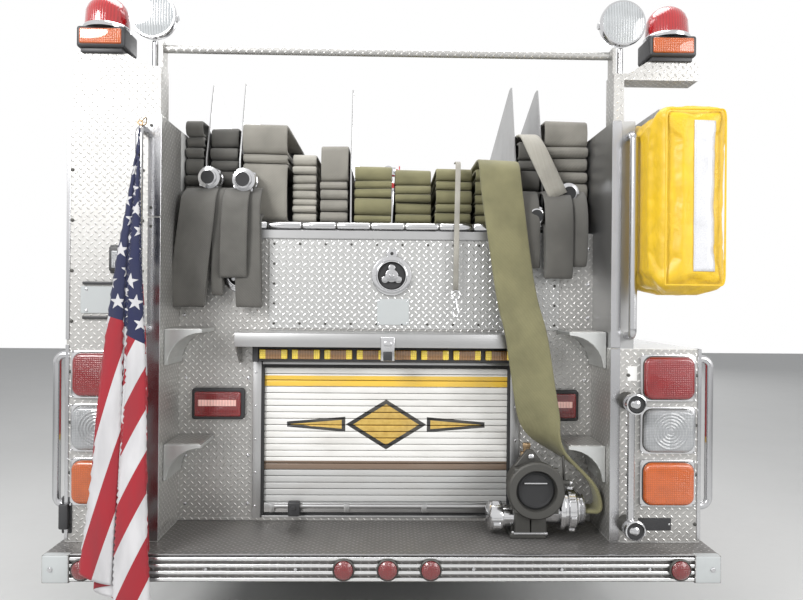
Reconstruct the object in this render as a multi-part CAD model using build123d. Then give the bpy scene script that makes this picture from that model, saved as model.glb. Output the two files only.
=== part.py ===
from build123d import *
import os
from math import cos, radians, sin

# Fire engine with a pump, a hose bed, two ground ladders and a four-door cab.
# Millimetres. +Y runs forward, +X to the vehicle's right, +Z up.
# The origin is on the ground below the middle of the overall box.

# Stations along the vehicle
REAR_OVERHANG = 2300.0      # rear axle to the rear face of the ladder cover
WHEELBASE = 4750.0
CAB_REACH = 1450.0          # front axle to the cab's front face
BUMPER_REACH = 500.0        # cab's front face to the bumper's front face
LENGTH = REAR_OVERHANG + WHEELBASE + CAB_REACH + BUMPER_REACH
REAR_Y = -LENGTH / 2
FRONT_Y = LENGTH / 2
REAR_AXLE_Y = REAR_Y + REAR_OVERHANG
FRONT_AXLE_Y = REAR_AXLE_Y + WHEELBASE
CAB_FRONT_Y = FRONT_AXLE_Y + CAB_REACH
TAIL_Y = REAR_Y + 80.0      # rear edge of the tailboard
FACE_Y = TAIL_Y + 140.0     # rear faces of the two side lockers
WALL_Y = FACE_Y + 250.0     # recessed rear wall

# Widths
BODY_HALF = 1205.0          # centre line to the side lockers' outer walls
BODY_INNER = 860.0          # centre line to the side lockers' inner walls
TAIL_REACH = 15.0           # how far the tailboard stands out past the lockers
TAIL_HALF = BODY_HALF + TAIL_REACH
CAB_INSET = 5.0             # cab side inside the lockers' outer walls
CAB_HALF = BODY_HALF - CAB_INSET
MIRROR_GAP = 25.0           # cab side to a mirror's inner edge
MIRROR_WIDTH = 165.0
MIRROR_REACH = CAB_HALF + MIRROR_GAP + MIRROR_WIDTH

# Heights
TAIL_TOP = 630.0            # top of the tailboard
TAIL_THICK = 98.0
BODY_BOTTOM = 560.0
LOW_TOP = 1371.0            # top of the right lockers
HIGH_TOP = 2242.0           # top of the left lockers
BED_FLOOR = 1800.0          # underside of the hose bed's floor
BED_PLATE = 35.0

# Frame rails
RAIL_OUT = 470.0            # centre line to a rail's outer face
RAIL_FLANGE = 80.0
RAIL_WEB = 9.0
RAIL_TOP = 1010.0
RAIL_DEPTH = 260.0
BEARER = 90.0               # cross bearers between the rails and the tank
HORN_HEIGHT = 150.0         # bumper horns below the rails' front ends

# Wheels and axles
TYRE_R = 520.0
TYRE_WIDTH = 280.0
RIM_R = 286.0
RIM_WIDTH = 230.0
TYRE_SEAT = 0.3             # gap between a tyre's bore and its rim
FRONT_TRACK = 1040.0        # centre line to a front tyre's middle
DUAL_INNER = 745.0          # centre line to an inner rear tyre's middle
DUAL_OUTER = 1060.0
SHAFT_CLEAR = 0.05          # running clearance of a shaft in its bore
SPINDLE_R = 38.0
HUB_R = 130.0
KINGPIN_X = 860.0
KINGPIN_R = 20.0
FRONT_ARCH_R = 640.0
REAR_ARCH_R = 590.0
BEAM_Z = 460.0              # middle of the front axle's beam
BEAM_HALF = 40.0
TIE_ROD_Z = 418.0
KNUCKLE_LOW = 398.0
KNUCKLE_TOP = 642.0
EAR = 40.0                  # thickness of a knuckle's ears
BOSS_LOW = 440.0            # kingpin boss at the beam's ends
BOSS_TOP = 600.0
ARM_LENGTH = 190.0          # kingpin to the ball at a steering arm's end
ARM_THICK = 16.0

# Cab
CAB_LENGTH = 2740.0
CAB_BOTTOM = 640.0
CAB_TOP = 2660.0
CAB_WALL = 50.0
CAB_CORNER = 90.0
BELT_Z = 1500.0             # where the cab's front face starts to lean back
FLOOR_TOP = 1070.0
FLOOR_THICK = 50.0
CHANNEL_HALF = 560.0        # half the open channel below the floor
DOOR_THICK = 45.0
DOOR_GAP = 8.0
DOOR_BOTTOM = 690.0
DOOR_TOP = 2480.0
FRAME_BORDER = 75.0         # door frame around a door's window
SILL_Z = 1560.0             # lower edge of the side windows
HEAD_Z = 2330.0             # upper edge of the side windows
GLASS = 6.0
HINGE_R = 11.0
HINGE_GAP = 2.0             # cab side to a hinge barrel

# Pump house
PUMP_GAP = 50.0             # cab to pump house
PUMP_LENGTH = 640.0
PUMP_TOP = 2060.0
BODY_GAP = 10.0             # pump house to body
CAB_BACK_Y = CAB_FRONT_Y - CAB_LENGTH
PUMP_FRONT_Y = CAB_BACK_Y - PUMP_GAP
PUMP_BACK_Y = PUMP_FRONT_Y - PUMP_LENGTH
BODY_FRONT_Y = PUMP_BACK_Y - BODY_GAP

# Body
LOCKER_WALL = 30.0
POST = 70.0                 # pillar between two lockers
PLATE = 6.0
SHUTTER_THICK = 18.0
SHUTTER_INSET = 12.0
SLAT = 38.0                 # pitch of a shutter's slats
SLAT_GROOVE = 3.0

# Rear shutter
REAR_DOOR_HALF = 512.0
REAR_DOOR_LOW = 654.0
REAR_DOOR_TOP = 1292.0
DOOR_RAIL = 40.0

# Deck monitor
MONITOR_PIVOT_Z = 3000.0
MONITOR_REACH = 720.0
MONITOR_PIPE_R = 60.0

# Front of the vehicle
BUMPER_PLATE = 12.0
BUMPER_LOW = 520.0
BUMPER_TOP = 790.0
BUMPER_CORNER = 140.0
GRILLE_HALF = 430.0
GRILLE_LOW = 930.0
GRILLE_TOP = 1370.0
GRILLE_FRAME = 28.0
GRILLE_BLADES = 9
LAMP_GAP = 90.0             # grille to a headlamp's bezel
HEADLAMP_LOW = 960.0
HEADLAMP_TOP = 1170.0
TURN_LAMP_LOW = 1210.0
TURN_LAMP_TOP = 1290.0
MIRROR_LOW = 1640.0
MIRROR_TOP = 2060.0
MIRROR_ARM = 80.0           # a mirror's arms above and below its head
LIGHTBAR_HALF = 720.0
LIGHTBAR_DEPTH = 280.0
LIGHTBAR_GAP = 50.0         # roof to light bar
LIGHTBAR_HEIGHT = 150.0

# Springs, steering arms and drive
# Columns: axle station, top of the seat, lower side of the spring's ends, half its length
SPRINGS = (
    (FRONT_AXLE_Y, 500.0, 655.0, 620.0),
    (REAR_AXLE_Y, 625.0, 690.0, 650.0),
)
ARM_Y = FRONT_AXLE_Y - ARM_LENGTH
HUB_START = DUAL_INNER - TYRE_WIDTH / 2 - 15.0
ENGINE_HALF = 330.0
ENGINE_TOP = 1500.0
TANK_HALF = BODY_INNER

# Cab shell
RAKE = 130.0                # how far the windscreen leans back
BROW = 120.0                # height and depth of the slope over the windscreen
ARCH_LIP = 38.0             # arch edge to the door's curved lower corner
HOUSING_X = CHANNEL_HALF - 5.0      # inner edge of the wheel housings
HOUSING_R = FRONT_ARCH_R + ARCH_LIP - DOOR_GAP
FLARE = 14.0                # how far the wheel housing's lip stands proud of the cab
# Columns: name, rear edge, front edge
DOORS = (
    ("front", FRONT_AXLE_Y + 250.0, FRONT_AXLE_Y + 1150.0),
    ("crew", CAB_BACK_Y + 130.0, FRONT_AXLE_Y - 250.0),
)
SCREEN_LOW = 1580.0
SCREEN_TOP = 2440.0
SCREEN_POST = 35.0          # half the post between the two windscreens
HINGE_HEIGHTS = (SILL_Z - 260.0, HEAD_Z - 60.0)
HINGE_BARREL = 110.0
HINGE_LUG = 34.0
STEP_X = CAB_HALF - 320.0   # inner side of the step wells
# Inner and outer edge, lower and upper edge of the windows in the cab's back wall
BACK_WINDOW = (250.0, 850.0, 2150.0, 2480.0)
TUNNEL_HALF = 470.0
TUNNEL_BACK = FRONT_AXLE_Y - 320.0
TUNNEL_FRONT = FRONT_AXLE_Y + 1050.0
TUNNEL_TOP = 1620.0
TUNNEL_WALL = 25.0

# Driver's place and seats
WHEEL_X = 400.0 - CAB_HALF  # steering wheel's distance from the centre line
WHEEL_Y = FRONT_AXLE_Y + 900.0
WHEEL_Z = 1830.0
WHEEL_TILT = 28.0           # lean of the steering column from upright, in degrees
COLUMN_R = 12.0
WHEEL_RING_R = 225.0
SEAT_Z = 1530.0             # top of the seat cushions
# Columns: distance from the centre line, front edge, width, cushion depth, height of the back
SEATS = (
    (WHEEL_X, WHEEL_Y - 90.0, 480.0, 400.0, 640.0),
    (-WHEEL_X, WHEEL_Y - 90.0, 480.0, 400.0, 640.0),
    (-600.0, CAB_BACK_Y + 560.0, 500.0, 420.0, 620.0),
    (0.0, CAB_BACK_Y + 560.0, 500.0, 420.0, 620.0),
    (600.0, CAB_BACK_Y + 560.0, 500.0, 420.0, 620.0),
)

# Pump panel and deck monitor
PEDESTAL_HALF = 170.0       # half the solid seat under the deck monitor
# Columns: station ahead of the pump house's rear, height, radius, reach, centre boss radius
PORTS = (
    (150.0, 860.0, 89.2, 95.0, 40.0),
    (470.0, 1010.0, 52.0, 110.0, 24.0),
    (320.0, 1180.0, 42.0, 95.0, 20.0),
    (480.0, 1240.0, 42.0, 95.0, 20.0),
)
# Columns: station ahead of the pump house's rear, height, radius
GAUGES = (
    (230.0, 1620.0, 75.0),
    (410.0, 1620.0, 75.0),
    (130.0, 1450.0, 38.0),
    (240.0, 1450.0, 38.0),
    (350.0, 1450.0, 38.0),
    (460.0, 1450.0, 38.0),
)
SWIVEL_R = 45.0
FORK_GAP = 86.0             # centre line to the inner face of each fork arm

# Hose bed and rear wall
TAIL_FRONT_Y = WALL_Y + 190.0   # front edge of the tailboard, under the body
# Columns: distance from the centre line, height of the peak, height of the front part
DIVIDERS = (
    (-765.0, 2480.0, 2230.0),
    (-625.0, 2490.0, 2230.0),
    (-157.0, 2470.0, 2230.0),
    (540.0, 2490.0, 2230.0),
    (655.0, 2480.0, 2230.0),
)
BED_WALL = 40.0             # thickness of the bed's right wall
POST_WIDTH = 85.0           # width of the wall's rear post
BED_FRONT_Y = BODY_FRONT_Y
RAIL_HALF = 645.0           # half the roller rail's length
PANEL_X = (-490.0, 720.0)   # the smooth panel above the ledge
PANEL_LOW = 1428.0
PANEL_THICK = 4.0
# Columns: distance from the centre line, height, radius, thickness of what the port sits on
ROUND_PORTS = (
    (18.0, 1650.0, 84.0, PANEL_THICK),
    (-610.0, 1650.0, 74.0, 0.0),
)
STEP_TOPS = (1430.0, 985.0)     # heights of the step gussets
STEP_REACH = 145.0
STEP_DROP = 140.0
LEDGE_HALF = 605.0
LIGHT_BAR_HEIGHT = 62.0
BAR_HALF = 545.0

# Lamps, rails and valve at the rear
END_BLOCK = 95.0
# Columns: height of the lamp's middle
TAIL_LAMPS = (1261.0, 1061.0, 859.0)
LAMP_X = 1076.0
LAMP_WIDTH = 214.0
LAMP_HEIGHT = 180.0
# Columns: distance from the centre line of the round marker lamps in the rub rail
MARKERS = (-1078.0, -148.0, 10.0, 165.0, 1070.0)
RAIL_X = 918.0
WARNING_X = (585.0, 800.0)
WARNING_Z = (1052.0, 1180.0)
UPPER_RAIL = (1420.0, 2180.0)   # heights of the rails' ends
SIDE_RAIL = (760.0, 1330.0)
LOWER_RAIL = (700.0, 1170.0)
LAMP_SHELF = 2400.0
SHELF_INNER = BODY_HALF - 345.0     # inner end of the shelf under the corner lamps
BEACON_X = BODY_HALF - 125.0
BEACON_HALF = 92.0
VALVE_X = 575.0
VALVE_Y = TAIL_Y + 235.0
VALVE_Z = 828.0

# Ladders and their cover
# Columns: distance of the ladder's middle plane from the centre line, height of its lower beam,
# distance between its beams, how far its rear end lies inside the cover
LADDERS = (
    (1005.0, 1640.0, 573.0, 60.0),
    (1140.0, 1655.0, 440.0, 90.0),
)
LADDER_LENGTH = 4270.0
BEAM_HEIGHT = 66.0
BEAM_THICK = 32.0
RUNG_R = 15.0
RUNG_PITCH = 356.0
COVER_X = (950.0, 1214.0)
COVER_LOW = 1585.0
COVER_DEPTH = 320.0
COVER_SKIN = 12.0
SOFT_GAP = 0.3              # soft pieces to what they lie on

# Hose and flag
# Columns: inner and outer edge across, height of the top, layers, rear end behind the wall
STACKS = (
    (-855.0, -772.0, 2240.0, 7, 25.0),
    (-758.0, -632.0, 2200.0, 6, 10.0),
    (-617.0, -420.0, 2290.0, 8, 30.0),
    (-412.0, -300.0, 2170.0, 7, 0.0),
    (-292.0, -165.0, 2205.0, 8, 10.0),
    (-149.0, 20.0, 2120.0, 6, 15.0),
    (26.0, 190.0, 2110.0, 6, 5.0),
    (196.0, 360.0, 2115.0, 6, 15.0),
    (368.0, 532.0, 2115.0, 5, 5.0),
    (548.0, 648.0, 2230.0, 7, 30.0),
    (662.0, 855.0, 2260.0, 8, 20.0),
)
STACK_LENGTH = 3300.0
# Columns: distance from the centre line, station ahead of the rear wall, height, width, tilt back
SUPPLY = (
    (450.0, 1200.0, 2126.3, 150.0, 90.0),
    (450.0, 40.0, 2126.3, 150.0, 90.0),
    (452.0, -60.0, 2060.0, 160.0, 25.0),
    (505.0, -90.0, 1680.0, 170.0, 4.0),
    (552.0, -146.0, 1430.0, 170.0, 0.0),
    (585.0, -146.0, 1240.0, 172.0, 0.0),
    (612.0, -126.0, 1010.0, 172.0, 0.0),
)
HOSE_THICK = 22.0
# Columns: distance from the centre line, rearward of the tailboard's edge, height, width, depth
FLAG = (
    (-922.0, -52.7, 2150.0, 24.0, 20.0),
    (-930.0, -38.0, 1850.0, 110.0, 44.0),
    (-940.0, -20.0, 1400.0, 170.0, 44.0),
    (-945.0, 46.0, 650.0, 180.0, 44.0),
    (-945.0, 50.0, 180.0, 160.0, 40.0),
)

SIDES = (-1, 1)


def block(x0, x1, y0, y1, z0, z1):
    """A box between two corners."""
    size = Box(abs(x1 - x0), abs(y1 - y0), abs(z1 - z0))
    return Pos((x0 + x1) / 2, (y0 + y1) / 2, (z0 + z1) / 2) * size


def rod(start, end, radius, bore=0.0):
    """A round bar or tube from one point to another."""
    axis = Vector(*end) - Vector(*start)
    section = Plane(origin=start, z_dir=axis) * Circle(radius)
    if bore:
        section -= Plane(origin=start, z_dir=axis) * Circle(bore)
    return extrude(section, axis.length)


def side_prism(points, x0, x1):
    """A prism from a side outline of (y, z) points."""
    plane = Plane(origin=(x0, 0, 0), x_dir=(0, 1, 0), z_dir=(1, 0, 0))
    return extrude(plane * make_face(Polyline(*points, close=True)), x1 - x0)


def rear_prism(points, y0, y1):
    """A prism from a rear outline of (x, z) points."""
    plane = Plane(origin=(0, y1, 0), x_dir=(1, 0, 0), z_dir=(0, -1, 0))
    return extrude(plane * make_face(Polyline(*points, close=True)), y1 - y0)


def plan_prism(points, z0, z1):
    """A prism from a plan outline of (x, y) points."""
    return extrude(Pos(0, 0, z0) * make_face(Polyline(*points, close=True)), z1 - z0)


def bar(points, radius, bend):
    """A round bar along straight runs joined by arcs."""
    path = FilletPolyline(*points, radius=bend)
    return sweep((path ^ 0) * Circle(radius), path=path)


def turned(profile, centre, axis):
    """A turned piece from a closed profile of (distance along the axis, radius) points."""
    along = Vector(*axis)
    across = Vector(0, 0, 1) if abs(along.Z) < 0.5 else Vector(0, 1, 0)
    plane = Plane(origin=centre, x_dir=along, z_dir=along.cross(across))
    face = plane * make_face(Polyline(*profile, close=True))
    return revolve(face, Axis(centre, axis))


def mirrored(shape):
    """The same piece on the other side of the centre line."""
    return mirror(shape, about=Plane.YZ)


def both_sides(shape):
    """A piece and its twin on the other side."""
    return [shape, mirrored(shape)]


def on_side(shape, side):
    """A piece drawn on the right, moved to the named side."""
    return shape if side > 0 else mirrored(shape)


def slatted(y0, y1, z0, z1, x_face, side):
    """A roller shutter curtain: slats with a groove between each two."""
    count = max(2, round((z1 - z0) / SLAT))
    pitch = (z1 - z0) / count
    points = [(x_face - SHUTTER_THICK, z0)]
    for index in range(count):
        low = z0 + index * pitch
        points += [(x_face - SLAT_GROOVE, low), (x_face, low + SLAT_GROOVE), (x_face, low + pitch)]
    points.append((x_face - SHUTTER_THICK, z1))
    return on_side(rear_prism(points, y0, y1), side)


# Chassis

def chassis_frame():
    """Two channel rails with cross members, cross bearers, bumper horns and tailboard brackets."""
    rear = WALL_Y + 60.0
    front = CAB_FRONT_Y - 60.0
    low = RAIL_TOP - RAIL_DEPTH
    inner = RAIL_OUT - RAIL_FLANGE
    rail = block(inner, RAIL_OUT, rear, front, low, RAIL_TOP)
    rail -= block(inner, RAIL_OUT - RAIL_WEB, rear, front, low + RAIL_WEB, RAIL_TOP - RAIL_WEB)
    horn_top = low
    horn = block(inner, RAIL_OUT, CAB_FRONT_Y - 300.0, FRONT_Y - BUMPER_PLATE,
                 horn_top - HORN_HEIGHT, horn_top)
    bracket = block(inner, RAIL_OUT, rear, rear + 180.0, TAIL_TOP, low)
    frame = rail + horn + bracket
    frame += mirrored(frame)
    for y in (rear + 300.0, REAR_AXLE_Y - 700.0, REAR_AXLE_Y + 700.0, PUMP_BACK_Y - 350.0, front - 60.0):
        frame += block(-inner - 10, inner + 10, y - 40, y + 40, RAIL_TOP - 90.0, RAIL_TOP - RAIL_WEB)
    for y in bearer_stations():
        frame += block(-CHANNEL_HALF, CHANNEL_HALF, y - 45, y + 45, RAIL_TOP, RAIL_TOP + BEARER)
    for y in (CAB_BACK_Y + 160.0, CAB_FRONT_Y - 240.0):
        frame += both_sides(block(inner, RAIL_OUT, y - 50, y + 50, RAIL_TOP - 1, FLOOR_TOP - FLOOR_THICK))
    return frame


def bearer_stations():
    """Where the cross bearers lie along the tank."""
    first = REAR_AXLE_Y - 900.0     # behind the spring hangers
    last = BODY_FRONT_Y - 200.0     # behind the pump house
    return [first + (last - first) * step / 4 for step in range(5)]


def leaf_spring(axle_y, seat_z, end_z, half_length):
    """A leaf pack on the right rail, arched between its two hangers."""
    x0 = RAIL_OUT - RAIL_FLANGE
    thick_mid = 62.0
    thick_end = 26.0
    plane = Plane(origin=(x0, 0, 0), x_dir=(0, 1, 0), z_dir=(1, 0, 0))
    rear, front = axle_y - half_length, axle_y + half_length
    lower = ThreePointArc((rear, end_z), (axle_y, seat_z), (front, end_z))
    upper = ThreePointArc((front, end_z + thick_end), (axle_y, seat_z + thick_mid), (rear, end_z + thick_end))
    ends = Line(lower @ 1, upper @ 0) + Line(upper @ 1, lower @ 0)
    leaves = extrude(plane * make_face(lower + upper + ends), RAIL_FLANGE)
    hangers = block(x0, RAIL_OUT, rear - 30, rear + 30, end_z, RAIL_TOP - RAIL_DEPTH)
    hangers += block(x0, RAIL_OUT, front - 30, front + 30, end_z, RAIL_TOP - RAIL_DEPTH)
    return leaves + hangers


def leaf_springs():
    """Four leaf packs, one at each end of each axle."""
    packs = []
    for axle_y, seat_z, end_z, half_length in SPRINGS:
        packs += both_sides(leaf_spring(axle_y, seat_z, end_z, half_length))
    return packs


def front_axle():
    """A beam axle with spring pads and a kingpin boss at each end."""
    beam = block(-KINGPIN_X + 60, KINGPIN_X - 60, FRONT_AXLE_Y - 45, FRONT_AXLE_Y + 45, BEAM_Z - BEAM_HALF,
                 BEAM_Z + BEAM_HALF)
    for flank in SIDES:
        beam -= block(-KINGPIN_X + 150, KINGPIN_X - 150, FRONT_AXLE_Y + flank * 12, FRONT_AXLE_Y + flank * 60,
                      BEAM_Z - BEAM_HALF + 15, BEAM_Z + BEAM_HALF - 15)
    boss = rod((KINGPIN_X, FRONT_AXLE_Y, BOSS_LOW), (KINGPIN_X, FRONT_AXLE_Y, BOSS_TOP), 45)
    pad = block(RAIL_OUT - RAIL_FLANGE - 15, RAIL_OUT + 15, FRONT_AXLE_Y - 80, FRONT_AXLE_Y + 80,
                BEAM_Z + BEAM_HALF - 1, SPRINGS[0][1] + 20)
    pad -= leaf_spring(*SPRINGS[0])
    neck = block(KINGPIN_X - 70, KINGPIN_X - 20, FRONT_AXLE_Y - 40, FRONT_AXLE_Y + 40, BOSS_LOW + 4,
                 BOSS_TOP - 10)
    beam += both_sides(boss) + both_sides(pad) + both_sides(neck)
    pin_hole = rod((KINGPIN_X, FRONT_AXLE_Y, BOSS_LOW - 10), (KINGPIN_X, FRONT_AXLE_Y, BOSS_TOP + 10),
                   KINGPIN_R + SHAFT_CLEAR)
    for hole in both_sides(pin_hole):
        beam -= hole
    return beam


def knuckle():
    """The right steering knuckle: two ears on a kingpin, a web, a spindle and a steering arm."""
    x, y = KINGPIN_X, FRONT_AXLE_Y
    low, top = KNUCKLE_LOW, KNUCKLE_TOP
    ears = rod((x, y, low), (x, y, low + EAR), 48) + rod((x, y, top - EAR), (x, y, top), 48)
    pin = rod((x, y, low + EAR - 8), (x, y, top - EAR + 8), KINGPIN_R)
    web = block(x + 54, x + 76, y - 48, y + 48, low, top)
    bridges = block(x, x + 60, y - 40, y + 40, low, low + EAR)
    bridges += block(x, x + 60, y - 40, y + 40, top - EAR, top)
    spindle = rod((x + 70, y, TYRE_R), (FRONT_TRACK + 120, y, TYRE_R), SPINDLE_R)
    arm = plan_prism([(x - 28, y), (x + 28, y), (x + 22, ARM_Y), (x - 22, ARM_Y)], low, low + ARM_THICK)
    eye = rod((x, ARM_Y, low), (x, ARM_Y, low + ARM_THICK), 22)
    ball = rod((x, ARM_Y, low + ARM_THICK), (x, ARM_Y, TIE_ROD_Z + 18), 11)
    return ears + pin + web + bridges + spindle + arm + eye + ball


def tie_rod():
    """The track rod behind the front axle, with an eye over each arm's ball stud."""
    low = TIE_ROD_Z - 3.5
    piece = rod((-KINGPIN_X + 20, ARM_Y, TIE_ROD_Z + 8), (KINGPIN_X - 20, ARM_Y, TIE_ROD_Z + 8), 11)
    piece += both_sides(rod((KINGPIN_X, ARM_Y, low), (KINGPIN_X, ARM_Y, low + 20), 22))
    for hole in both_sides(rod((KINGPIN_X, ARM_Y, low - 5), (KINGPIN_X, ARM_Y, low + 40), 11 + SHAFT_CLEAR)):
        piece -= hole
    return piece


def rear_axle():
    """A tube axle with a differential bowl, spring pads and a spindle at each end."""
    y = REAR_AXLE_Y
    axle = rod((-HUB_START, y, TYRE_R), (HUB_START, y, TYRE_R), 68)
    axle += rod((-DUAL_OUTER - 95, y, TYRE_R), (DUAL_OUTER + 95, y, TYRE_R), SPINDLE_R)
    axle += Pos(0, y, TYRE_R) * Sphere(185)
    axle += rod((0, y, TYRE_R), (0, y + 250, TYRE_R + 20), 80)
    pad = block(RAIL_OUT - RAIL_FLANGE - 15, RAIL_OUT + 15, y - 85, y + 85, TYRE_R, 645)
    pad -= leaf_spring(*SPRINGS[1])
    return axle + both_sides(pad)


def tyre(x_mid, y):
    """A tyre with sloping shoulders on the right side at the given station."""
    half = TYRE_WIDTH / 2
    bore = RIM_R + TYRE_SEAT
    bead = RIM_WIDTH / 2 - 6.0
    right = [(half - 34, TYRE_R), (half - 8, TYRE_R - 34), (half, TYRE_R - 95), (half, bore + 70),
             (bead, bore)]
    left = [(-x, radius) for x, radius in reversed(right)]
    return turned(left + right, (x_mid, y, TYRE_R), (1, 0, 0))


def wheel_disc(x_mid, y, outset, hub_in, hub_out):
    """A disc wheel on the right: rim barrel, dished disc with hand holes and its hub."""
    half = RIM_WIDTH / 2
    inner = RIM_R - 16.0
    face = outset
    rim = [(-half, RIM_R), (-half, RIM_R + 12), (-half - 12, RIM_R + 12), (-half - 12, inner),
           (half + 12, inner), (half + 12, RIM_R + 12), (half, RIM_R + 12), (half, RIM_R)]
    dish = [(face, HUB_R - 10), (face + 12, HUB_R - 10), (face * 0.4 + 12, inner + 4),
            (face * 0.4, inner + 4)]
    barrel = turned(rim, (x_mid, y, TYRE_R), (1, 0, 0))
    disc = turned(dish, (x_mid, y, TYRE_R), (1, 0, 0))
    for step in range(8):
        turn = radians(45 * step + 22.5)
        hole_y = y + 215 * cos(turn)
        hole_z = TYRE_R + 215 * sin(turn)
        disc -= rod((x_mid - 200, hole_y, hole_z), (x_mid + 200, hole_y, hole_z), 28)
    bore = SPINDLE_R + SHAFT_CLEAR
    hub = rod((hub_in, y, TYRE_R), (hub_out, y, TYRE_R), HUB_R, bore)
    return barrel + disc + hub


def front_wheel():
    """The right front wheel, its disc set outward over the knuckle."""
    y = FRONT_AXLE_Y
    outset = 105.0
    hub_in = FRONT_TRACK + 20.0
    hub_out = FRONT_TRACK + outset + 35.0
    wheel = wheel_disc(FRONT_TRACK, y, outset, hub_in, hub_out)
    cap = rod((hub_out, y, TYRE_R), (hub_out + 8, y, TYRE_R), 70)
    return wheel + cap


def rear_wheels():
    """The right pair of rear wheels, joined by one long hub."""
    y = REAR_AXLE_Y
    hub_in = HUB_START + 8.0
    hub_out = DUAL_OUTER + 100.0
    inner_pair = wheel_disc(DUAL_INNER, y, 120.0, hub_in, hub_out)
    outer_pair = wheel_disc(DUAL_OUTER, y, -120.0, hub_in, hub_out)
    cap = rod((hub_out, y, TYRE_R), (hub_out + 8, y, TYRE_R), 62)
    return inner_pair + outer_pair + cap


def drivetrain():
    """Engine block between the rails, gearbox and the shaft to the rear axle."""
    y = FRONT_AXLE_Y
    engine = block(-ENGINE_HALF, ENGINE_HALF, y - 250, y + 950, 680, ENGINE_TOP)
    gearbox = block(-200, 200, y - 850, y - 250, 700, 1000)
    shaft = rod((0, y - 850, 790), (0, REAR_AXLE_Y + 250, TYRE_R + 20), 50)
    shaft -= rod((0, REAR_AXLE_Y, TYRE_R), (0, REAR_AXLE_Y + 250, TYRE_R + 20), 80)
    mounts = block(-RAIL_OUT + RAIL_WEB, RAIL_OUT - RAIL_WEB, y + 700, y + 780, 800, 860)
    return engine + gearbox + shaft + mounts


def under_tanks():
    """Fuel tank outside the left rail and two air tanks outside the right rail."""
    y0, y1 = BODY_FRONT_Y - 1250.0, BODY_FRONT_Y - 350.0
    fuel = block(-BODY_INNER + 20, -RAIL_OUT, y0, y1, 600, 980)
    fuel = fillet(fuel.edges().filter_by(Axis.Y), 60)
    air = rod((RAIL_OUT + 125, y0, 860), (RAIL_OUT + 125, y1, 860), 125)
    straps = block(RAIL_OUT, RAIL_OUT + 125, y0 + 120, y0 + 170, 835, 885)
    straps += block(RAIL_OUT, RAIL_OUT + 125, y1 - 170, y1 - 120, 835, 885)
    return [fuel, air + straps]


def water_tank():
    """The water tank on the cross bearers, which carries the hose bed."""
    low = RAIL_TOP + BEARER
    step_y = WALL_Y + 700.0
    tank = block(-TANK_HALF, TANK_HALF, step_y, BODY_FRONT_Y, low, BED_FLOOR)
    tank += block(-TANK_HALF, TANK_HALF, WALL_Y + PLATE, step_y, REAR_DOOR_TOP + 40, BED_FLOOR)
    return tank


# Cab

def cab_outline(inset, bottom):
    """The cab's side outline, inset all round by a wall."""
    slope = RAKE / (CAB_TOP - BROW - BELT_Z)
    front = CAB_FRONT_Y - inset
    return [(CAB_BACK_Y + inset, bottom), (front, bottom), (front, BELT_Z),
            (front - RAKE + slope * inset, CAB_TOP - BROW - inset * 0.5),
            (front - RAKE - BROW, CAB_TOP - inset), (CAB_BACK_Y + inset, CAB_TOP - inset)]


def door_outline_solid(y0, y1, grow, x0, x1):
    """The door's side outline as a prism, grown all round; its lower corner follows the arch."""
    prism = block(x0, x1, y0 - grow, y1 + grow, DOOR_BOTTOM - grow, DOOR_TOP + grow)
    arch_r = FRONT_ARCH_R + ARCH_LIP - grow
    arch = rod((x0 - 10, FRONT_AXLE_Y, TYRE_R), (x1 + 10, FRONT_AXLE_Y, TYRE_R), arch_r)
    return prism - arch


def window_cut(y0, y1, z0, z1, x0, x1, corner=50.0):
    """A side window's opening with round corners."""
    cut = block(x0, x1, y0, y1, z0, z1)
    return fillet(cut.edges().filter_by(Axis.X), corner)


def screen_cut(x0, x1):
    """One windscreen opening with round corners, right through the front wall."""
    cut = block(x0, x1, CAB_FRONT_Y - 420, CAB_FRONT_Y + 50, SCREEN_LOW, SCREEN_TOP)
    return fillet(cut.edges().filter_by(Axis.Y), 60)


def pillar_window():
    """The fixed window in the pillar between the doors: rear edge and front edge."""
    return DOORS[1][2] + 110.0, DOORS[0][1] - 110.0


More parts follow.
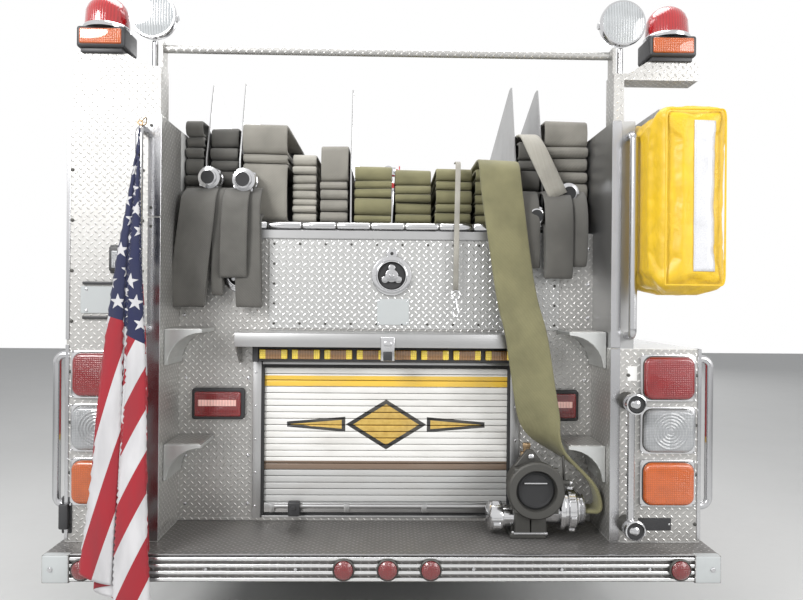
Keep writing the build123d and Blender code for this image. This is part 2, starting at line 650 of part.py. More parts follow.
def cab_panels():
    """The cab with its doors, windows, step wells and wheel arches cut: walls with floor, and roof panel."""
    outline = cab_outline(0.0, CAB_BOTTOM)
    shell = side_prism(outline, -CAB_HALF, CAB_HALF)
    rounded = [edge for edge in shell.edges()
               if abs(abs(edge.center().X) - CAB_HALF) < 1
               and edge.center().Z > CAB_BOTTOM + 10
               and edge.center().Y > CAB_BACK_Y + 10]
    shell = fillet(rounded, CAB_CORNER)
    room = side_prism(cab_outline(CAB_WALL, FLOOR_TOP), -CAB_HALF + CAB_WALL, CAB_HALF - CAB_WALL)
    shell -= room
    shell -= block(-CHANNEL_HALF, CHANNEL_HALF, CAB_BACK_Y - 10, CAB_FRONT_Y - CAB_WALL, CAB_BOTTOM - 10,
                   FLOOR_TOP - FLOOR_THICK)
    horn_x = RAIL_OUT + 12.0
    shell -= block(-horn_x, horn_x, CAB_FRONT_Y - CAB_WALL - 5, CAB_FRONT_Y + 5, CAB_BOTTOM - 10,
                   RAIL_TOP - RAIL_DEPTH + 8)
    shell -= block(-TUNNEL_HALF, TUNNEL_HALF, TUNNEL_BACK, TUNNEL_FRONT, CAB_BOTTOM, FLOOR_TOP + 5)
    arch = rod((HOUSING_X, FRONT_AXLE_Y, TYRE_R), (CAB_HALF + 20, FRONT_AXLE_Y, TYRE_R), HOUSING_R)
    cuts = both_sides(arch)
    for _, y0, y1 in DOORS:
        cuts += both_sides(door_outline_solid(y0, y1, DOOR_GAP, CAB_HALF - CAB_WALL, CAB_HALF + 20))
    front_step = (FRONT_AXLE_Y + FRONT_ARCH_R + 40, DOORS[0][2] - 20)
    crew_step = (DOORS[1][1] + 20, FRONT_AXLE_Y - FRONT_ARCH_R - 40)
    for y0, y1 in (front_step, crew_step):
        cuts += both_sides(block(STEP_X, CAB_HALF - CAB_WALL + 1, y0, y1, DOOR_BOTTOM, FLOOR_TOP + 1))
    low, high = pillar_window()
    cuts += both_sides(window_cut(low, high, SILL_Z, HEAD_Z, CAB_HALF - CAB_WALL - 5, CAB_HALF + 5))
    cuts += both_sides(screen_cut(SCREEN_POST, CAB_HALF - 140))
    back_window = block(BACK_WINDOW[0], BACK_WINDOW[1], CAB_BACK_Y - 5, CAB_BACK_Y + CAB_WALL + 5,
                        BACK_WINDOW[2], BACK_WINDOW[3])
    cuts += both_sides(fillet(back_window.edges().filter_by(Axis.Y), 50))
    for cut in cuts:
        shell -= cut
    hinge_x = hinge_axis_x()
    for _, _, y1 in DOORS:
        for z in HINGE_HEIGHTS:
            for z0 in (z - HINGE_LUG - SOFT_GAP, z + HINGE_BARREL + SOFT_GAP):
                lug = rod((hinge_x, y1 + 3, z0), (hinge_x, y1 + 3, z0 + HINGE_LUG), HINGE_R)
                lug += block(CAB_HALF - 1, hinge_x, y1 + 3, y1 + 3 + HINGE_R, z0, z0 + HINGE_LUG)
                lug += block(CAB_HALF - 1, hinge_x, y1 + DOOR_GAP + 1, y1 + 42, z0, z0 + HINGE_LUG)
                shell += both_sides(lug)
    above_seam = block(-CAB_HALF - 5, CAB_HALF + 5, CAB_BACK_Y - 5, CAB_FRONT_Y + 5,
                       CAB_TOP - CAB_WALL, CAB_TOP + 5)
    return shell - above_seam, shell & above_seam


def wheel_housings():
    """A curved plate over each front wheel, with its flared lip outside the cab."""
    outer_x = CAB_HALF + FLARE
    housing = rod((HOUSING_X, FRONT_AXLE_Y, TYRE_R), (outer_x, FRONT_AXLE_Y, TYRE_R), HOUSING_R, FRONT_ARCH_R)
    above = block(HOUSING_X - 1, outer_x + 1, FRONT_AXLE_Y - HOUSING_R, FRONT_AXLE_Y + HOUSING_R,
                  CAB_BOTTOM, TYRE_R + HOUSING_R + 1)
    return both_sides(housing & above)


def cab_glass():
    """Fixed panes: two windscreens, two pillar windows and two back windows."""
    slope = RAKE / (CAB_TOP - BROW - BELT_Z)
    middle = CAB_WALL / 2

    def lean(z, depth):
        return CAB_FRONT_Y - slope * (z - BELT_Z) - depth

    low, high = SCREEN_LOW - 50, SCREEN_TOP + 50
    slab = side_prism([(lean(low, middle), low), (lean(low, middle - GLASS), low),
                       (lean(high, middle - GLASS), high), (lean(high, middle), high)], 0, CAB_HALF)
    screen = slab & screen_cut(SCREEN_POST, CAB_HALF - 140)
    y0, y1 = pillar_window()
    x0 = CAB_HALF - middle
    side = window_cut(y0, y1, SILL_Z, HEAD_Z, x0, x0 + GLASS)
    back = block(BACK_WINDOW[0], BACK_WINDOW[1], CAB_BACK_Y + middle, CAB_BACK_Y + middle + GLASS,
                 BACK_WINDOW[2], BACK_WINDOW[3])
    back = fillet(back.edges().filter_by(Axis.Y), 50)
    return both_sides(screen) + both_sides(side) + both_sides(back)


def door_window(y0, y1):
    """A door's window: rear edge and front edge."""
    return y0 + FRAME_BORDER, y1 - FRAME_BORDER


def door_panel(y0, y1):
    """A right-hand cab door with its window cut, hinge barrels, handle and inner armrest."""
    door = door_outline_solid(y0, y1, 0.0, CAB_HALF - DOOR_THICK, CAB_HALF)
    low, high = door_window(y0, y1)
    door -= window_cut(low, high, SILL_Z, HEAD_Z, CAB_HALF - DOOR_THICK - 5, CAB_HALF + 5)
    hinge_x = hinge_axis_x()
    for z in HINGE_HEIGHTS:
        door += rod((hinge_x, y1 + 3, z), (hinge_x, y1 + 3, z + HINGE_BARREL), HINGE_R)
        door += block(CAB_HALF, hinge_x, y1 - 70, y1 - 2, z + 5, z + HINGE_BARREL - 5)
        door += block(hinge_x - 8, hinge_x, y1 - 20, y1 + 3, z + 5, z + HINGE_BARREL - 5)
    handle_z = SILL_Z - 110.0
    door += block(CAB_HALF, CAB_HALF + 8, y0 + 60, y0 + 200, handle_z - 35, handle_z + 35)
    door += block(CAB_HALF + 8, CAB_HALF + 26, y0 + 75, y0 + 185, handle_z - 10, handle_z + 10)
    door += block(CAB_HALF - DOOR_THICK - 30, CAB_HALF - DOOR_THICK, y0 + 220, y1 - 220,
                  SILL_Z - 220, SILL_Z - 170)
    return door


def hinge_axis_x():
    """Distance of a door's hinge axis from the centre line."""
    return CAB_HALF + HINGE_GAP + HINGE_R


def door_pane(y0, y1):
    """The pane of a right-hand cab door."""
    low, high = door_window(y0, y1)
    x0 = CAB_HALF - DOOR_THICK / 2
    return window_cut(low, high, SILL_Z, HEAD_Z, x0, x0 + GLASS)


def cab_interior():
    """Engine tunnel, dashboard and steering column."""
    tunnel = block(-TUNNEL_HALF - TUNNEL_WALL, TUNNEL_HALF + TUNNEL_WALL, TUNNEL_BACK - TUNNEL_WALL,
                   TUNNEL_FRONT + TUNNEL_WALL, FLOOR_TOP, TUNNEL_TOP)
    tunnel = fillet(tunnel.edges().group_by(Axis.Z)[-1], 60)
    tunnel -= block(-TUNNEL_HALF, TUNNEL_HALF, TUNNEL_BACK, TUNNEL_FRONT, FLOOR_TOP - 1,
                    TUNNEL_TOP - TUNNEL_WALL)
    room_front = CAB_FRONT_Y - CAB_WALL
    dash_back = TUNNEL_FRONT + TUNNEL_WALL
    dash = side_prism([(dash_back, SILL_Z - 150), (dash_back, SILL_Z - 20), (dash_back + 60, SILL_Z + 20),
                       (room_front, SILL_Z + 10), (room_front, SILL_Z - 330)],
                      -CAB_HALF + CAB_WALL, CAB_HALF - CAB_WALL)
    slope = RAKE / (CAB_TOP - BROW - BELT_Z)
    dash -= side_prism([(room_front, BELT_Z), (room_front - slope * 300, BELT_Z + 300),
                        (room_front + 60, BELT_Z + 300), (room_front + 60, BELT_Z)], -CAB_HALF, CAB_HALF)
    foot, seat, tip = column_points()
    column = rod(foot, seat, 35) + rod(seat, tip, COLUMN_R)
    bracket = block(WHEEL_X - 30, WHEEL_X + 30, foot[1] - 60, dash_back + 5, SILL_Z - 150, SILL_Z - 90)
    pedestal = rod((WHEEL_X, foot[1], FLOOR_TOP), (WHEEL_X, foot[1], foot[2] + 20), 45)
    return [tunnel + dash + column + bracket + pedestal]


def column_points():
    """Foot, shoulder and tip of the steering column."""
    lean = Vector(0, -sin(radians(WHEEL_TILT)), cos(radians(WHEEL_TILT)))
    hub = Vector(WHEEL_X, WHEEL_Y, WHEEL_Z)
    foot = hub - lean * 420.0
    seat = hub - lean * 26.0
    tip = hub + lean * 20.0
    return tuple(foot), tuple(seat), tuple(tip)


def steering_wheel():
    """Ring, three spokes and a hub with a bore for the column's tip."""
    lean = Vector(0, -sin(radians(WHEEL_TILT)), cos(radians(WHEEL_TILT)))
    plane = Plane(origin=(WHEEL_X, WHEEL_Y, WHEEL_Z), x_dir=(1, 0, 0), z_dir=lean)
    ring = plane * Torus(WHEEL_RING_R, 14)
    hub = plane * Pos(0, 0, 0) * Cylinder(48, 50)
    wheel = ring + hub
    for turn in (90, 210, 330):
        wheel += plane * Rot(0, 0, turn) * Pos(WHEEL_RING_R / 2, 0, 0) * Box(WHEEL_RING_R - 20, 26, 10)
    wheel -= plane * Cylinder(COLUMN_R + SHAFT_CLEAR, 120)
    return wheel


def seat_solid(x, y_front, width, depth, back_height):
    """One seat: a box base on the floor, a cushion and a back."""
    half = width / 2
    base = block(x - half + 40, x + half - 40, y_front - depth + 60, y_front - 50, FLOOR_TOP, SEAT_Z - 90)
    cushion = block(x - half, x + half, y_front - depth, y_front, SEAT_Z - 90, SEAT_Z)
    cushion = fillet(cushion.edges().filter_by(Axis.X), 30)
    back = block(x - half, x + half, y_front - depth - 60, y_front - depth + 60,
                 SEAT_Z + 12, SEAT_Z + back_height)
    back = fillet(back.edges().filter_by(Axis.X), 30)
    back += block(x - half + 60, x + half - 60, y_front - depth - 40, y_front - depth + 40,
                  SEAT_Z - 60, SEAT_Z + 40)
    return base + cushion + back


def seats():
    """Two front seats and three crew seats."""
    return [seat_solid(*row) for row in SEATS]


def front_bumper():
    """A deep bumper with rounded corners and a top plate, open below and behind."""
    y0 = CAB_FRONT_Y + 6.0
    low, high = BUMPER_LOW, BUMPER_TOP
    bumper = block(-BODY_HALF, BODY_HALF, y0, FRONT_Y, low, high)
    corners = [edge for edge in bumper.edges().filter_by(Axis.Z) if edge.center().Y > FRONT_Y - 1]
    bumper = fillet(corners, BUMPER_CORNER)
    room = block(-BODY_HALF + BUMPER_PLATE, BODY_HALF - BUMPER_PLATE, y0 - 1, FRONT_Y - BUMPER_PLATE,
                 low - 1, high - BUMPER_PLATE)
    corners = [edge for edge in room.edges().filter_by(Axis.Z)
               if edge.center().Y > FRONT_Y - BUMPER_PLATE - 1]
    bumper -= fillet(corners, BUMPER_CORNER - BUMPER_PLATE)
    bar_y = FRONT_Y - BUMPER_PLATE
    for side in SIDES:
        tab_x = side * (RAIL_OUT - RAIL_FLANGE / 2)
        bumper += block(tab_x - 55, tab_x + 55, bar_y - 8, bar_y, low + 40, high - BUMPER_PLATE)
        horn_half = RAIL_FLANGE / 2 + SOFT_GAP
        horn_top = RAIL_TOP - RAIL_DEPTH + SOFT_GAP
        bumper -= block(tab_x - horn_half, tab_x + horn_half, bar_y - 8, bar_y,
                        horn_top - HORN_HEIGHT - 2 * SOFT_GAP, horn_top)
    return bumper


def front_grille():
    """A framed grille of upright end bars and level blades on the cab's front."""
    half, low, high = GRILLE_HALF, GRILLE_LOW, GRILLE_TOP
    border = GRILLE_FRAME
    y0 = CAB_FRONT_Y
    frame = block(-half, half, y0, y0 + 30, low, high)
    frame -= block(-half + border, half - border, y0 + 8, y0 + 31, low + border, high - border)
    pitch = (high - low - 2 * border) / GRILLE_BLADES
    for index in range(GRILLE_BLADES):
        z = low + border + pitch * (index + 0.5)
        frame += block(-half + 20, half - 20, y0 + 4, y0 + 26, z - 10, z + 10)
    return frame


def headlamps():
    """Two lamps on each side of the grille in one bezel, and a turn lamp above."""
    y0 = CAB_FRONT_Y
    x0, x1 = GRILLE_HALF + LAMP_GAP, CAB_HALF - CAB_CORNER - 30.0
    low, high = HEADLAMP_LOW + 30, HEADLAMP_TOP - 30
    bezel = block(x0, x1, y0, y0 + 28, HEADLAMP_LOW, HEADLAMP_TOP)
    bezel = fillet(bezel.edges().filter_by(Axis.Y), 25)
    pitch = (x1 - x0) / 2
    half = pitch / 2 - 35
    for x in (x0 + pitch / 2, x1 - pitch / 2):
        bezel -= block(x - half, x + half, y0 + 12, y0 + 29, low, high)
        bezel += block(x - half + 7, x + half - 7, y0 + 8, y0 + 24, low + 7, high - 7)
    turn = block(x0 + 40, x1 - 40, y0, y0 + 30, TURN_LAMP_LOW, TURN_LAMP_TOP)
    turn = fillet(turn.edges().filter_by(Axis.Y), 20)
    return both_sides(bezel) + both_sides(turn)


def mirrors():
    """A tall mirror on two arms at each front corner of the cab."""
    y = DOORS[0][2] + DOOR_GAP + 36.0
    head = block(MIRROR_REACH - MIRROR_WIDTH, MIRROR_REACH, y + 45, y + 105, MIRROR_LOW, MIRROR_TOP)
    head = fillet(head.edges().filter_by(Axis.Y), 28)
    x_post = MIRROR_REACH - MIRROR_WIDTH / 2
    mount = rod((x_post, y + 75, MIRROR_LOW - MIRROR_ARM - 15),
                (x_post, y + 75, MIRROR_TOP + MIRROR_ARM + 15), 12)
    for z in (MIRROR_LOW - MIRROR_ARM, MIRROR_TOP + MIRROR_ARM):
        mount += rod((CAB_HALF + 9, y, z), (x_post, y + 75, z), 9)
        mount += block(CAB_HALF, CAB_HALF + 12, y - 24, y + 24, z - 40, z + 40)
    return both_sides(head + mount)


def roof_lightbar():
    """A long light bar on two feet across the cab's roof."""
    y = CAB_FRONT_Y - 720.0
    half, depth = LIGHTBAR_HALF, LIGHTBAR_DEPTH / 2
    low = CAB_TOP + LIGHTBAR_GAP
    lamp_bar = block(-half, half, y - depth, y + depth, low, low + LIGHTBAR_HEIGHT)
    lamp_bar = fillet(lamp_bar.edges().filter_by(Axis.X), 45)
    feet = block(half - 320, half - 250, y - depth + 50, y + depth - 50, CAB_TOP, low)
    return lamp_bar + both_sides(feet)


# Pump house

def pump_house():
    """The pump house: two side cabinets over the frame with a bridge between them."""
    house = block(-BODY_HALF, BODY_HALF, PUMP_BACK_Y, PUMP_FRONT_Y, BODY_BOTTOM + 60, PUMP_TOP)
    house -= block(-CHANNEL_HALF, CHANNEL_HALF, PUMP_BACK_Y - 1, PUMP_FRONT_Y + 1, BODY_BOTTOM,
                   RAIL_TOP)
    house -= block(-BODY_HALF + 60, BODY_HALF - 60, PUMP_BACK_Y + 40, PUMP_FRONT_Y - 40, RAIL_TOP + 120,
                   PUMP_TOP - 240)
    trough = block(-BODY_HALF - 1, BODY_HALF + 1, PUMP_BACK_Y + 60, PUMP_FRONT_Y - 60, PUMP_TOP - 200,
                   PUMP_TOP + 1)
    trough -= block(-PEDESTAL_HALF, PEDESTAL_HALF, PUMP_BACK_Y, PUMP_FRONT_Y, PUMP_TOP - 201, PUMP_TOP + 2)
    house -= trough
    for side in SIDES:
        x_panel = side * BODY_HALF
        house += block(x_panel, x_panel + side * 8, PUMP_BACK_Y + 30, PUMP_FRONT_Y - 30, 700, 1790)
    return house


def pump_fittings():
    """Capped ports and gauges on each side, running boards and the deck monitor's pipe."""
    x0 = BODY_HALF + 8.0
    pieces = []
    for offset, z, radius, reach, boss in PORTS:
        y = PUMP_BACK_Y + offset
        cap = [(0, 0), (0, radius), (reach * 0.45, radius), (reach * 0.45, radius * 0.82),
               (reach * 0.6, radius * 0.82), (reach * 0.6, radius), (reach - 6, radius), (reach, radius - 6),
               (reach, boss), (reach + 12, boss), (reach + 12, 0)]
        pieces += both_sides(turned(cap, (x0, y, z), (1, 0, 0)))
    for offset, z, radius in GAUGES:
        dial = [(0, 0), (0, radius), (26, radius), (26, radius - 8), (20, radius - 12), (20, 0)]
        pieces += both_sides(turned(dial, (x0, PUMP_BACK_Y + offset, z), (1, 0, 0)))
    y = (PUMP_BACK_Y + PUMP_FRONT_Y) / 2
    pipe_top = MONITOR_PIVOT_Z - 190.0
    pipe = [(0, 0), (0, 110), (20, 110), (20, MONITOR_PIPE_R), (pipe_top - PUMP_TOP - 24, MONITOR_PIPE_R),
            (pipe_top - PUMP_TOP - 24, 84), (pipe_top - PUMP_TOP, 84), (pipe_top - PUMP_TOP, SWIVEL_R),
            (pipe_top - PUMP_TOP + 40, SWIVEL_R), (pipe_top - PUMP_TOP + 40, 0)]
    pieces.append(turned(pipe, (0, y, PUMP_TOP), (0, 0, 1)))
    return pieces


def monitor_base():
    """The deck monitor's swivel: a collar over the pipe's spigot, an elbow and a fork."""
    y = (PUMP_BACK_Y + PUMP_FRONT_Y) / 2
    z0 = MONITOR_PIVOT_Z - 190.0 + 0.3
    collar = rod((0, y, z0), (0, y, z0 + 60), 78)
    arms = block(FORK_GAP, FORK_GAP + 22, y - 34, y + 34, z0 + 30, MONITOR_PIVOT_Z + 34)
    arms = fillet(arms.edges().filter_by(Axis.X).group_by(Axis.Z)[-1], 30)
    sole = block(-FORK_GAP - 22, FORK_GAP + 22, y - 34, y + 34, z0 + 30, z0 + 60)
    fork = collar + sole + both_sides(arms)
    fork -= rod((0, y, z0 - 1), (0, y, z0 + 41), SWIVEL_R + SHAFT_CLEAR)
    pin = rod((-FORK_GAP - 34, y, MONITOR_PIVOT_Z), (FORK_GAP + 34, y, MONITOR_PIVOT_Z), 16)
    wheel = rod((FORK_GAP + 34, y, MONITOR_PIVOT_Z), (FORK_GAP + 46, y, MONITOR_PIVOT_Z), 70)
    return fork + pin + wheel


def monitor_barrel():
    """The deck monitor's barrel: a hub on the fork's pin, a tapered tube and a nozzle."""
    y = (PUMP_BACK_Y + PUMP_FRONT_Y) / 2
    z = MONITOR_PIVOT_Z
    tube = [(-60, 0), (-60, 62), (40, 62), (120, 46), (MONITOR_REACH - 220, 40), (MONITOR_REACH - 220, 58),
            (MONITOR_REACH - 190, 58), (MONITOR_REACH - 150, 44), (MONITOR_REACH - 40, 58), (MONITOR_REACH, 62),
            (MONITOR_REACH, 40), (MONITOR_REACH - 160, 30), (MONITOR_REACH - 160, 0)]
    barrel = turned(tube, (0, y, z), (0, 1, 0))
    barrel += rod((-FORK_GAP + 6, y, z), (FORK_GAP - 6, y, z), 54)
    barrel -= rod((-FORK_GAP, y, z), (FORK_GAP, y, z), 16 + SHAFT_CLEAR)
    return barrel


# Body

def locker_bays(top, over_arch):
    """Shutter openings of one side: rear edge, front edge, lower edge and upper edge."""
    low, high = BODY_BOTTOM + POST, top - POST
    first = REAR_AXLE_Y + REAR_ARCH_R + POST
    last = BODY_FRONT_Y - POST
    half = (last - first - POST) / 2
    bays = [(first, first + half, low, high), (last - half, last, low, high)]
    bays.append((FACE_Y + POST + 40, REAR_AXLE_Y - REAR_ARCH_R - POST, low + 70, high))
    if over_arch:
        arch_top = TYRE_R + REAR_ARCH_R
        bays.append((REAR_AXLE_Y - REAR_ARCH_R, REAR_AXLE_Y + REAR_ARCH_R, arch_top + POST, high))
    return bays


def side_lockers(top, over_arch):
    """The lockers of the right side up to a given height, with the wheel arch and its trim."""
    body = block(BODY_INNER, BODY_HALF, FACE_Y, BODY_FRONT_Y, BODY_BOTTOM, top)
    body -= block(BODY_INNER - 1, BODY_HALF + 1, FACE_Y - 1, TAIL_FRONT_Y, BODY_BOTTOM - 1, TAIL_TOP)
    arch = rod((BODY_INNER - 1, REAR_AXLE_Y, TYRE_R), (BODY_HALF + 20, REAR_AXLE_Y, TYRE_R), REAR_ARCH_R)
    for y0, y1, z0, z1 in locker_bays(top, over_arch):
        body -= block(BODY_INNER + LOCKER_WALL, BODY_HALF + 1, y0, y1, z0, z1)
    body -= arch
    trim = rod((BODY_HALF, REAR_AXLE_Y, TYRE_R), (BODY_HALF + 14, REAR_AXLE_Y, TYRE_R),
               REAR_ARCH_R + 45, REAR_ARCH_R)
    trim &= block(BODY_HALF - 1, BODY_HALF + 20, REAR_AXLE_Y - 900, REAR_AXLE_Y + 900, BODY_BOTTOM, 2000)
    return body + trim


def side_shutters():
    """Roller shutter curtains in the mouths of the side lockers."""
    curtains = []
    for side, top, over_arch in ((-1, HIGH_TOP, True), (1, LOW_TOP, False)):
        for y0, y1, z0, z1 in locker_bays(top, over_arch):
            curtains.append(slatted(y0, y1, z0, z1, BODY_HALF - SHUTTER_INSET, side))
            bar_x = side * (BODY_HALF - SHUTTER_INSET)
            curtains.append(block(bar_x, bar_x + side * 10, y0 + 60, y1 - 60, z0 + 20, z0 + 45))
    return curtains


def hose_bed():
    """The bed's floor, front wall and right wall, its dividers, lip and roller rail."""
    top = BED_FLOOR + BED_PLATE
    bed = block(-BODY_INNER, BODY_INNER, WALL_Y + PLATE, BED_FRONT_Y, BED_FLOOR, top)
    bed += block(-BODY_INNER, BODY_INNER + BED_WALL, BED_FRONT_Y - 30, BED_FRONT_Y, top, HIGH_TOP)
    bed += block(BODY_INNER, BODY_INNER + BED_WALL, FACE_Y, BED_FRONT_Y, LOW_TOP, HIGH_TOP)
    bed += block(BODY_INNER - 1, BODY_INNER + BED_WALL, WALL_Y + PLATE, BED_FRONT_Y, BED_FLOOR, top)
    bed += block(BODY_INNER, BODY_INNER + POST_WIDTH, FACE_Y, FACE_Y + 50, LOW_TOP, HIGH_TOP)
    for x, peak, shelf in DIVIDERS:
        rear = WALL_Y + 45.0
        plate = [(rear, top - 1), (rear, top + 300), (rear + 110, peak), (rear + 150, peak), (rear + 900, shelf),
                 (BED_FRONT_Y - 25, shelf), (BED_FRONT_Y - 25, top - 1)]
        bed += side_prism(plate, x - 3, x + 3)
    bed += block(-RAIL_HALF, RAIL_HALF, WALL_Y - 10, WALL_Y, BED_FLOOR, top)
    bed += block(-RAIL_HALF, RAIL_HALF, WALL_Y - 10, WALL_Y + PLATE + 1, top - 4, top)
    for side in SIDES:
        end = side * RAIL_HALF
        bed += block(end, end + side * 12, WALL_Y - 30, WALL_Y + 30, top - 4, top + 42)
    bed += rod((-RAIL_HALF, WALL_Y, top + 20), (RAIL_HALF, WALL_Y, top + 20), 13)
    return bed


def rear_wall():
    """The recessed wall between the side lockers, with the rear locker's mouth cut."""
    wall = block(-BODY_INNER, BODY_INNER, WALL_Y, WALL_Y + PLATE, TAIL_TOP, BED_FLOOR + BED_PLATE - 4)
    mouth = (REAR_DOOR_HALF + DOOR_RAIL, REAR_DOOR_LOW - 10, REAR_DOOR_TOP)
    wall -= block(-mouth[0], mouth[0], WALL_Y - 1, WALL_Y + PLATE + 1, mouth[1], mouth[2])
    panel = block(PANEL_X[0], PANEL_X[1], WALL_Y - PANEL_THICK, WALL_Y, PANEL_LOW, BED_FLOOR)
    ledge_z = REAR_DOOR_TOP + LIGHT_BAR_HEIGHT + 6
    ledge = side_prism([(WALL_Y, ledge_z), (WALL_Y - 120, ledge_z), (WALL_Y - 120, ledge_z + 48),
                        (WALL_Y, ledge_z + 54)], -LEDGE_HALF, LEDGE_HALF)
    ledge -= block(-LEDGE_HALF + 5, LEDGE_HALF - 5, WALL_Y - 114, WALL_Y, ledge_z - 1, ledge_z + 42)
    for side in SIDES:
        x0 = side * (LEDGE_HALF - 5)
        ledge += side_prism([(WALL_Y, ledge_z - 75), (WALL_Y - 30, ledge_z - 75), (WALL_Y - 118, ledge_z + 2),
                             (WALL_Y, ledge_z + 2)], min(x0, x0 + side * 5), max(x0, x0 + side * 5))
    latch = block(-22, 30, WALL_Y - 128, WALL_Y - 120, ledge_z - 52, ledge_z + 40)
    return wall + panel + ledge + latch


def rear_shutter():
    """The rear roller shutter: guide rails, slats and the lift bar with its latch."""
    y_face = WALL_Y + 4.0
    count = round((REAR_DOOR_TOP - REAR_DOOR_LOW) / 27)
    pitch = (REAR_DOOR_TOP - REAR_DOOR_LOW) / count
    points = [(y_face + SHUTTER_THICK, REAR_DOOR_LOW)]
    for index in range(count):
        low = REAR_DOOR_LOW + index * pitch
        points += [(y_face + SLAT_GROOVE, low), (y_face, low + SLAT_GROOVE), (y_face, low + pitch)]
    points.append((y_face + SHUTTER_THICK, REAR_DOOR_TOP))
    curtain = side_prism(points, -REAR_DOOR_HALF, REAR_DOOR_HALF)
    rail = block(REAR_DOOR_HALF, REAR_DOOR_HALF + DOOR_RAIL, WALL_Y - 14, WALL_Y + 30, REAR_DOOR_LOW - 10,
                 REAR_DOOR_TOP)
    lift = block(-REAR_DOOR_HALF + 8, REAR_DOOR_HALF - 8, y_face - 26, y_face, REAR_DOOR_LOW + 12,
                 REAR_DOOR_LOW + 52)
    latch = block(-400, -352, y_face - 46, y_face - 26, REAR_DOOR_LOW + 4, REAR_DOOR_LOW + 64)
    sill = block(-REAR_DOOR_HALF, REAR_DOOR_HALF, WALL_Y - 10, WALL_Y + 26, REAR_DOOR_LOW - 10, REAR_DOOR_LOW)
    return [curtain, sill, lift + latch] + both_sides(rail)


def tailboard():
    """The rear step with its ribbed rub rail and end blocks."""
    low = TAIL_TOP - TAIL_THICK
    board = block(-BODY_INNER + 2, BODY_INNER - 2, TAIL_Y + 25, TAIL_FRONT_Y + 60, low, TAIL_TOP)
    board += block(-TAIL_HALF, TAIL_HALF, TAIL_Y + 25, TAIL_FRONT_Y, low, TAIL_TOP)
    points = [(TAIL_Y + 25, low), (TAIL_Y + 10, low)]
    ribs = 4
    pitch = TAIL_THICK / ribs
    for index in range(ribs):
        z = low + index * pitch
        points += [(TAIL_Y + 10, z + 4), (TAIL_Y, z + 8), (TAIL_Y, z + pitch - 8), (TAIL_Y + 10, z + pitch - 4)]
    points += [(TAIL_Y + 10, TAIL_TOP), (TAIL_Y + 25, TAIL_TOP)]
    board += side_prism(points, -TAIL_HALF + END_BLOCK, TAIL_HALF - END_BLOCK)
    board += both_sides(block(TAIL_HALF - END_BLOCK, TAIL_HALF, TAIL_Y - 2, TAIL_Y + 25, low, TAIL_TOP))
    return board


def tail_lamps():
    """Three large lamps in bezels on each side locker's rear face."""
    pieces = []
    for z in TAIL_LAMPS:
        bezel = block(LAMP_X - LAMP_WIDTH / 2, LAMP_X + LAMP_WIDTH / 2, FACE_Y - 14, FACE_Y,
                      z - LAMP_HEIGHT / 2, z + LAMP_HEIGHT / 2)
        bezel = fillet(bezel.edges().filter_by(Axis.Y), 26)
        lens = block(LAMP_X - LAMP_WIDTH / 2 + 8, LAMP_X + LAMP_WIDTH / 2 - 8, FACE_Y - 40, FACE_Y - 14,
                     z - LAMP_HEIGHT / 2 + 8, z + LAMP_HEIGHT / 2 - 8)
        lens = fillet(lens.edges().filter_by(Axis.Y), 22)
        lens = fillet(lens.faces().sort_by(Axis.Y)[0].edges(), 10)
        pieces += both_sides(bezel + lens)
    return pieces


def warning_lamps():
    """Two warning lamps, the directional light bar and the round markers in the rub rail."""
    pieces = []
    lamp = block(WARNING_X[0], WARNING_X[1], WALL_Y - 34, WALL_Y, WARNING_Z[0], WARNING_Z[1])
    lamp = fillet(lamp.edges().filter_by(Axis.Y), 18)
    pieces += both_sides(lamp)
    z0 = REAR_DOOR_TOP + 3
    housing = block(-BAR_HALF, BAR_HALF, WALL_Y - 62, WALL_Y, z0, z0 + LIGHT_BAR_HEIGHT)
    housing = fillet(housing.edges().filter_by(Axis.Y), 14)
    cells = 8
    pitch = (2 * BAR_HALF - 40) / cells
    for index in range(cells):
        x = -BAR_HALF + 20 + pitch * (index + 0.5)
        housing += block(x - pitch / 2 + 8, x + pitch / 2 - 8, WALL_Y - 72, WALL_Y - 62, z0 + 12,
                         z0 + LIGHT_BAR_HEIGHT - 12)
    pieces.append(housing)
    for x in MARKERS:
        z = TAIL_TOP - TAIL_THICK / 2
        seat = TAIL_Y
        pieces.append(turned([(0, 0), (0, 38), (8, 38), (22, 26), (26, 0)], (x, seat, z), (0, -1, 0)))
    return pieces


def grab_rails():
    """Upright hand rails on the rear faces, side rails and the rod across the top."""
    pieces = []
    for side in SIDES:
        x = side * RAIL_X
        y = FACE_Y - 62.0
        low, top = UPPER_RAIL
        pieces.append(bar([(x, FACE_Y, low), (x, y, low), (x, y, top), (x, FACE_Y, top)], 15, 30))
        x_seat, x_side = side * BODY_HALF, side * (BODY_HALF + 52)
        low, top = SIDE_RAIL
        y = FACE_Y + 40
        pieces.append(bar([(x_seat, y, low), (x_side, y, low), (x_side, y, top), (x_seat, y, top)], 15, 30))
    x, y = RAIL_X, FACE_Y - 55.0
    lower = rod((x, y, LOWER_RAIL[0]), (x, y, LOWER_RAIL[1]), 14)
    for z in LOWER_RAIL:
        lower += rod((x, FACE_Y, z), (x, y, z), 20) + Pos(x, y, z) * Sphere(30)
    pieces.append(lower)
    return pieces


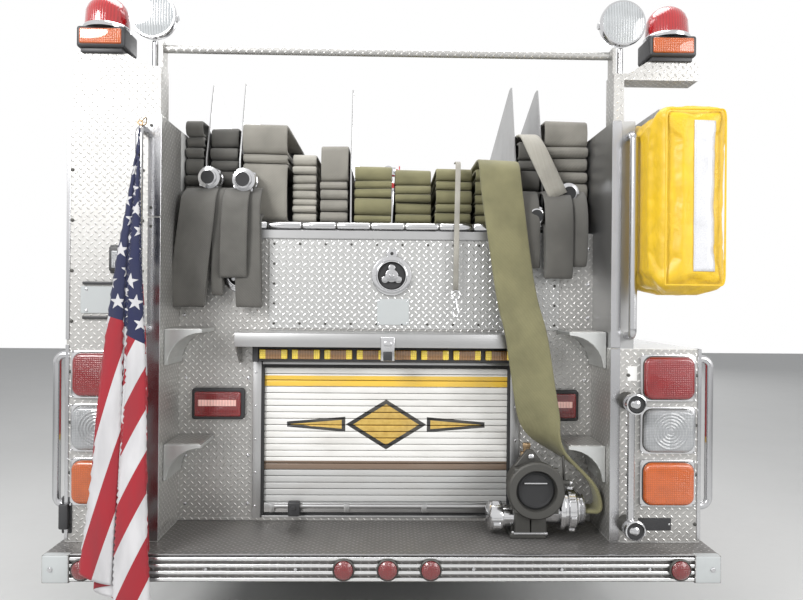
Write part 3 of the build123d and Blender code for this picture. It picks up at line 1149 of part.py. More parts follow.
def step_brackets():
    """Four curved step gussets on the inner sides of the beaver tails, and two round ports."""
    pieces = []
    reach, drop = STEP_REACH, STEP_DROP
    for top in STEP_TOPS:
        plane = Plane(origin=(0, WALL_Y - 5, 0), x_dir=(1, 0, 0), z_dir=(0, -1, 0))
        inner = BODY_INNER
        outline = Line((inner, top), (inner - reach, top))
        outline += Line((inner - reach, top), (inner - reach, top - 12))
        outline += RadiusArc((inner - reach, top - 12), (inner - 14, top - drop), drop - 5)
        outline += Line((inner - 14, top - drop), (inner, top - drop))
        outline += Line((inner, top - drop), (inner, top))
        gusset = extrude(plane * make_face(outline), 195)
        pieces += both_sides(gusset)
    for x, z, radius, backing in ROUND_PORTS:
        seat = WALL_Y - backing
        ring = [(0, 0), (0, radius), (16, radius), (22, radius - 12), (22, radius - 30), (12, radius - 36),
                (12, 0)]
        port = turned(ring, (x, seat, z), (0, -1, 0))
        for turn in (90, 210, 330):
            y_latch = seat - 22
            dx, dz = 26 * cos(radians(turn)), 26 * sin(radians(turn))
            port += rod((x + dx, seat - 10, z + dz), (x + dx, y_latch, z + dz), 16)
        port += rod((x, seat - 10, z), (x, seat - 22, z), 24)
        pieces.append(port)
    return pieces


def corner_posts():
    """Posts, brackets and the cross rod that carry the lamps high on the rear corners."""
    y0, y1 = FACE_Y, FACE_Y + 90.0
    low_left = block(-BODY_HALF + 20, -BODY_INNER, y0, y1, HIGH_TOP, LAMP_SHELF)
    inner, outer = SHELF_INNER, BODY_HALF - 20
    post_right = rear_prism([(BODY_INNER, HIGH_TOP), (BODY_INNER + BED_WALL, HIGH_TOP),
                             (inner + BED_WALL, LAMP_SHELF), (inner, LAMP_SHELF)], y0, y1)
    shelves = rear_prism([(inner, LAMP_SHELF), (outer, LAMP_SHELF), (outer, LAMP_SHELF + 70),
                          (BEACON_X - BEACON_HALF, LAMP_SHELF + 70), (inner + 60, LAMP_SHELF + 25),
                          (inner, LAMP_SHELF + 25)], y0, y1)
    cross = rod((-inner, y0 + 45, LAMP_SHELF + 105), (inner, y0 + 45, LAMP_SHELF + 105), 15)
    lugs = block(inner, inner + 12, y0 + 15, y0 + 75, LAMP_SHELF + 20, LAMP_SHELF + 128)
    return low_left + post_right + both_sides(shelves) + cross + both_sides(lugs)


def corner_beacons():
    """A red dome on an amber box at each rear corner."""
    x, y, z = BEACON_X, FACE_Y + 45.0, LAMP_SHELF + 70.0
    half = BEACON_HALF
    foot = block(x - half + 12, x + half - 12, y - 58, y + 58, z, z + 16)
    box = block(x - half, x + half, y - 70, y + 70, z + 16, z + 96)
    dome = turned([(0, 0), (0, 84), (70, 78), (108, 62), (128, 34), (132, 0)], (x, y, z + 96), (0, 0, 1))
    return both_sides(foot + box + dome)


def floodlights():
    """A round floodlight on a stalk beside each beacon."""
    x = SHELF_INNER + 38.0
    y = FACE_Y + 45.0
    z = LAMP_SHELF + 222.0
    stalk = rod((x, y, LAMP_SHELF + 25), (x, y, z - 40), 12)
    bowl = turned([(-40, 0), (-40, 88), (0, 88), (30, 70), (60, 34), (64, 0)], (x, y, z), (0, 1, 0))
    return both_sides(stalk + bowl)


def hydrant_valve():
    """The gate valve on the tailboard: pillar, ring body, capped port, spoked cap and outlet."""
    x, y, z = VALVE_X, VALVE_Y, VALVE_Z
    base = block(x - 95, x + 45, y - 60, y + 70, TAIL_TOP, TAIL_TOP + 18)
    pillar = block(x - 78, x + 20, y - 40, y + 50, TAIL_TOP + 10, z - 50)
    body = turned([(-70, 0), (-70, 92), (40, 92), (60, 78), (60, 0)], (x, y, z), (0, -1, 0))
    ring = turned([(60, 0), (60, 110), (96, 110), (96, 76), (74, 70), (74, 0)], (x, y, z), (0, -1, 0))
    for turn in range(0, 360, 60):
        lug = Pos(x, y - 78, z) * Rot(0, turn, 0) * Pos(0, 0, 112) * Box(34, 30, 26)
        ring += lug
    stem = rod((x - 20, y, z), (x - 20, y, z + 165), 17) + rod((x - 20, y, z + 85), (x - 20, y, z + 110), 40)
    port = turned([(0, 0), (0, 44), (60, 44), (60, 56), (110, 56), (120, 44), (120, 0)],
                  (x - 60, y, z - 120), (-1, 0, 0))
    outlet = turned([(0, 0), (0, 60), (98, 60), (98, 84), (118, 84), (118, 74), (130, 74), (130, 84), (165, 84),
                     (165, 62), (200, 62), (200, 0)], (x, y, z - 90), (1, 0, 0))
    return base + pillar + body + ring + stem + port + outlet


# Ladders


def ladder(x, low, width, inset):
    """A ladder on edge: two beams and its rungs."""
    rear = REAR_Y + inset
    front = rear + LADDER_LENGTH
    piece = block(x - BEAM_HEIGHT / 2, x + BEAM_HEIGHT / 2, rear, front, low, low + BEAM_THICK)
    piece += block(x - BEAM_HEIGHT / 2, x + BEAM_HEIGHT / 2, rear, front, low + width,
                   low + width + BEAM_THICK)
    count = int(LADDER_LENGTH // RUNG_PITCH)
    for index in range(count):
        y = rear + 170 + index * RUNG_PITCH
        piece += rod((x, y, low + BEAM_THICK / 2), (x, y, low + width + BEAM_THICK / 2), RUNG_R)
    return piece


def ladder_rack():
    """Brackets on the bed's right wall with a shelf and a top clamp for both ladders."""
    rack = []
    for y in (FACE_Y + 450.0, FACE_Y + 1900.0, FACE_Y + 3350.0):
        wall_x = BODY_INNER + BED_WALL
        low = min(row[1] for row in LADDERS)
        arm = block(wall_x, BODY_HALF - 10, y - 30, y + 30, low - 40, low)
        arm += block(BODY_HALF - 25, BODY_HALF - 10, y - 30, y + 30, low, low + 100)
        for x, beam, width, _ in LADDERS:
            if beam > low:
                arm += block(x - BEAM_HEIGHT / 2, x + BEAM_HEIGHT / 2, y - 30, y + 30, low, beam)
            top = beam + width + BEAM_THICK
            arm += block(x - BEAM_HEIGHT / 2, x + BEAM_HEIGHT / 2, y - 30, y + 30, top, top + 12)
        first, second = LADDERS
        top_first = first[1] + first[2] + BEAM_THICK
        top_second = second[1] + second[2] + BEAM_THICK
        arm += block(wall_x, first[0] + BEAM_HEIGHT / 2, y - 30, y + 30, top_first, top_first + 12)
        arm += block(first[0] + BEAM_HEIGHT / 2 - 5, first[0] + BEAM_HEIGHT / 2 + 10, y - 30, y + 30, top_second,
                     top_first + 12)
        arm += block(first[0] + BEAM_HEIGHT / 2, second[0] + BEAM_HEIGHT / 2, y - 30, y + 30, top_second,
                     top_second + 12)
        rack.append(arm)
    return rack


def ladders():
    """Both ladders and their rack."""
    return [ladder(*row) for row in LADDERS] + ladder_rack()


def ladder_cover():
    """The padded sock over the ladders' rear ends, open at the front."""
    x0, x1 = COVER_X
    z0 = COVER_LOW
    z1 = LADDERS[0][1] + LADDERS[0][2] + BEAM_THICK + SOFT_GAP + COVER_SKIN
    sock = block(x0, x1, REAR_Y, REAR_Y + COVER_DEPTH, z0, z1)
    sock = fillet(sock.edges().filter_by(Axis.Y), 45)
    sock = fillet(sock.faces().sort_by(Axis.Y)[0].edges(), 30)
    room = block(x0 + COVER_SKIN, x1 - COVER_SKIN, REAR_Y + 40, REAR_Y + COVER_DEPTH + 1, z0 + COVER_SKIN,
                 z1 - COVER_SKIN)
    room = fillet(room.edges().filter_by(Axis.Y), 8)
    return sock - room


# Hose


def hose_stack(x0, x1, top, layers, overhang):
    """Flat hose folded back and forth: layers with a rounded fold at the rear of each."""
    low = BED_FLOOR + BED_PLATE + 42.5
    rear = WALL_Y + 50.0 - overhang
    front = rear + STACK_LENGTH
    pitch = (top - low) / layers
    plane = Plane(origin=(x0, 0, 0), x_dir=(0, 1, 0), z_dir=(1, 0, 0))
    edge = Line((front, low), (rear, low))
    for index in range(layers):
        z = low + index * pitch
        edge += ThreePointArc((rear, z), (rear - pitch / 2.4, z + pitch / 2), (rear, z + pitch))
    edge += Line((rear, top), (front, top)) + Line((front, top), (front, low))
    bulk = extrude(plane * make_face(edge), x1 - x0)
    foot = block(x0, x1, WALL_Y + 60, front, BED_FLOOR + BED_PLATE + 0.3, low + 1)
    return bulk + foot


def hose_stacks():
    """All the folded hose in the bed."""
    return [hose_stack(*row) for row in STACKS]


def supply_hose():
    """The flat supply hose from the bed, over the edge and down behind the valve."""
    runs = []
    for x, ahead, z, width, tilt in SUPPLY:
        lean = radians(tilt)
        plane = Plane(origin=(x, WALL_Y + ahead, z), x_dir=(1, 0, 0), z_dir=(0, sin(lean), cos(lean)))
        runs.append(plane * Rectangle(width, HOSE_THICK))
    return loft(runs, ruled=True)


def flag():
    """The flag, hung by one corner from the top of the left hand rail."""
    runs = [Pos(x, TAIL_Y - back, z) * Rectangle(width, depth) for x, back, z, width, depth in FLAG]
    return loft(runs, ruled=True)


def save(name, pieces):
    """Write one node; its solids keep apart."""
    if not isinstance(pieces, (list, tuple)):
        pieces = [pieces]
    solids = [solid for piece in pieces for solid in piece.solids()]
    shape = solids[0] if len(solids) == 1 else Compound(children=solids)
    export_step(shape, f"parts/{name}.step")


def main():
    """Build every node and write it."""
    os.makedirs("parts", exist_ok=True)
    save("chassis_frame", chassis_frame())
    save("leaf_springs", leaf_springs())
    save("front_axle", front_axle())
    save("rear_axle", rear_axle())
    save("tie_rod", tie_rod())
    save("drivetrain", drivetrain())
    save("under_tanks", under_tanks())
    save("water_tank", water_tank())
    for name, side in (("left", -1), ("right", 1)):
        save(f"knuckle_{name}", on_side(knuckle(), side))
        save(f"tyre_front_{name}", on_side(tyre(FRONT_TRACK, FRONT_AXLE_Y), side))
        save(f"wheel_front_{name}", on_side(front_wheel(), side))
        rear_pair = [tyre(DUAL_INNER, REAR_AXLE_Y), tyre(DUAL_OUTER, REAR_AXLE_Y)]
        save(f"tyres_rear_{name}", [on_side(ring, side) for ring in rear_pair])
        save(f"wheels_rear_{name}", on_side(rear_wheels(), side))
        for door_name, y0, y1 in DOORS:
            save(f"door_{door_name}_{name}", on_side(door_panel(y0, y1), side))
            save(f"pane_{door_name}_{name}", on_side(door_pane(y0, y1), side))
    walls, roof = cab_panels()
    save("cab_shell", walls)
    save("cab_roof", roof)
    save("wheel_housings", wheel_housings())
    save("cab_glass", cab_glass())
    save("cab_interior", cab_interior())
    save("seats", seats())
    save("steering_wheel", steering_wheel())
    save("front_bumper", front_bumper())
    save("front_grille", front_grille())
    save("headlamps", headlamps())
    save("mirrors", mirrors())
    save("roof_lightbar", roof_lightbar())
    save("pump_house", pump_house())
    save("pump_fittings", pump_fittings())
    save("monitor_base", monitor_base())
    save("monitor_barrel", monitor_barrel())
    save("side_lockers", [mirrored(side_lockers(HIGH_TOP, True)), side_lockers(LOW_TOP, False)])
    save("side_shutters", side_shutters())
    save("hose_bed", hose_bed())
    save("rear_wall", rear_wall())
    save("rear_shutter", rear_shutter())
    save("tailboard", tailboard())
    save("rear_lamps", tail_lamps() + warning_lamps())
    save("grab_rails", grab_rails())
    save("step_brackets", step_brackets())
    save("corner_posts", corner_posts())
    save("corner_lamps", corner_beacons() + floodlights())
    save("hydrant_valve", hydrant_valve())
    save("ladders", ladders())
    save("ladder_cover", ladder_cover())
    save("hose_stacks", hose_stacks())
    save("supply_hose", supply_hose())
    save("flag", flag())


if __name__ == "__main__":
    main()
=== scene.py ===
import logging
import math
from collections.abc import Iterable, Sequence
from dataclasses import dataclass
from enum import Enum
from typing import Any, ClassVar, Union

import bmesh
import bpy
from mathutils import Matrix, Vector, noise


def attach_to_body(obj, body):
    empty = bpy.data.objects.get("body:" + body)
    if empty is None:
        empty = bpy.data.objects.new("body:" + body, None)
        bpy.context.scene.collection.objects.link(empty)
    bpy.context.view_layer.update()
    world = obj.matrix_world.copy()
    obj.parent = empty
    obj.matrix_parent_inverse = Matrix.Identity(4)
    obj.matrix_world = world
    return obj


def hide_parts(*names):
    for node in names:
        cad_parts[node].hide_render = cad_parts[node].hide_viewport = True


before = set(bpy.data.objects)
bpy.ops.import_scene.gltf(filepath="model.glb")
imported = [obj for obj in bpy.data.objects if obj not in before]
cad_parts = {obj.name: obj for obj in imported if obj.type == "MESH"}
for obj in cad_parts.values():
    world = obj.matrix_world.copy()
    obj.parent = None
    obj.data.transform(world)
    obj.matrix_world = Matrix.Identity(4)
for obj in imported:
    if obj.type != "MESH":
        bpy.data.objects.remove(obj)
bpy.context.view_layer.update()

LOG = logging.getLogger("fire_engine")
Colour = tuple[float, float, float]
Point = tuple[float, float, float]
Number = Union["Value", float]

# Stations of the vehicle in metres, as in the part's source
TAIL_Y = -4.42
FACE_Y = -4.28
WALL_Y = -4.03
BODY_FRONT_Y = 0.56
PUMP_BACK_Y = 0.57
REAR_AXLE_Y = -2.2
FRONT_AXLE_Y = 2.55
CAB_FRONT_Y = 4.0
AXLE_Z = 0.52
LOCKER_LOW = 0.56
BODY_HALF = 1.205
BODY_INNER = 0.86
CAB_HALF = 1.2
TAIL_TOP = 0.63
RUB_MIDDLE = TAIL_TOP - 0.049
LOW_TOP = 1.371
HIGH_TOP = 2.242
REARWARD = (0.0, -1.0, 0.0)


class Body(str, Enum):
    """The bodies that pieces ride on."""

    VEHICLE = "vehicle"
    FRONT_LEFT = "front_wheel_left"
    FRONT_RIGHT = "front_wheel_right"
    REAR_LEFT = "rear_wheels_left"
    REAR_RIGHT = "rear_wheels_right"
    FRONT_DOOR_LEFT = "front_door_left"
    FRONT_DOOR_RIGHT = "front_door_right"
    CREW_DOOR_LEFT = "crew_door_left"
    CREW_DOOR_RIGHT = "crew_door_right"


class Side(Enum):
    """The vehicle's two sides, as the sign of x."""

    LEFT = -1
    RIGHT = 1

    @property
    def word(self) -> str:
        """The side's name in lower case."""
        return self.name.lower()


# Shading


class Value:
    """A shader number that Python sums act on."""

    def __init__(self, nodes: "Nodes", socket: bpy.types.NodeSocket) -> None:
        self.nodes = nodes
        self.socket = socket

    def apply(self, operation: str, *others: Number) -> "Value":
        """The result of a Math node on this number and up to two others."""
        return self.nodes.value("ShaderNodeMath", {"operation": operation}, dict(enumerate((self, *others))))

    def reflected(self, operation: str, other: float) -> "Value":
        """The result of a Math node with this number second."""
        return self.nodes.value("ShaderNodeMath", {"operation": operation}, {0: other, 1: self})

    def __add__(self, other: Number) -> "Value":
        return self.apply("ADD", other)

    def __sub__(self, other: Number) -> "Value":
        return self.apply("SUBTRACT", other)

    def __mul__(self, other: Number) -> "Value":
        return self.apply("MULTIPLY", other)

    def __truediv__(self, other: Number) -> "Value":
        return self.apply("DIVIDE", other)

    def __pow__(self, other: Number) -> "Value":
        return self.apply("POWER", other)

    def __rsub__(self, other: float) -> "Value":
        return self.reflected("SUBTRACT", other)

    __radd__ = __add__
    __rmul__ = __mul__

    def __abs__(self) -> "Value":
        return self.apply("ABSOLUTE")

    def above(self, other: Number) -> "Value":
        """1 where this number is the greater, else 0."""
        return self.apply("GREATER_THAN", other)

    def below(self, other: Number) -> "Value":
        """1 where this number is the lesser, else 0."""
        return self.apply("LESS_THAN", other)

    def most(self, other: Number) -> "Value":
        """The greater of the two."""
        return self.apply("MAXIMUM", other)

    def least(self, other: Number) -> "Value":
        """The lesser of the two."""
        return self.apply("MINIMUM", other)

    def between(self, low: float, high: float) -> "Value":
        """1 between the two limits, else 0."""
        return self.above(low) * self.below(high)

    def clipped(self) -> "Value":
        """This number kept within 0 and 1."""
        return self.most(0.0).least(1.0)

    def cell(self) -> "Value":
        """The whole number below."""
        return self.apply("FLOOR")

    def fraction(self) -> "Value":
        """What is left above the whole number below."""
        return self.apply("FRACT")

    def wave(self) -> "Value":
        """The sine."""
        return self.apply("SINE")

    def choose(self, other: Number, mask: "Value") -> "Value":
        """The other number where the mask is 1, else this one."""
        return self * (1 - mask) + mask * other

    def spread(self, low: float, high: float, to_low: float, to_high: float) -> "Value":
        """This number's range carried over to another, clamped."""
        inputs = {"Value": self, "From Min": low, "From Max": high, "To Min": to_low, "To Max": to_high}
        return self.nodes.value("ShaderNodeMapRange", {"clamp": True}, inputs)


def polar(across: Value, up: Value) -> tuple[Value, Value]:
    """The distance from a middle, and the angle round it."""
    return (across * across + up * up).apply("SQRT"), across.apply("ARCTAN2", up)


class Nodes:
    """A tree of nodes, emptied first."""

    def __init__(self, tree: bpy.types.NodeTree) -> None:
        self.tree = tree
        tree.nodes.clear()

    def feed(self, socket: bpy.types.NodeSocket, value: Any) -> None:
        """Link or set one socket.

        Args:
            socket: The input to fill.
            value: A Value, an output socket, a colour or a number.
        """
        if isinstance(value, Value):
            value = value.socket
        if isinstance(value, bpy.types.NodeSocket):
            self.tree.links.new(value, socket)
        elif isinstance(value, tuple) and socket.type == "RGBA" and len(value) == 3:
            socket.default_value = (*value, 1.0)
        else:
            socket.default_value = value

    def node(self, kind: str, settings: dict[str, Any] | None = None,
             inputs: dict[Any, Any] | None = None) -> Any:
        """Add a node.

        Args:
            kind: The node's type.
            settings: Its own properties, set first.
            inputs: Values or links by input name or number.

        Returns:
            The node.
        """
        made = self.tree.nodes.new(kind)
        for key, value in (settings or {}).items():
            setattr(made, key, value)
        for key, value in (inputs or {}).items():
            self.feed(made.inputs[key], value)
        return made

    def value(self, kind: str, settings: dict[str, Any] | None = None,
              inputs: dict[Any, Any] | None = None) -> Value:
        """Add a node, and give its first output as a number."""
        return Value(self, self.node(kind, settings, inputs).outputs[0])


class Shader(Nodes):
    """One material's nodes round a Principled surface."""

    def __init__(self, name: str) -> None:
        self.material = bpy.data.materials.new(name)
        self.material.use_nodes = True
        super().__init__(self.material.node_tree)
        self.surface = self.node("ShaderNodeBsdfPrincipled")
        self.node("ShaderNodeOutputMaterial", inputs={0: self.surface.outputs[0]})

    def place(self) -> bpy.types.NodeSocket:
        """The object's own coordinates."""
        return self.node("ShaderNodeTexCoord").outputs["Object"]

    def split(self, vector: bpy.types.NodeSocket | None = None) -> tuple[Value, Value, Value]:
        """A vector's three numbers, the object's own place by default."""
        made = self.node("ShaderNodeSeparateXYZ", inputs={0: vector or self.place()})
        return tuple(Value(self, output) for output in made.outputs)

    def facing(self) -> tuple[Value, Value, Value]:
        """The three parts of the surface's direction."""
        return self.split(self.node("ShaderNodeTexCoord").outputs["Normal"])

    def cloth(self) -> tuple[Value, Value]:
        """The two coordinates of the piece's UV map."""
        u, v, _ = self.split(self.node("ShaderNodeTexCoord").outputs["UV"])
        return u, v

    def noise(self, scale: float, detail: float = 3.0, stretch: Point = (1, 1, 1),
              rough: float = 0.5) -> Value:
        """Soft noise from 0 to 1 on the object's own coordinates."""
        place = self.node("ShaderNodeMapping", inputs={"Vector": self.place(), "Scale": stretch})
        inputs = {"Vector": place.outputs[0], "Scale": scale, "Detail": detail, "Roughness": rough}
        return self.value("ShaderNodeTexNoise", {"normalize": True}, inputs)

    def spots(self, scale: float) -> Value:
        """Distance to the nearest of many scattered points."""
        return self.value("ShaderNodeTexVoronoi", inputs={"Vector": self.place(), "Scale": scale})

    def mix(self, mask: Number, first: Any, second: Any) -> bpy.types.NodeSocket:
        """A colour that turns from the first to the second as the mask goes from 0 to 1."""
        return self.node("ShaderNodeMix", {"data_type": "RGBA"}, {0: mask, 6: first, 7: second}).outputs[2]

    def bump(self, height: Value, depth: float, strength: float = 1.0) -> None:
        """Roughen the surface's direction by a height that varies over it."""
        inputs = {"Height": height, "Distance": depth, "Strength": strength}
        self.feed(self.surface.inputs["Normal"], self.node("ShaderNodeBump", inputs=inputs).outputs[0])

    def set(self, **sockets: Any) -> None:
        """Fill the surface's sockets; an underscore stands for a space."""
        for name, value in sockets.items():
            self.feed(self.surface.inputs[name.replace("_", " ")], value)


class Finish:
    """A surface's look. Equal finishes share one material."""

    made: ClassVar[dict["Finish", bpy.types.Material]] = {}
    name: str

    def paint(self, shader: Shader) -> None:
        """Fill the shader with this finish."""
        raise NotImplementedError

    def material(self) -> bpy.types.Material:
        """The material, made once."""
        if self not in Finish.made:
            shader = Shader(self.name)
            self.paint(shader)
            Finish.made[self] = shader.material
        return Finish.made[self]


def shade(colour: Colour, by: float) -> Colour:
    """A colour made darker or lighter by a factor."""
    return tuple(min(1.0, part * by) for part in colour)


@dataclass(frozen=True)
class Enamel(Finish):
    """Glossy or satin paint with road film, faint mottling and a little orange peel."""

    name: str
    colour: Colour
    roughness: float = 0.28
    coat: float = 0.4
    grime: float = 0.35

    def paint(self, shader: Shader) -> None:
        """Paint with dust that thickens towards the ground."""
        _, _, z = shader.split()
        film = shader.noise(2.2, 5.0) * 0.6 + shader.noise(19.0, 4.0) * 0.4
        low = z.spread(0.4, 1.6, 1.0, 0.25)
        dirt = (film.spread(0.45, 0.75, 0.0, 1.0) * low * self.grime).clipped()
        dull = tuple(part * 0.55 + 0.10 for part in self.colour)
        shader.set(Base_Color=shader.mix(dirt, self.colour, dull), Roughness=dirt * 0.4 + self.roughness,
                   Coat_Weight=self.coat, Coat_Roughness=0.08)
        shader.bump(shader.noise(260.0, 2.0), 0.0002, 0.12)


@dataclass(frozen=True)
class Livery(Finish):
    """White body paint with a red band edged in gold, set by height."""

    name: str = "livery_white_red"
    white: Colour = (0.80, 0.80, 0.78)
    red: Colour = (0.52, 0.015, 0.018)
    gold: Colour = (0.80, 0.48, 0.08)
    low: float = 1.02
    high: float = 1.32
    edge: float = 0.022

    def paint(self, shader: Shader) -> None:
        """Bands by height on outward faces, under a clear coat."""
        x, y, z = shader.split()
        across, along, _ = shader.facing()
        outward = (x * across + y * along).spread(0.2, 0.6, 0.0, 1.0)
        band = z.between(self.low, self.high)
        edging = z.between(self.low - self.edge, self.high + self.edge) * (1 - band) * outward
        band = band * outward
        film = shader.noise(3.0, 5.0).spread(0.45, 0.8, 0.0, 0.3) * z.spread(0.4, 1.5, 1.0, 0.2)
        base = shader.mix(band, self.white, self.red)
        base = shader.mix(edging, base, self.gold)
        shader.set(Base_Color=shader.mix(film, base, (0.36, 0.34, 0.31)), Roughness=film * 0.5 + 0.22,
                   Coat_Weight=0.6, Coat_Roughness=0.05)
        shader.bump(shader.noise(240.0, 2.0), 0.0002, 0.1)


@dataclass(frozen=True)
class Metal(Finish):
    """Bare or plated metal with brushing, smears and specks."""

    name: str
    colour: Colour = (0.62, 0.62, 0.63)
    roughness: float = 0.3
    brushed: Point = (1, 1, 1)
    dirt: float = 0.35
    grain: float = 0.25

    def paint(self, shader: Shader) -> None:
        """Metal whose gloss wanders, with grime in soft random smears."""
        streaks = shader.noise(160.0, 2.0, self.brushed)
        smear = shader.noise(5.0, 6.0)
        dirt = smear.spread(0.5, 0.85, 0.0, self.dirt)
        base = shader.mix(dirt, self.colour, shade(self.colour, 0.45))
        shader.set(Base_Color=base, Metallic=1 - dirt * 0.6,
                   Roughness=(smear * 0.14 + streaks * 0.08 + (self.roughness - 0.08)).clipped())
        shader.bump(streaks, 0.0003, self.grain)


@dataclass(frozen=True)
class TreadPlate(Finish):
    """Polished aluminium with rows of small raised lozenges that alternate in direction."""

    name: str
    pitch: float = 0.021
    colour: Colour = (0.60, 0.59, 0.57)
    worn: float = 0.5

    def lozenges(self, u: Value, v: Value) -> Value:
        """Height of the raised pattern, from 0 to 1.

        Args:
            u: Distance along the plate.
            v: Distance across it.

        Returns:
            The height.
        """
        turn = math.sqrt(0.5) / self.pitch
        a = (u + v) * turn
        b = (u - v) * turn
        odd = ((a.cell() + b.cell()) * 0.5).fraction() * 2
        along = (a.fraction() - 0.5).choose(b.fraction() - 0.5, odd)
        across = (b.fraction() - 0.5).choose(a.fraction() - 0.5, odd)
        return (1.15 - (along / 0.43) ** 2 - abs(across) / 0.15).clipped()

    def paint(self, shader: Shader) -> None:
        """Bright lozenges on a duller ground, with smears and dull patches."""
        x, y, z = shader.split()
        nx, _, nz = shader.facing()
        sideways = abs(nx).above(0.7)
        level = abs(nz).above(0.7)
        raised = self.lozenges(x.choose(y, sideways), z.choose(y, level))
        cloud = shader.noise(4.5, 6.0)
        dull = cloud.spread(0.35, 0.8, 0.0, self.worn)
        ground = shader.mix(dull, shade(self.colour, 0.78), shade(self.colour, 0.42))
        base = shader.mix(raised * 0.8, ground, shade(self.colour, 1.25))
        shader.set(Base_Color=base, Metallic=0.9 - dull * 0.5,
                   Roughness=(0.42 + dull * 0.3 - raised * 0.16).clipped())
        shader.bump(raised, 0.0016, 0.9)


@dataclass(frozen=True)
class Moulding(Finish):
    """Rubber or moulded plastic with a fine leathery grain and dust."""

    name: str
    colour: Colour = (0.022, 0.022, 0.024)
    roughness: float = 0.6
    grain: float = 420.0
    dust: float = 0.3

    def paint(self, shader: Shader) -> None:
        """Dark base, dust in soft patches and a fine grain."""
        patches = shader.noise(7.0, 5.0).spread(0.45, 0.8, 0.0, self.dust)
        pale = tuple(part * 0.6 + 0.06 for part in self.colour)
        shader.set(Base_Color=shader.mix(patches, self.colour, pale),
                   Roughness=patches * 0.3 + self.roughness)
        shader.bump(shader.spots(self.grain), 0.0003, 0.35)


@dataclass(frozen=True)
class TreadRubber(Finish):
    """Tyre rubber: angled notches across the tread, fine rings on the sidewall, and dust."""

    name: str
    axle_y: float
    colour: Colour = (0.026, 0.026, 0.027)
    shoulder: float = 0.5035
    notches: int = 108

    def paint(self, shader: Shader) -> None:
        """Notches by the angle round the axle, painted near black as shade in them, and rings by the distance
        from it.
        """
        x, y, z = shader.split()
        reach, angle = polar(y - self.axle_y, z - AXLE_Z)
        tread = reach.above(self.shoulder)
        notch = ((angle / math.tau * self.notches + x * 9.0).fraction() - 0.5).above(0.30) * tread
        rings = (reach * 1250.0).wave() * (1 - tread) * 0.25
        dust = shader.noise(9.0, 5.0).spread(0.45, 0.8, 0.0, 0.6)
        base = shader.mix(dust, self.colour, (0.11, 0.105, 0.095))
        # Painted shade: the notches are painted near black, darker than the dusty rubber round them.
        shader.set(Base_Color=shader.mix(notch, base, (0.008, 0.008, 0.008)), Roughness=0.74 + dust * 0.2)
        shader.bump(rings - notch * 3, 0.0012, 0.8)


@dataclass(frozen=True)
class Lens(Finish):
    """A coloured lamp lens with moulded prisms over a reflector."""

    name: str
    colour: Colour
    pitch: float = 0.007
    glow: float = 0.0
    ribs: bool = False

    def paint(self, shader: Shader) -> None:
        """A grid of pillow prisms, or upright ribs, with painted shade between them, where the colour turns
        darker.
        """
        x, _, z = shader.split()
        across = (x / self.pitch).fraction() - 0.5
        up = (z / self.pitch).fraction() - 0.5
        pillow = 1 - across * across * 4 if self.ribs else (1 - across * across * 4) * (1 - up * up * 4)
        cloud = shader.noise(24.0, 3.0)
        # deep is painted shade: the lens colour darkened in the grooves between the prisms, lightest on their
        # crowns.
        deep = shader.mix(cloud, shade(self.colour, 0.35), shade(self.colour, 0.75))
        base = shader.mix(pillow * 0.6 + cloud * 0.2, deep, self.colour)
        shader.set(Base_Color=base, Roughness=cloud * 0.12 + 0.1, Coat_Weight=0.9, Coat_Roughness=0.04,
                   Specular_IOR_Level=0.6, Emission_Color=base, Emission_Strength=self.glow)
        shader.bump(pillow, 0.0012, 0.7)


@dataclass(frozen=True)
class Pane(Finish):
    """Tinted window glass with a faint film of dust."""

    name: str
    colour: Colour = (0.62, 0.70, 0.68)
    clear: float = 0.92

    def paint(self, shader: Shader) -> None:
        """Clear glass, a little rougher where dust lies."""
        film = shader.noise(6.0, 5.0).spread(0.5, 0.8, 0.0, 1.0)
        shader.set(Base_Color=shader.mix(film * 0.15, self.colour, (0.45, 0.45, 0.42)),
                   Roughness=film * 0.08 + 0.02, Transmission_Weight=self.clear, IOR=1.45)


@dataclass(frozen=True)
class HoseJacket(Finish):
    """Woven hose jacket: ribs of weft across the hose, warp along it, and soiling."""

    name: str
    colour: Colour
    pitch: float = 0.0042
    soil: float = 0.5

    def paint(self, shader: Shader) -> None:
        """A twill on the piece's UV map, whose u runs along the hose, both in metres."""
        u, v = shader.cloth()
        weft = (u / self.pitch * math.tau).wave() * 0.5 + 0.5
        twill = ((v + u * 0.6) / (self.pitch * 1.5) * math.tau).wave() * 0.5 + 0.5
        weave = weft * 0.6 + twill * 0.4
        patches = shader.noise(9.0, 6.0)
        soil = patches.spread(0.4, 0.75, 0.0, self.soil)
        thread = shader.mix(weave, shade(self.colour, 0.62), shade(self.colour, 1.2))
        shader.set(Base_Color=shader.mix(soil, thread, shade(self.colour, 0.4)),
                   Roughness=0.86 + weave * 0.08, Sheen_Weight=0.15, Sheen_Roughness=0.5)
        shader.bump(weave + patches * 0.5, 0.0011, 0.8)


@dataclass(frozen=True)
class CoatedCloth(Finish):
    """Vinyl-coated cloth with a fine weave showing through, creases and scuffs."""

    name: str
    colour: Colour
    scuff: Colour = (0.16, 0.11, 0.05)
    roughness: float = 0.42

    def paint(self, shader: Shader) -> None:
        """Colour that browns in the creases, and a soft wrinkled bump."""
        x, y, z = shader.split()
        weave = ((x + y) * 900.0).wave() * ((z - y) * 900.0).wave()
        creases = shader.noise(7.0, 6.0, (1.6, 1.6, 1.0), 0.62)
        lines = 1 - abs(creases - 0.5) * 9
        stain = shader.noise(3.2, 6.0).spread(0.5, 0.82, 0.0, 0.3)
        base = shader.mix(stain, self.colour, shade(self.colour, 0.7))
        shader.set(Base_Color=shader.mix(lines.clipped() * 0.12, base, self.scuff),
                   Roughness=self.roughness + creases * 0.2, Coat_Weight=0.25, Coat_Roughness=0.3)
        shader.bump(creases * 6 + weave * 0.08 - lines.clipped() * 0.5, 0.003, 0.6)


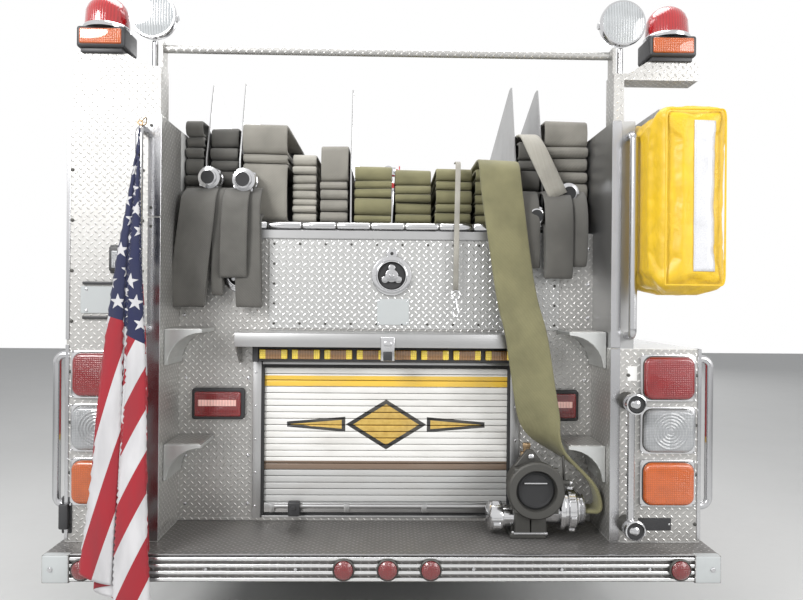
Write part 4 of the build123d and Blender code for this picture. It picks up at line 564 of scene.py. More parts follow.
@dataclass(frozen=True)
class Upholstery(Finish):
    """Woven seat cloth."""

    name: str
    colour: Colour = (0.05, 0.055, 0.065)

    def paint(self, shader: Shader) -> None:
        """A tight basket weave with a faint sheen and worn places."""
        x, y, z = shader.split()
        weave = (x * 700.0).wave() * ((y + z) * 700.0).wave() * 0.5 + 0.5
        worn = shader.noise(8.0, 5.0).spread(0.5, 0.8, 0.0, 0.5)
        base = shader.mix(weave, shade(self.colour, 0.7), shade(self.colour, 1.5))
        shader.set(Base_Color=shader.mix(worn, base, shade(self.colour, 2.4)), Roughness=0.85,
                   Sheen_Weight=0.25, Sheen_Roughness=0.4)
        shader.bump(weave, 0.0006, 0.7)


@dataclass(frozen=True)
class FlagCloth(Finish):
    """Thirteen stripes and a field of fifty stars, woven into printed cloth."""

    name: str = "flag_cloth"
    red: Colour = (0.33, 0.012, 0.022)
    white: Colour = (0.60, 0.59, 0.60)
    blue: Colour = (0.008, 0.012, 0.055)
    proportion: float = 1.6 / 0.97
    canton_width: float = 0.44
    star: float = 0.031

    def stars(self, u: Value, v: Value) -> Value:
        """1 on a star. A star is a pentagon folded about its five tips.

        Args:
            u: Along the fly, 1 at its end.
            v: Down the hoist, 1 at the bottom.

        Returns:
            The mask.
        """
        column = u / self.canton_width * 12 - 0.5
        row = v * 13 / 7 * 10 - 0.5
        even = (((column.cell() + row.cell()) * 0.5).fraction() * 2).below(0.5)
        inside = column.between(0.0, 11.0) * row.between(0.0, 9.0)
        dx = (column.fraction() - 0.5) * (self.canton_width / 12 * self.proportion)
        dy = (0.5 - row.fraction()) * (7 / 130)
        reach, angle = polar(dx, dy)
        tip = abs((angle / (math.tau / 5) + 0.5).fraction() - 0.5) * (math.tau / 5)
        edge = reach * tip.apply("COSINE") + reach * tip.wave() * 3.078
        return even * inside * edge.below(self.star)

    def paint(self, shader: Shader) -> None:
        """Stripes by height, the blue field at the hoist, a plain weave, and painted shade in the creases."""
        u, v = shader.cloth()
        stripe = ((v * 13).cell() * 0.5).fraction() * 2
        field_mask = u.below(self.canton_width) * v.below(7 / 13)
        base = shader.mix(stripe, self.red, self.white)
        base = shader.mix(field_mask, base, self.blue)
        base = shader.mix(self.stars(u, v), base, self.white)
        weave = (u * 5200.0).wave() * (v * 3500.0).wave()
        creases = shader.noise(9.0, 4.0, (2.0, 2.0, 0.5))
        # Painted shade: the colour darkens towards black where the crease noise is low, in the hollows that
        # the bump dents.
        shader.set(Base_Color=shader.mix(creases.spread(0.3, 0.7, 0.25, 0.0), base, (0.03, 0.03, 0.035)),
                   Roughness=0.7 + creases * 0.15, Sheen_Weight=0.2, Sheen_Roughness=0.4)
        shader.bump(weave * 0.2 + creases * 3, 0.0012, 0.5)


@dataclass(frozen=True)
class RearCurtain(Finish):
    """The rear shutter's colours by height: silver slats, a brown stripe, white slats, a gold stripe."""

    name: str = "rear_curtain"
    white: Colour = (0.80, 0.79, 0.76)
    gold: Colour = (0.80, 0.52, 0.07)
    brown: Colour = (0.20, 0.14, 0.10)
    silver: Colour = (0.50, 0.50, 0.49)
    gold_band: tuple[float, float] = (1.188, 1.232)
    brown_band: tuple[float, float] = (0.842, 0.878)
    ornament_z: float = 1.03

    def ornament(self, x: Value, z: Value) -> tuple[Value, Value]:
        """A lozenge between two tapered bars: masks of its gold and of its dark outline."""
        up = abs(z - self.ornament_z)
        out = abs(x)
        lozenge = out * 0.62 + up
        taper = up - (0.40 - out) * 0.085
        bars = out.between(0.185, 0.40) * taper.below(0.0)
        rim = out.between(0.170, 0.412) * taper.below(0.012)
        gold = lozenge.below(0.085).most(bars)
        dark = lozenge.below(0.104).most(rim)
        return gold, dark

    def paint(self, shader: Shader) -> None:
        """Bands across the slats, the plain ornament, and dust in soft streaks along the slats."""
        x, _, z = shader.split()
        base = shader.mix(z.below(self.brown_band[0]), self.white, self.silver)
        base = shader.mix(z.between(*self.brown_band), base, self.brown)
        base = shader.mix(z.between(*self.gold_band), base, self.gold)
        gold, dark = self.ornament(x, z)
        leaf = shader.mix(shader.noise(60.0, 4.0), (0.48, 0.28, 0.05), (0.86, 0.62, 0.18))
        base = shader.mix(dark, base, (0.02, 0.02, 0.02))
        base = shader.mix(gold, base, leaf)
        film = shader.noise(12.0, 5.0, (0.4, 1.0, 1.0)).spread(0.45, 0.8, 0.0, 0.3)
        shader.set(Base_Color=shader.mix(film, base, (0.30, 0.27, 0.23)), Roughness=film * 0.4 + 0.3,
                   Metallic=gold * 0.6, Coat_Weight=0.2, Coat_Roughness=0.15)
        shader.bump(shader.noise(90.0, 2.0, (0.15, 1, 1)), 0.0003, 0.3)


@dataclass(frozen=True)
class DialFace(Finish):
    """A gauge's face: white, with dark ticks round three quarters of it."""

    name: str
    centre: tuple[float, float]
    radius: float
    marks: int = 24

    def paint(self, shader: Shader) -> None:
        """Ticks from the angle round the dial's middle, and a dark rim."""
        _, y, z = shader.split()
        up = z - self.centre[1]
        distance, angle = polar(y - self.centre[0], up)
        reach = distance / self.radius
        tick = abs((angle / math.tau * self.marks).fraction() - 0.5).above(0.40) * reach.between(0.66, 0.86)
        low = (up / self.radius).below(-0.62)
        ink = (tick * (1 - low)).most(reach.above(0.94)).most(reach.below(0.09))
        shader.set(Base_Color=shader.mix(ink, (0.78, 0.78, 0.74), (0.02, 0.02, 0.02)),
                   Roughness=reach * 0.1 + 0.25, Coat_Weight=0.8, Coat_Roughness=0.03)


@dataclass(frozen=True)
class Reflective(Finish):
    """Reflective tape with a fine honeycomb under a clear face."""

    name: str
    colour: Colour = (0.72, 0.72, 0.74)

    def paint(self, shader: Shader) -> None:
        """Cells a few millimetres wide, with smears over them."""
        cells = shader.spots(260.0)
        smear = shader.noise(14.0, 5.0).spread(0.5, 0.8, 0.0, 0.45)
        base = shader.mix(cells * 0.8, self.colour, shade(self.colour, 0.72))
        shader.set(Base_Color=shader.mix(smear, base, shade(self.colour, 0.5)), Roughness=smear * 0.3 + 0.3,
                   Coat_Weight=0.5, Coat_Roughness=0.1)
        shader.bump(cells, 0.0003, 0.4)


CHROME = Metal("chrome", (0.60, 0.60, 0.61), 0.13, dirt=0.3, grain=0.06)
BRUSHED_UP = Metal("aluminium_brushed_upright", (0.44, 0.44, 0.44), 0.36, brushed=(1, 1, 0.04))
BRUSHED_LONG = Metal("aluminium_brushed_along", (0.42, 0.42, 0.42), 0.36, brushed=(1, 0.04, 1))
BRUSHED_ACROSS = Metal("aluminium_brushed_across", (0.46, 0.46, 0.46), 0.34, brushed=(0.04, 1, 1))
SATIN = Metal("satin_aluminium", (0.50, 0.50, 0.50), 0.45, brushed=(1, 0.05, 1), dirt=0.5)
STAINLESS = Metal("stainless_polished", (0.52, 0.52, 0.53), 0.2, brushed=(1, 1, 0.05), dirt=0.25, grain=0.12)
CAST = Metal("cast_dark", (0.10, 0.098, 0.092), 0.62, dirt=0.5, grain=0.7)
BRONZE = Metal("cast_bronze", (0.28, 0.20, 0.12), 0.42, dirt=0.5, grain=0.4)
STEEL_BLACK = Enamel("chassis_black", (0.022, 0.022, 0.023), 0.45, 0.1, 0.8)
PLATE_FINE = TreadPlate("tread_plate")
PLATE_BRIGHT = TreadPlate("tread_plate_bright", colour=(0.60, 0.60, 0.59), worn=0.2)
PLATE_DARK = TreadPlate("tread_plate_worn", colour=(0.30, 0.29, 0.28), worn=0.8)
RUBBER = Moulding("black_rubber", (0.018, 0.018, 0.019), 0.7)
PLASTIC = Moulding("black_plastic", (0.030, 0.030, 0.032), 0.45, 600.0, 0.3)
GREY_PLASTIC = Moulding("grey_plastic", (0.20, 0.20, 0.21), 0.5, 500.0, 0.2)
RED_LENS = Lens("red_lens", (0.30, 0.006, 0.009))
AMBER_LENS = Lens("amber_lens", (0.66, 0.12, 0.006))
CLEAR_LENS = Lens("clear_lens", (0.42, 0.43, 0.44), 0.006)
WHITE_ENAMEL = Enamel("white_enamel", (0.80, 0.80, 0.78))
RED_ENAMEL = Enamel("red_enamel", (0.50, 0.014, 0.018))
GREY_ENAMEL = Enamel("light_grey_enamel", (0.46, 0.48, 0.48), 0.4, 0.1, 0.5)
LIVERY = Livery()
GLASS = Pane("window_glass")
HOSE_GREY = HoseJacket("hose_jacket_grey", (0.29, 0.275, 0.24))
HOSE_OLIVE = HoseJacket("hose_jacket_olive", (0.235, 0.22, 0.115))
HOSE_DARK = HoseJacket("hose_jacket_dark", (0.135, 0.13, 0.118))
HOSE_PALE = HoseJacket("hose_jacket_pale", (0.42, 0.40, 0.35))
VINYL = CoatedCloth("yellow_vinyl", (0.78, 0.50, 0.012))


# Making meshes


def settle(made: bpy.types.Object) -> None:
    """Turn a piece's modifiers into plain mesh."""
    graph = bpy.context.evaluated_depsgraph_get()
    data = bpy.data.meshes.new_from_object(made.evaluated_get(graph))
    made.modifiers.clear()
    old = made.data
    made.data = data
    bpy.data.meshes.remove(old)
    data.name = made.name


def puff(made: bpy.types.Object, cap: float, frames: int = 20) -> None:
    """Let cloth pressure puff a padded mesh out.

    Args:
        made: The object.
        cap: The furthest that a point may move.
        frames: How long the pressure acts.
    """
    rest = [vert.co.copy() for vert in made.data.vertices]
    cloth = made.modifiers.new("cloth", "CLOTH").settings
    cloth.use_pressure, cloth.uniform_pressure_force = True, 4.0
    cloth.effector_weights.gravity = 0.0
    cloth.quality = 4
    scene = bpy.context.scene
    for step in range(1, frames + 1):
        scene.frame_set(step)
    settle(made)
    for vert, start in zip(made.data.vertices, rest):
        move = vert.co - start
        if move.length > cap:
            vert.co = start + move.normalized() * cap
    scene.frame_set(1)


def line_mesh(points: Sequence[Sequence[float]], fine: int, smooth: bool = True,
              radius: float = 0.0) -> bpy.types.Mesh:
    """The mesh of a line, or of a round bar along it.

    Args:
        points: The line's control points.
        fine: Steps between two of them.
        smooth: A smooth spline rather than straight parts.
        radius: The bar's radius, none for a bare line.

    Returns:
        The mesh.
    """
    curve = bpy.data.curves.new("line", "CURVE")
    curve.dimensions, curve.resolution_u = "3D", fine
    curve.bevel_depth, curve.bevel_resolution = radius, 2
    curve.use_fill_caps = radius > 0
    spline = curve.splines.new("NURBS" if smooth else "POLY")
    spline.points.add(len(points) - 1)
    for point, place in zip(spline.points, points):
        point.co = (*place, 1.0)
    if smooth:
        spline.order_u = 3
        spline.use_endpoint_u = True
    holder = bpy.data.objects.new("line", curve)
    mesh = bpy.data.meshes.new_from_object(holder)
    bpy.data.objects.remove(holder)
    bpy.data.curves.remove(curve)
    return mesh


def smooth_line(points: Sequence[Sequence[float]], fine: int = 8) -> list[Vector]:
    """Points along a smooth spline through a route's control points."""
    mesh = line_mesh(points, fine)
    line = [vert.co.copy() for vert in mesh.vertices]
    bpy.data.meshes.remove(mesh)
    return line


def within_one(number: float) -> float:
    """A number kept within 0 and 1."""
    return max(0.0, min(1.0, number))


def box_corners(one: Sequence[float], other: Sequence[float]) -> tuple[tuple[float, ...], tuple[float, ...]]:
    """The lowest and the highest corner of the box between two opposite corners."""
    return tuple(map(min, one, other)), tuple(map(max, one, other))


def mesh_data(name: str, mesh: bmesh.types.BMesh, finishes: Iterable[Finish]) -> bpy.types.Mesh:
    """A mesh with its materials from a finished bmesh, which is freed."""
    data = bpy.data.meshes.new(name)
    mesh.to_mesh(data)
    mesh.free()
    for finish in finishes:
        data.materials.append(finish.material())
    return data


def thicken(made: bpy.types.Object, thickness: float = 0.0012) -> None:
    """Give a thin sheet its thickness, half to each side."""
    solidify = made.modifiers.new("thickness", "SOLIDIFY")
    solidify.thickness, solidify.offset = thickness, 0.0


def remesh(made: bpy.types.Object, size: float) -> None:
    """Turn a piece into an even mesh of small squares."""
    grid = made.modifiers.new("remesh", "REMESH")
    grid.mode, grid.voxel_size = "VOXEL", size
    settle(made)


def link(name: str, data: bpy.types.ID) -> bpy.types.Object:
    """A new object in the scene."""
    made = bpy.data.objects.new(name, data)
    bpy.context.scene.collection.objects.link(made)
    return made


def attach(made: bpy.types.Object, body: Body = Body.VEHICLE,
           replaces: Sequence[str] = ()) -> bpy.types.Object:
    """Let an object ride on its body and stand for CAD nodes."""
    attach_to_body(made, body.value)
    if replaces:
        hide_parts(*replaces)
    LOG.info("%s: %d faces on %s", made.name, len(made.data.polygons), body.value)
    return made


class Shape:
    """A mesh in the making, in metres in the vehicle's own frame."""

    def __init__(self) -> None:
        self.mesh = bmesh.new()
        self.dressed = self.mesh.faces.layers.int.new("dressed")
        self.settled = self.mesh.verts.layers.int.new("settled")
        self.finishes: list[Finish] = []

    def edges_of(self, verts: Iterable[bmesh.types.BMVert]) -> list[bmesh.types.BMEdge]:
        """Every edge that touches the given corners, in a fixed order."""
        return list(dict.fromkeys(edge for vert in verts for edge in vert.link_edges))

    def round_off(self, edges: Sequence[bmesh.types.BMEdge], size: float, steps: int = 2) -> None:
        """Bevel edges to a small radius."""
        bmesh.ops.bevel(self.mesh, geom=list(edges), offset=size, offset_type="OFFSET",
                        segments=steps, profile=0.5, affect="EDGES", clamp_overlap=True, material=-1)

    def block(self, one: Sequence[float], other: Sequence[float], bevel: float = 0.0,
              steps: int = 2) -> "Shape":
        """Add a box between two opposite corners, with its edges rounded."""
        low, high = map(Vector, box_corners(one, other))
        size = high - low
        matrix = Matrix.Translation((low + high) / 2) @ Matrix.Diagonal((*size, 1.0))
        made = bmesh.ops.create_cube(self.mesh, size=1.0, matrix=matrix)
        if bevel:
            self.round_off(self.edges_of(made["verts"]), bevel, steps)
        return self

    def twin_blocks(self, one: Sequence[float], other: Sequence[float], bevel: float,
                    steps: int = 2) -> "Shape":
        """Add the box that is given for the right, and its twin on the left."""
        for side in (-1, 1):
            self.block((side * one[0], *one[1:]), (side * other[0], *other[1:]), bevel, steps)
        return self

    def pillow(self, one: Sequence[float], other: Sequence[float], corner: float, crown: float,
               steps: int = 4) -> "Shape":
        """Add a lens or cap that faces the rear, round at its four corners and crowned at its rim.

        Args:
            one: One corner of its box.
            other: The opposite corner.
            corner: Radius of the four corners, seen from the rear.
            crown: Radius of the rim round the rear face.
            steps: Facets on each rounding.

        Returns:
            This shape.
        """
        low, high = box_corners(one, other)
        self.block(low, high)
        fresh = [vert for vert in self.mesh.verts
                 if not vert[self.settled] and self.inside(vert.co, low, high)]
        along = [edge for edge in self.edges_of(fresh) if abs(edge.verts[0].co.y - edge.verts[1].co.y) > 1e-6]
        self.round_off(along, corner, steps + 2)
        rear = [edge for edge in self.mesh.edges
                if all(abs(vert.co.y - low[1]) < 1e-6 and self.inside(vert.co, low, high)
                       for vert in edge.verts)]
        self.round_off(rear, crown, steps)
        return self

    @staticmethod
    def inside(place: Vector, low: Sequence[float], high: Sequence[float]) -> bool:
        """Whether a point lies in a box."""
        return all(low[axis] - 1e-5 <= place[axis] <= high[axis] + 1e-5 for axis in range(3))

    def rod(self, start: Sequence[float], end: Sequence[float], radius: float, tip: float | None = None,
            sides: int = 20, bevel: float = 0.0) -> "Shape":
        """Add a round bar or cone from one point to another.

        Args:
            start: Middle of the first end.
            end: Middle of the second end.
            radius: Radius at the first end.
            tip: Radius at the second end, the same by default.
            sides: How many sides it has.
            bevel: Radius of the rounding at both rims.

        Returns:
            This shape.
        """
        start, end = Vector(start), Vector(end)
        along = end - start
        turn = along.to_track_quat("Z", "Y").to_matrix().to_4x4()
        matrix = Matrix.Translation((start + end) / 2) @ turn
        made = bmesh.ops.create_cone(self.mesh, cap_ends=True, segments=sides, radius1=radius,
                                     radius2=radius if tip is None else tip,
                                     depth=along.length, matrix=matrix)
        if bevel:
            rims = [edge for edge in self.edges_of(made["verts"])
                    if any(len(face.verts) == sides for face in edge.link_faces)]
            self.round_off(rims, bevel, 2)
        return self

    def turned(self, profile: Sequence[tuple[float, float]], centre: Sequence[float], axis: Sequence[float],
               steps: int = 40) -> "Shape":
        """Add a turned piece.

        Args:
            profile: (distance along the axis, radius) points from end to end.
            centre: The profile's zero point.
            axis: The axis it is turned about.
            steps: Facets round it.

        Returns:
            This shape.
        """
        centre, along = Vector(centre), Vector(axis).normalized()
        across = along.orthogonal().normalized()
        verts = [self.mesh.verts.new(centre + along * distance + across * radius)
                 for distance, radius in profile]
        edges = [self.mesh.edges.new(pair) for pair in zip(verts, verts[1:])]
        bmesh.ops.spin(self.mesh, geom=verts + edges, cent=centre, axis=along, angle=math.tau, steps=steps,
                       use_merge=True)
        near = [vert for vert in self.mesh.verts
                if not vert[self.settled] and (vert.co - centre).cross(along).length < 1e-6]
        bmesh.ops.remove_doubles(self.mesh, verts=near, dist=1e-5)
        return self

    def panel(self, outline: Sequence[Sequence[float]], depth: Sequence[float],
              bevel: float = 0.0) -> "Shape":
        """Add a flat outline drawn out by a vector."""
        verts = [self.mesh.verts.new(point) for point in outline]
        face = self.mesh.faces.new(verts)
        made = bmesh.ops.extrude_face_region(self.mesh, geom=[face], use_keep_orig=True)
        moved = [item for item in made["geom"] if isinstance(item, bmesh.types.BMVert)]
        bmesh.ops.translate(self.mesh, vec=Vector(depth), verts=moved)
        if bevel:
            self.round_off(self.edges_of(verts + moved), bevel, 1)
        return self

    def pipe(self, points: Sequence[Sequence[float]], radius: float, smooth: bool = True) -> "Shape":
        """Add a round bar along a smooth or straight line of points."""
        mesh = line_mesh(points, 6, smooth, radius)
        self.mesh.from_mesh(mesh)
        bpy.data.meshes.remove(mesh)
        return self

    def heads(self, places: Iterable[Sequence[float]], radius: float = 0.006, height: float = 0.003,
              sides: int = 8, out: Sequence[float] = REARWARD) -> "Shape":
        """Add a low domed screw or rivet head at each place."""
        out = Vector(out).normalized()
        for place in places:
            start = Vector(place)
            self.rod(start - out * 0.001, start + out * height * 0.6, radius, sides=sides)
            self.rod(start + out * height * 0.6, start + out * height, radius, radius * 0.55, sides)
        return self

    def dress(self, finish: Finish) -> "Shape":
        """Give one finish to what was added since the last call."""
        if finish not in self.finishes:
            self.finishes.append(finish)
        index = self.finishes.index(finish)
        for face in self.mesh.faces:
            if not face[self.dressed]:
                face.material_index = index
                face[self.dressed] = 1
        for vert in self.mesh.verts:
            vert[self.settled] = 1
        return self

    def piece(self, name: str, body: Body = Body.VEHICLE, replaces: Sequence[str] = (), crisp: float = 35.0,
              outward: bool = True) -> bpy.types.Object:
        """Make the finished object.

        Args:
            name: The piece's name.
            body: The body it rides on.
            replaces: CAD nodes that it stands for.
            crisp: Angle in degrees above which an edge stays sharp.
            outward: Turn every face outwards first.

        Returns:
            The object, riding on its body.
        """
        if outward:
            bmesh.ops.recalc_face_normals(self.mesh, faces=self.mesh.faces)
        data = mesh_data(name, self.mesh, self.finishes)
        data.shade_smooth()
        data.set_sharp_from_angle(angle=math.radians(crisp))
        return attach(link(name, data), body, replaces)


def ring_points(centre: Sequence[float], radius: float, count: int,
                first: float = 0.0) -> list[tuple[float, float]]:
    """Points evenly round a circle in a plane.

    Args:
        centre: The circle's middle.
        radius: Its radius.
        count: How many points.
        first: Angle of the first, in degrees.

    Returns:
        The points.
    """
    turns = [math.radians(first + 360.0 * step / count) for step in range(count)]
    return [(centre[0] + radius * math.cos(turn), centre[1] + radius * math.sin(turn)) for turn in turns]


def grid_points(low: tuple[float, float], high: tuple[float, float], across: int,
                up: int) -> list[tuple[float, float]]:
    """Points in even rows and columns over a rectangle."""
    columns = [low[0] + (high[0] - low[0]) * step / max(1, across - 1) for step in range(across)]
    rows = [low[1] + (high[1] - low[1]) * step / max(1, up - 1) for step in range(up)]
    return [(x, z) for x in columns for z in rows]


def dress_node(node: str, finish: Finish) -> None:
    """Give a CAD node a finish through its object's material slot."""
    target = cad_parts[node]
    if not target.material_slots:
        target.data.materials.append(None)
    for held in target.material_slots:
        held.link = "OBJECT"
        held.material = finish.material()


@dataclass
class CarriedNodes:
    """The CAD nodes that show as they are, grouped by finish."""

    finishes: tuple[tuple[Finish, str], ...] = (
        (STEEL_BLACK, "chassis_frame leaf_springs front_axle rear_axle knuckle_left knuckle_right tie_rod"),
        (STAINLESS, "wheel_housings grab_rails"),
        (CAST, "drivetrain"),
        (SATIN, "under_tanks side_shutters"),
        (GREY_PLASTIC, "water_tank cab_interior"),
        (PLASTIC, "steering_wheel"),
        (LIVERY, "cab_shell cab_roof side_lockers"),
        (LIVERY, "door_front_left door_front_right door_crew_left door_crew_right"),
        (GLASS, "cab_glass pane_front_left pane_front_right pane_crew_left pane_crew_right"),
        (CHROME, "front_bumper front_grille headlamps mirrors pump_fittings monitor_barrel"),
        (BRUSHED_UP, "pump_house"),
        (BRUSHED_LONG, "hose_bed ladders"),
        (RED_ENAMEL, "monitor_base"),
        (PLATE_FINE, "rear_wall corner_posts"),
        (PLATE_DARK, "tailboard"),
        (WHITE_ENAMEL, "wheel_front_left wheel_front_right wheels_rear_left wheels_rear_right"),
    )

    def build(self) -> None:
        """Dress every one of them."""
        for finish, nodes in self.finishes:
            for node in nodes.split():
                dress_node(node, finish)
            LOG.info("%s: %s", finish.name, nodes)


# Rear of the body


@dataclass
class BeaverTails:
    """Tread-plate skins, polished strips and small fittings on the two side lockers' rear ends."""

    skin: float = 0.002
    strip: float = 0.045
    screw_pitch: float = 0.19

    def skins(self) -> None:
        """Plates over the rear and inner faces, with their screws."""
        shape = Shape()
        back = FACE_Y - self.skin
        for side, top in ((-1, HIGH_TOP), (1, LOW_TOP)):
            low, high = TAIL_TOP + 0.003, top - 0.002
            shape.block((side * (BODY_INNER + 0.001), back, low),
                        (side * (BODY_HALF - 0.001), FACE_Y + 0.0005, high), 0.0008, 1)
            shape.block((side * BODY_INNER, back, low),
                        (side * (BODY_INNER - self.skin), WALL_Y - 0.001, high), 0.0008, 1)
        shape.dress(PLATE_FINE)
        for side, top in ((-1, HIGH_TOP), (1, LOW_TOP)):
            rows = int((top - TAIL_TOP - 0.12) / self.screw_pitch) + 1
            for x in (BODY_INNER + self.strip + 0.02, BODY_HALF - 0.018):
                places = [(side * x, back, TAIL_TOP + 0.07 + self.screw_pitch * row) for row in range(rows)]
                shape.heads(places, 0.007, 0.004)
        shape.dress(CAST).piece("tail_plates")

    def strips(self) -> None:
        """Bright edge strips beside the rear wall, with a joint half way on the left."""
        shape = Shape()
        back = FACE_Y - self.skin - 0.003
        inner, outer = BODY_INNER - 0.004, BODY_INNER + self.strip
        shape.block((-outer, back, TAIL_TOP + 0.004), (-inner, FACE_Y - 0.001, 1.852), 0.001, 1)
        shape.block((-outer, back, 1.858), (-inner, FACE_Y - 0.001, HIGH_TOP), 0.001, 1)
        shape.block((inner, back, TAIL_TOP + 0.004), (outer - 0.012, FACE_Y - 0.001, LOW_TOP), 0.001, 1)
        shape.block((inner, FACE_Y - 0.004, LOW_TOP + 0.004),
                    (outer - 0.012, FACE_Y - 0.0005, HIGH_TOP), 0.001, 1)
        for side, low, top in ((-1, TAIL_TOP + 0.01, LOW_TOP), (-1, LOW_TOP + 0.02, HIGH_TOP - 0.01),
                               (1, TAIL_TOP + 0.01, LOW_TOP)):
            shape.block((side * (BODY_HALF - 0.012), back, low),
                        (side * (BODY_HALF + 0.002), FACE_Y + 0.03, top), 0.001, 1)
        shape.dress(STAINLESS)
        shape.heads([(0.012 - outer, back, z) for z in (0.70, 1.82, 1.89, 2.2)])
        shape.dress(CAST).piece("tail_edge_strips")

    def plate_lamp(self) -> None:
        """The number-plate lamp over a blank plate, and the two slotted brackets of the plate."""
        shape = Shape()
        face = FACE_Y - self.skin
        x0, x1, z0, z1 = -1.036, -0.968, 1.647, 1.742
        shape.block((x0, face - 0.038, z0), (x1, face, z1), 0.008, 3)
        shape.block((x0 - 0.006, face - 0.008, z0 - 0.006), (x1 + 0.006, face, z1 + 0.006), 0.003)
        shape.dress(PLASTIC)
        shape.block((x0 + 0.012, face - 0.044, z0 + 0.012), (x1 - 0.012, face - 0.036, z1 - 0.018), 0.006, 3)
        shape.dress(CLEAR_LENS)
        shape.block((-1.152, face - 0.004, 1.490), (-0.972, face - 0.001, 1.592), 0.0015, 1)
        shape.dress(GREY_ENAMEL)
        for z in (1.604, 1.474):
            shape.block((-1.144, face - 0.010, z - 0.006), (-0.982, face, z + 0.006), 0.003)
        shape.dress(PLASTIC)
        shape.heads([(x, face - 0.004, z) for z in (1.58, 1.5) for x in (-1.13, -0.99)], 0.005)
        shape.dress(CHROME).piece("number_plate_lamp")

    def right_fittings(self) -> None:
        """On the right: a small blank plate below the lamps and a round-cornered pale sticker."""
        shape = Shape()
        face = FACE_Y - self.skin
        shape.block((0.968, face - 0.003, 0.676), (1.094, face, 0.724), 0.0015, 1)
        shape.dress(PLASTIC)
        shape.block((0.922, face - 0.0012, 1.248), (0.958, face, 1.304), 0.0005, 1)
        shape.dress(WHITE_ENAMEL)
        shape.heads([(0.976, face - 0.003, 0.7), (1.086, face - 0.003, 0.7)], 0.004, 0.002)
        shape.dress(CHROME).piece("right_tail_fittings")

    def hand_latch(self) -> None:
        """A black drop handle low on the left edge."""
        shape = Shape()
        x = -BODY_HALF - 0.001
        shape.block((x - 0.012, FACE_Y - 0.004, 0.66), (x + 0.03, FACE_Y + 0.03, 0.80), 0.006)
        shape.block((x - 0.016, FACE_Y - 0.022, 0.68), (x + 0.02, FACE_Y - 0.002, 0.775), 0.006)
        shape.dress(PLASTIC).piece("left_edge_handle")

    def rail_ends(self) -> None:
        """The two round hubs of the short rail beside the right lamps."""
        shape = Shape()
        x, y = 0.928, FACE_Y - 0.052
        for z in (1.17, 0.70):
            shape.rod((0.918, FACE_Y, z + 0.004), (0.918, y + 0.006, z + 0.004), 0.034, 0.030, 28, 0.003)
            shape.dress(CAST)
            profile = [(0.0, 0.0), (0.0, 0.038), (0.022, 0.040), (0.034, 0.038), (0.036, 0.033),
                       (0.030, 0.030)]
            shape.turned(profile, (x, y, z), REARWARD, 36)
            shape.dress(CHROME)
            shape.turned([(0.026, 0.031), (0.031, 0.029), (0.030, 0.014)], (x, y, z), REARWARD, 32)
            shape.dress(RUBBER)
            shape.turned([(0.026, 0.016), (0.034, 0.015), (0.038, 0.008), (0.039, 0.0)],
                         (x, y, z), REARWARD, 24)
            shape.dress(STAINLESS)
        shape.piece("rail_hubs")

    def build(self) -> None:
        """Make all of it."""
        self.rail_ends()
        self.skins()
        self.strips()
        self.plate_lamp()
        self.right_fittings()
        self.hand_latch()


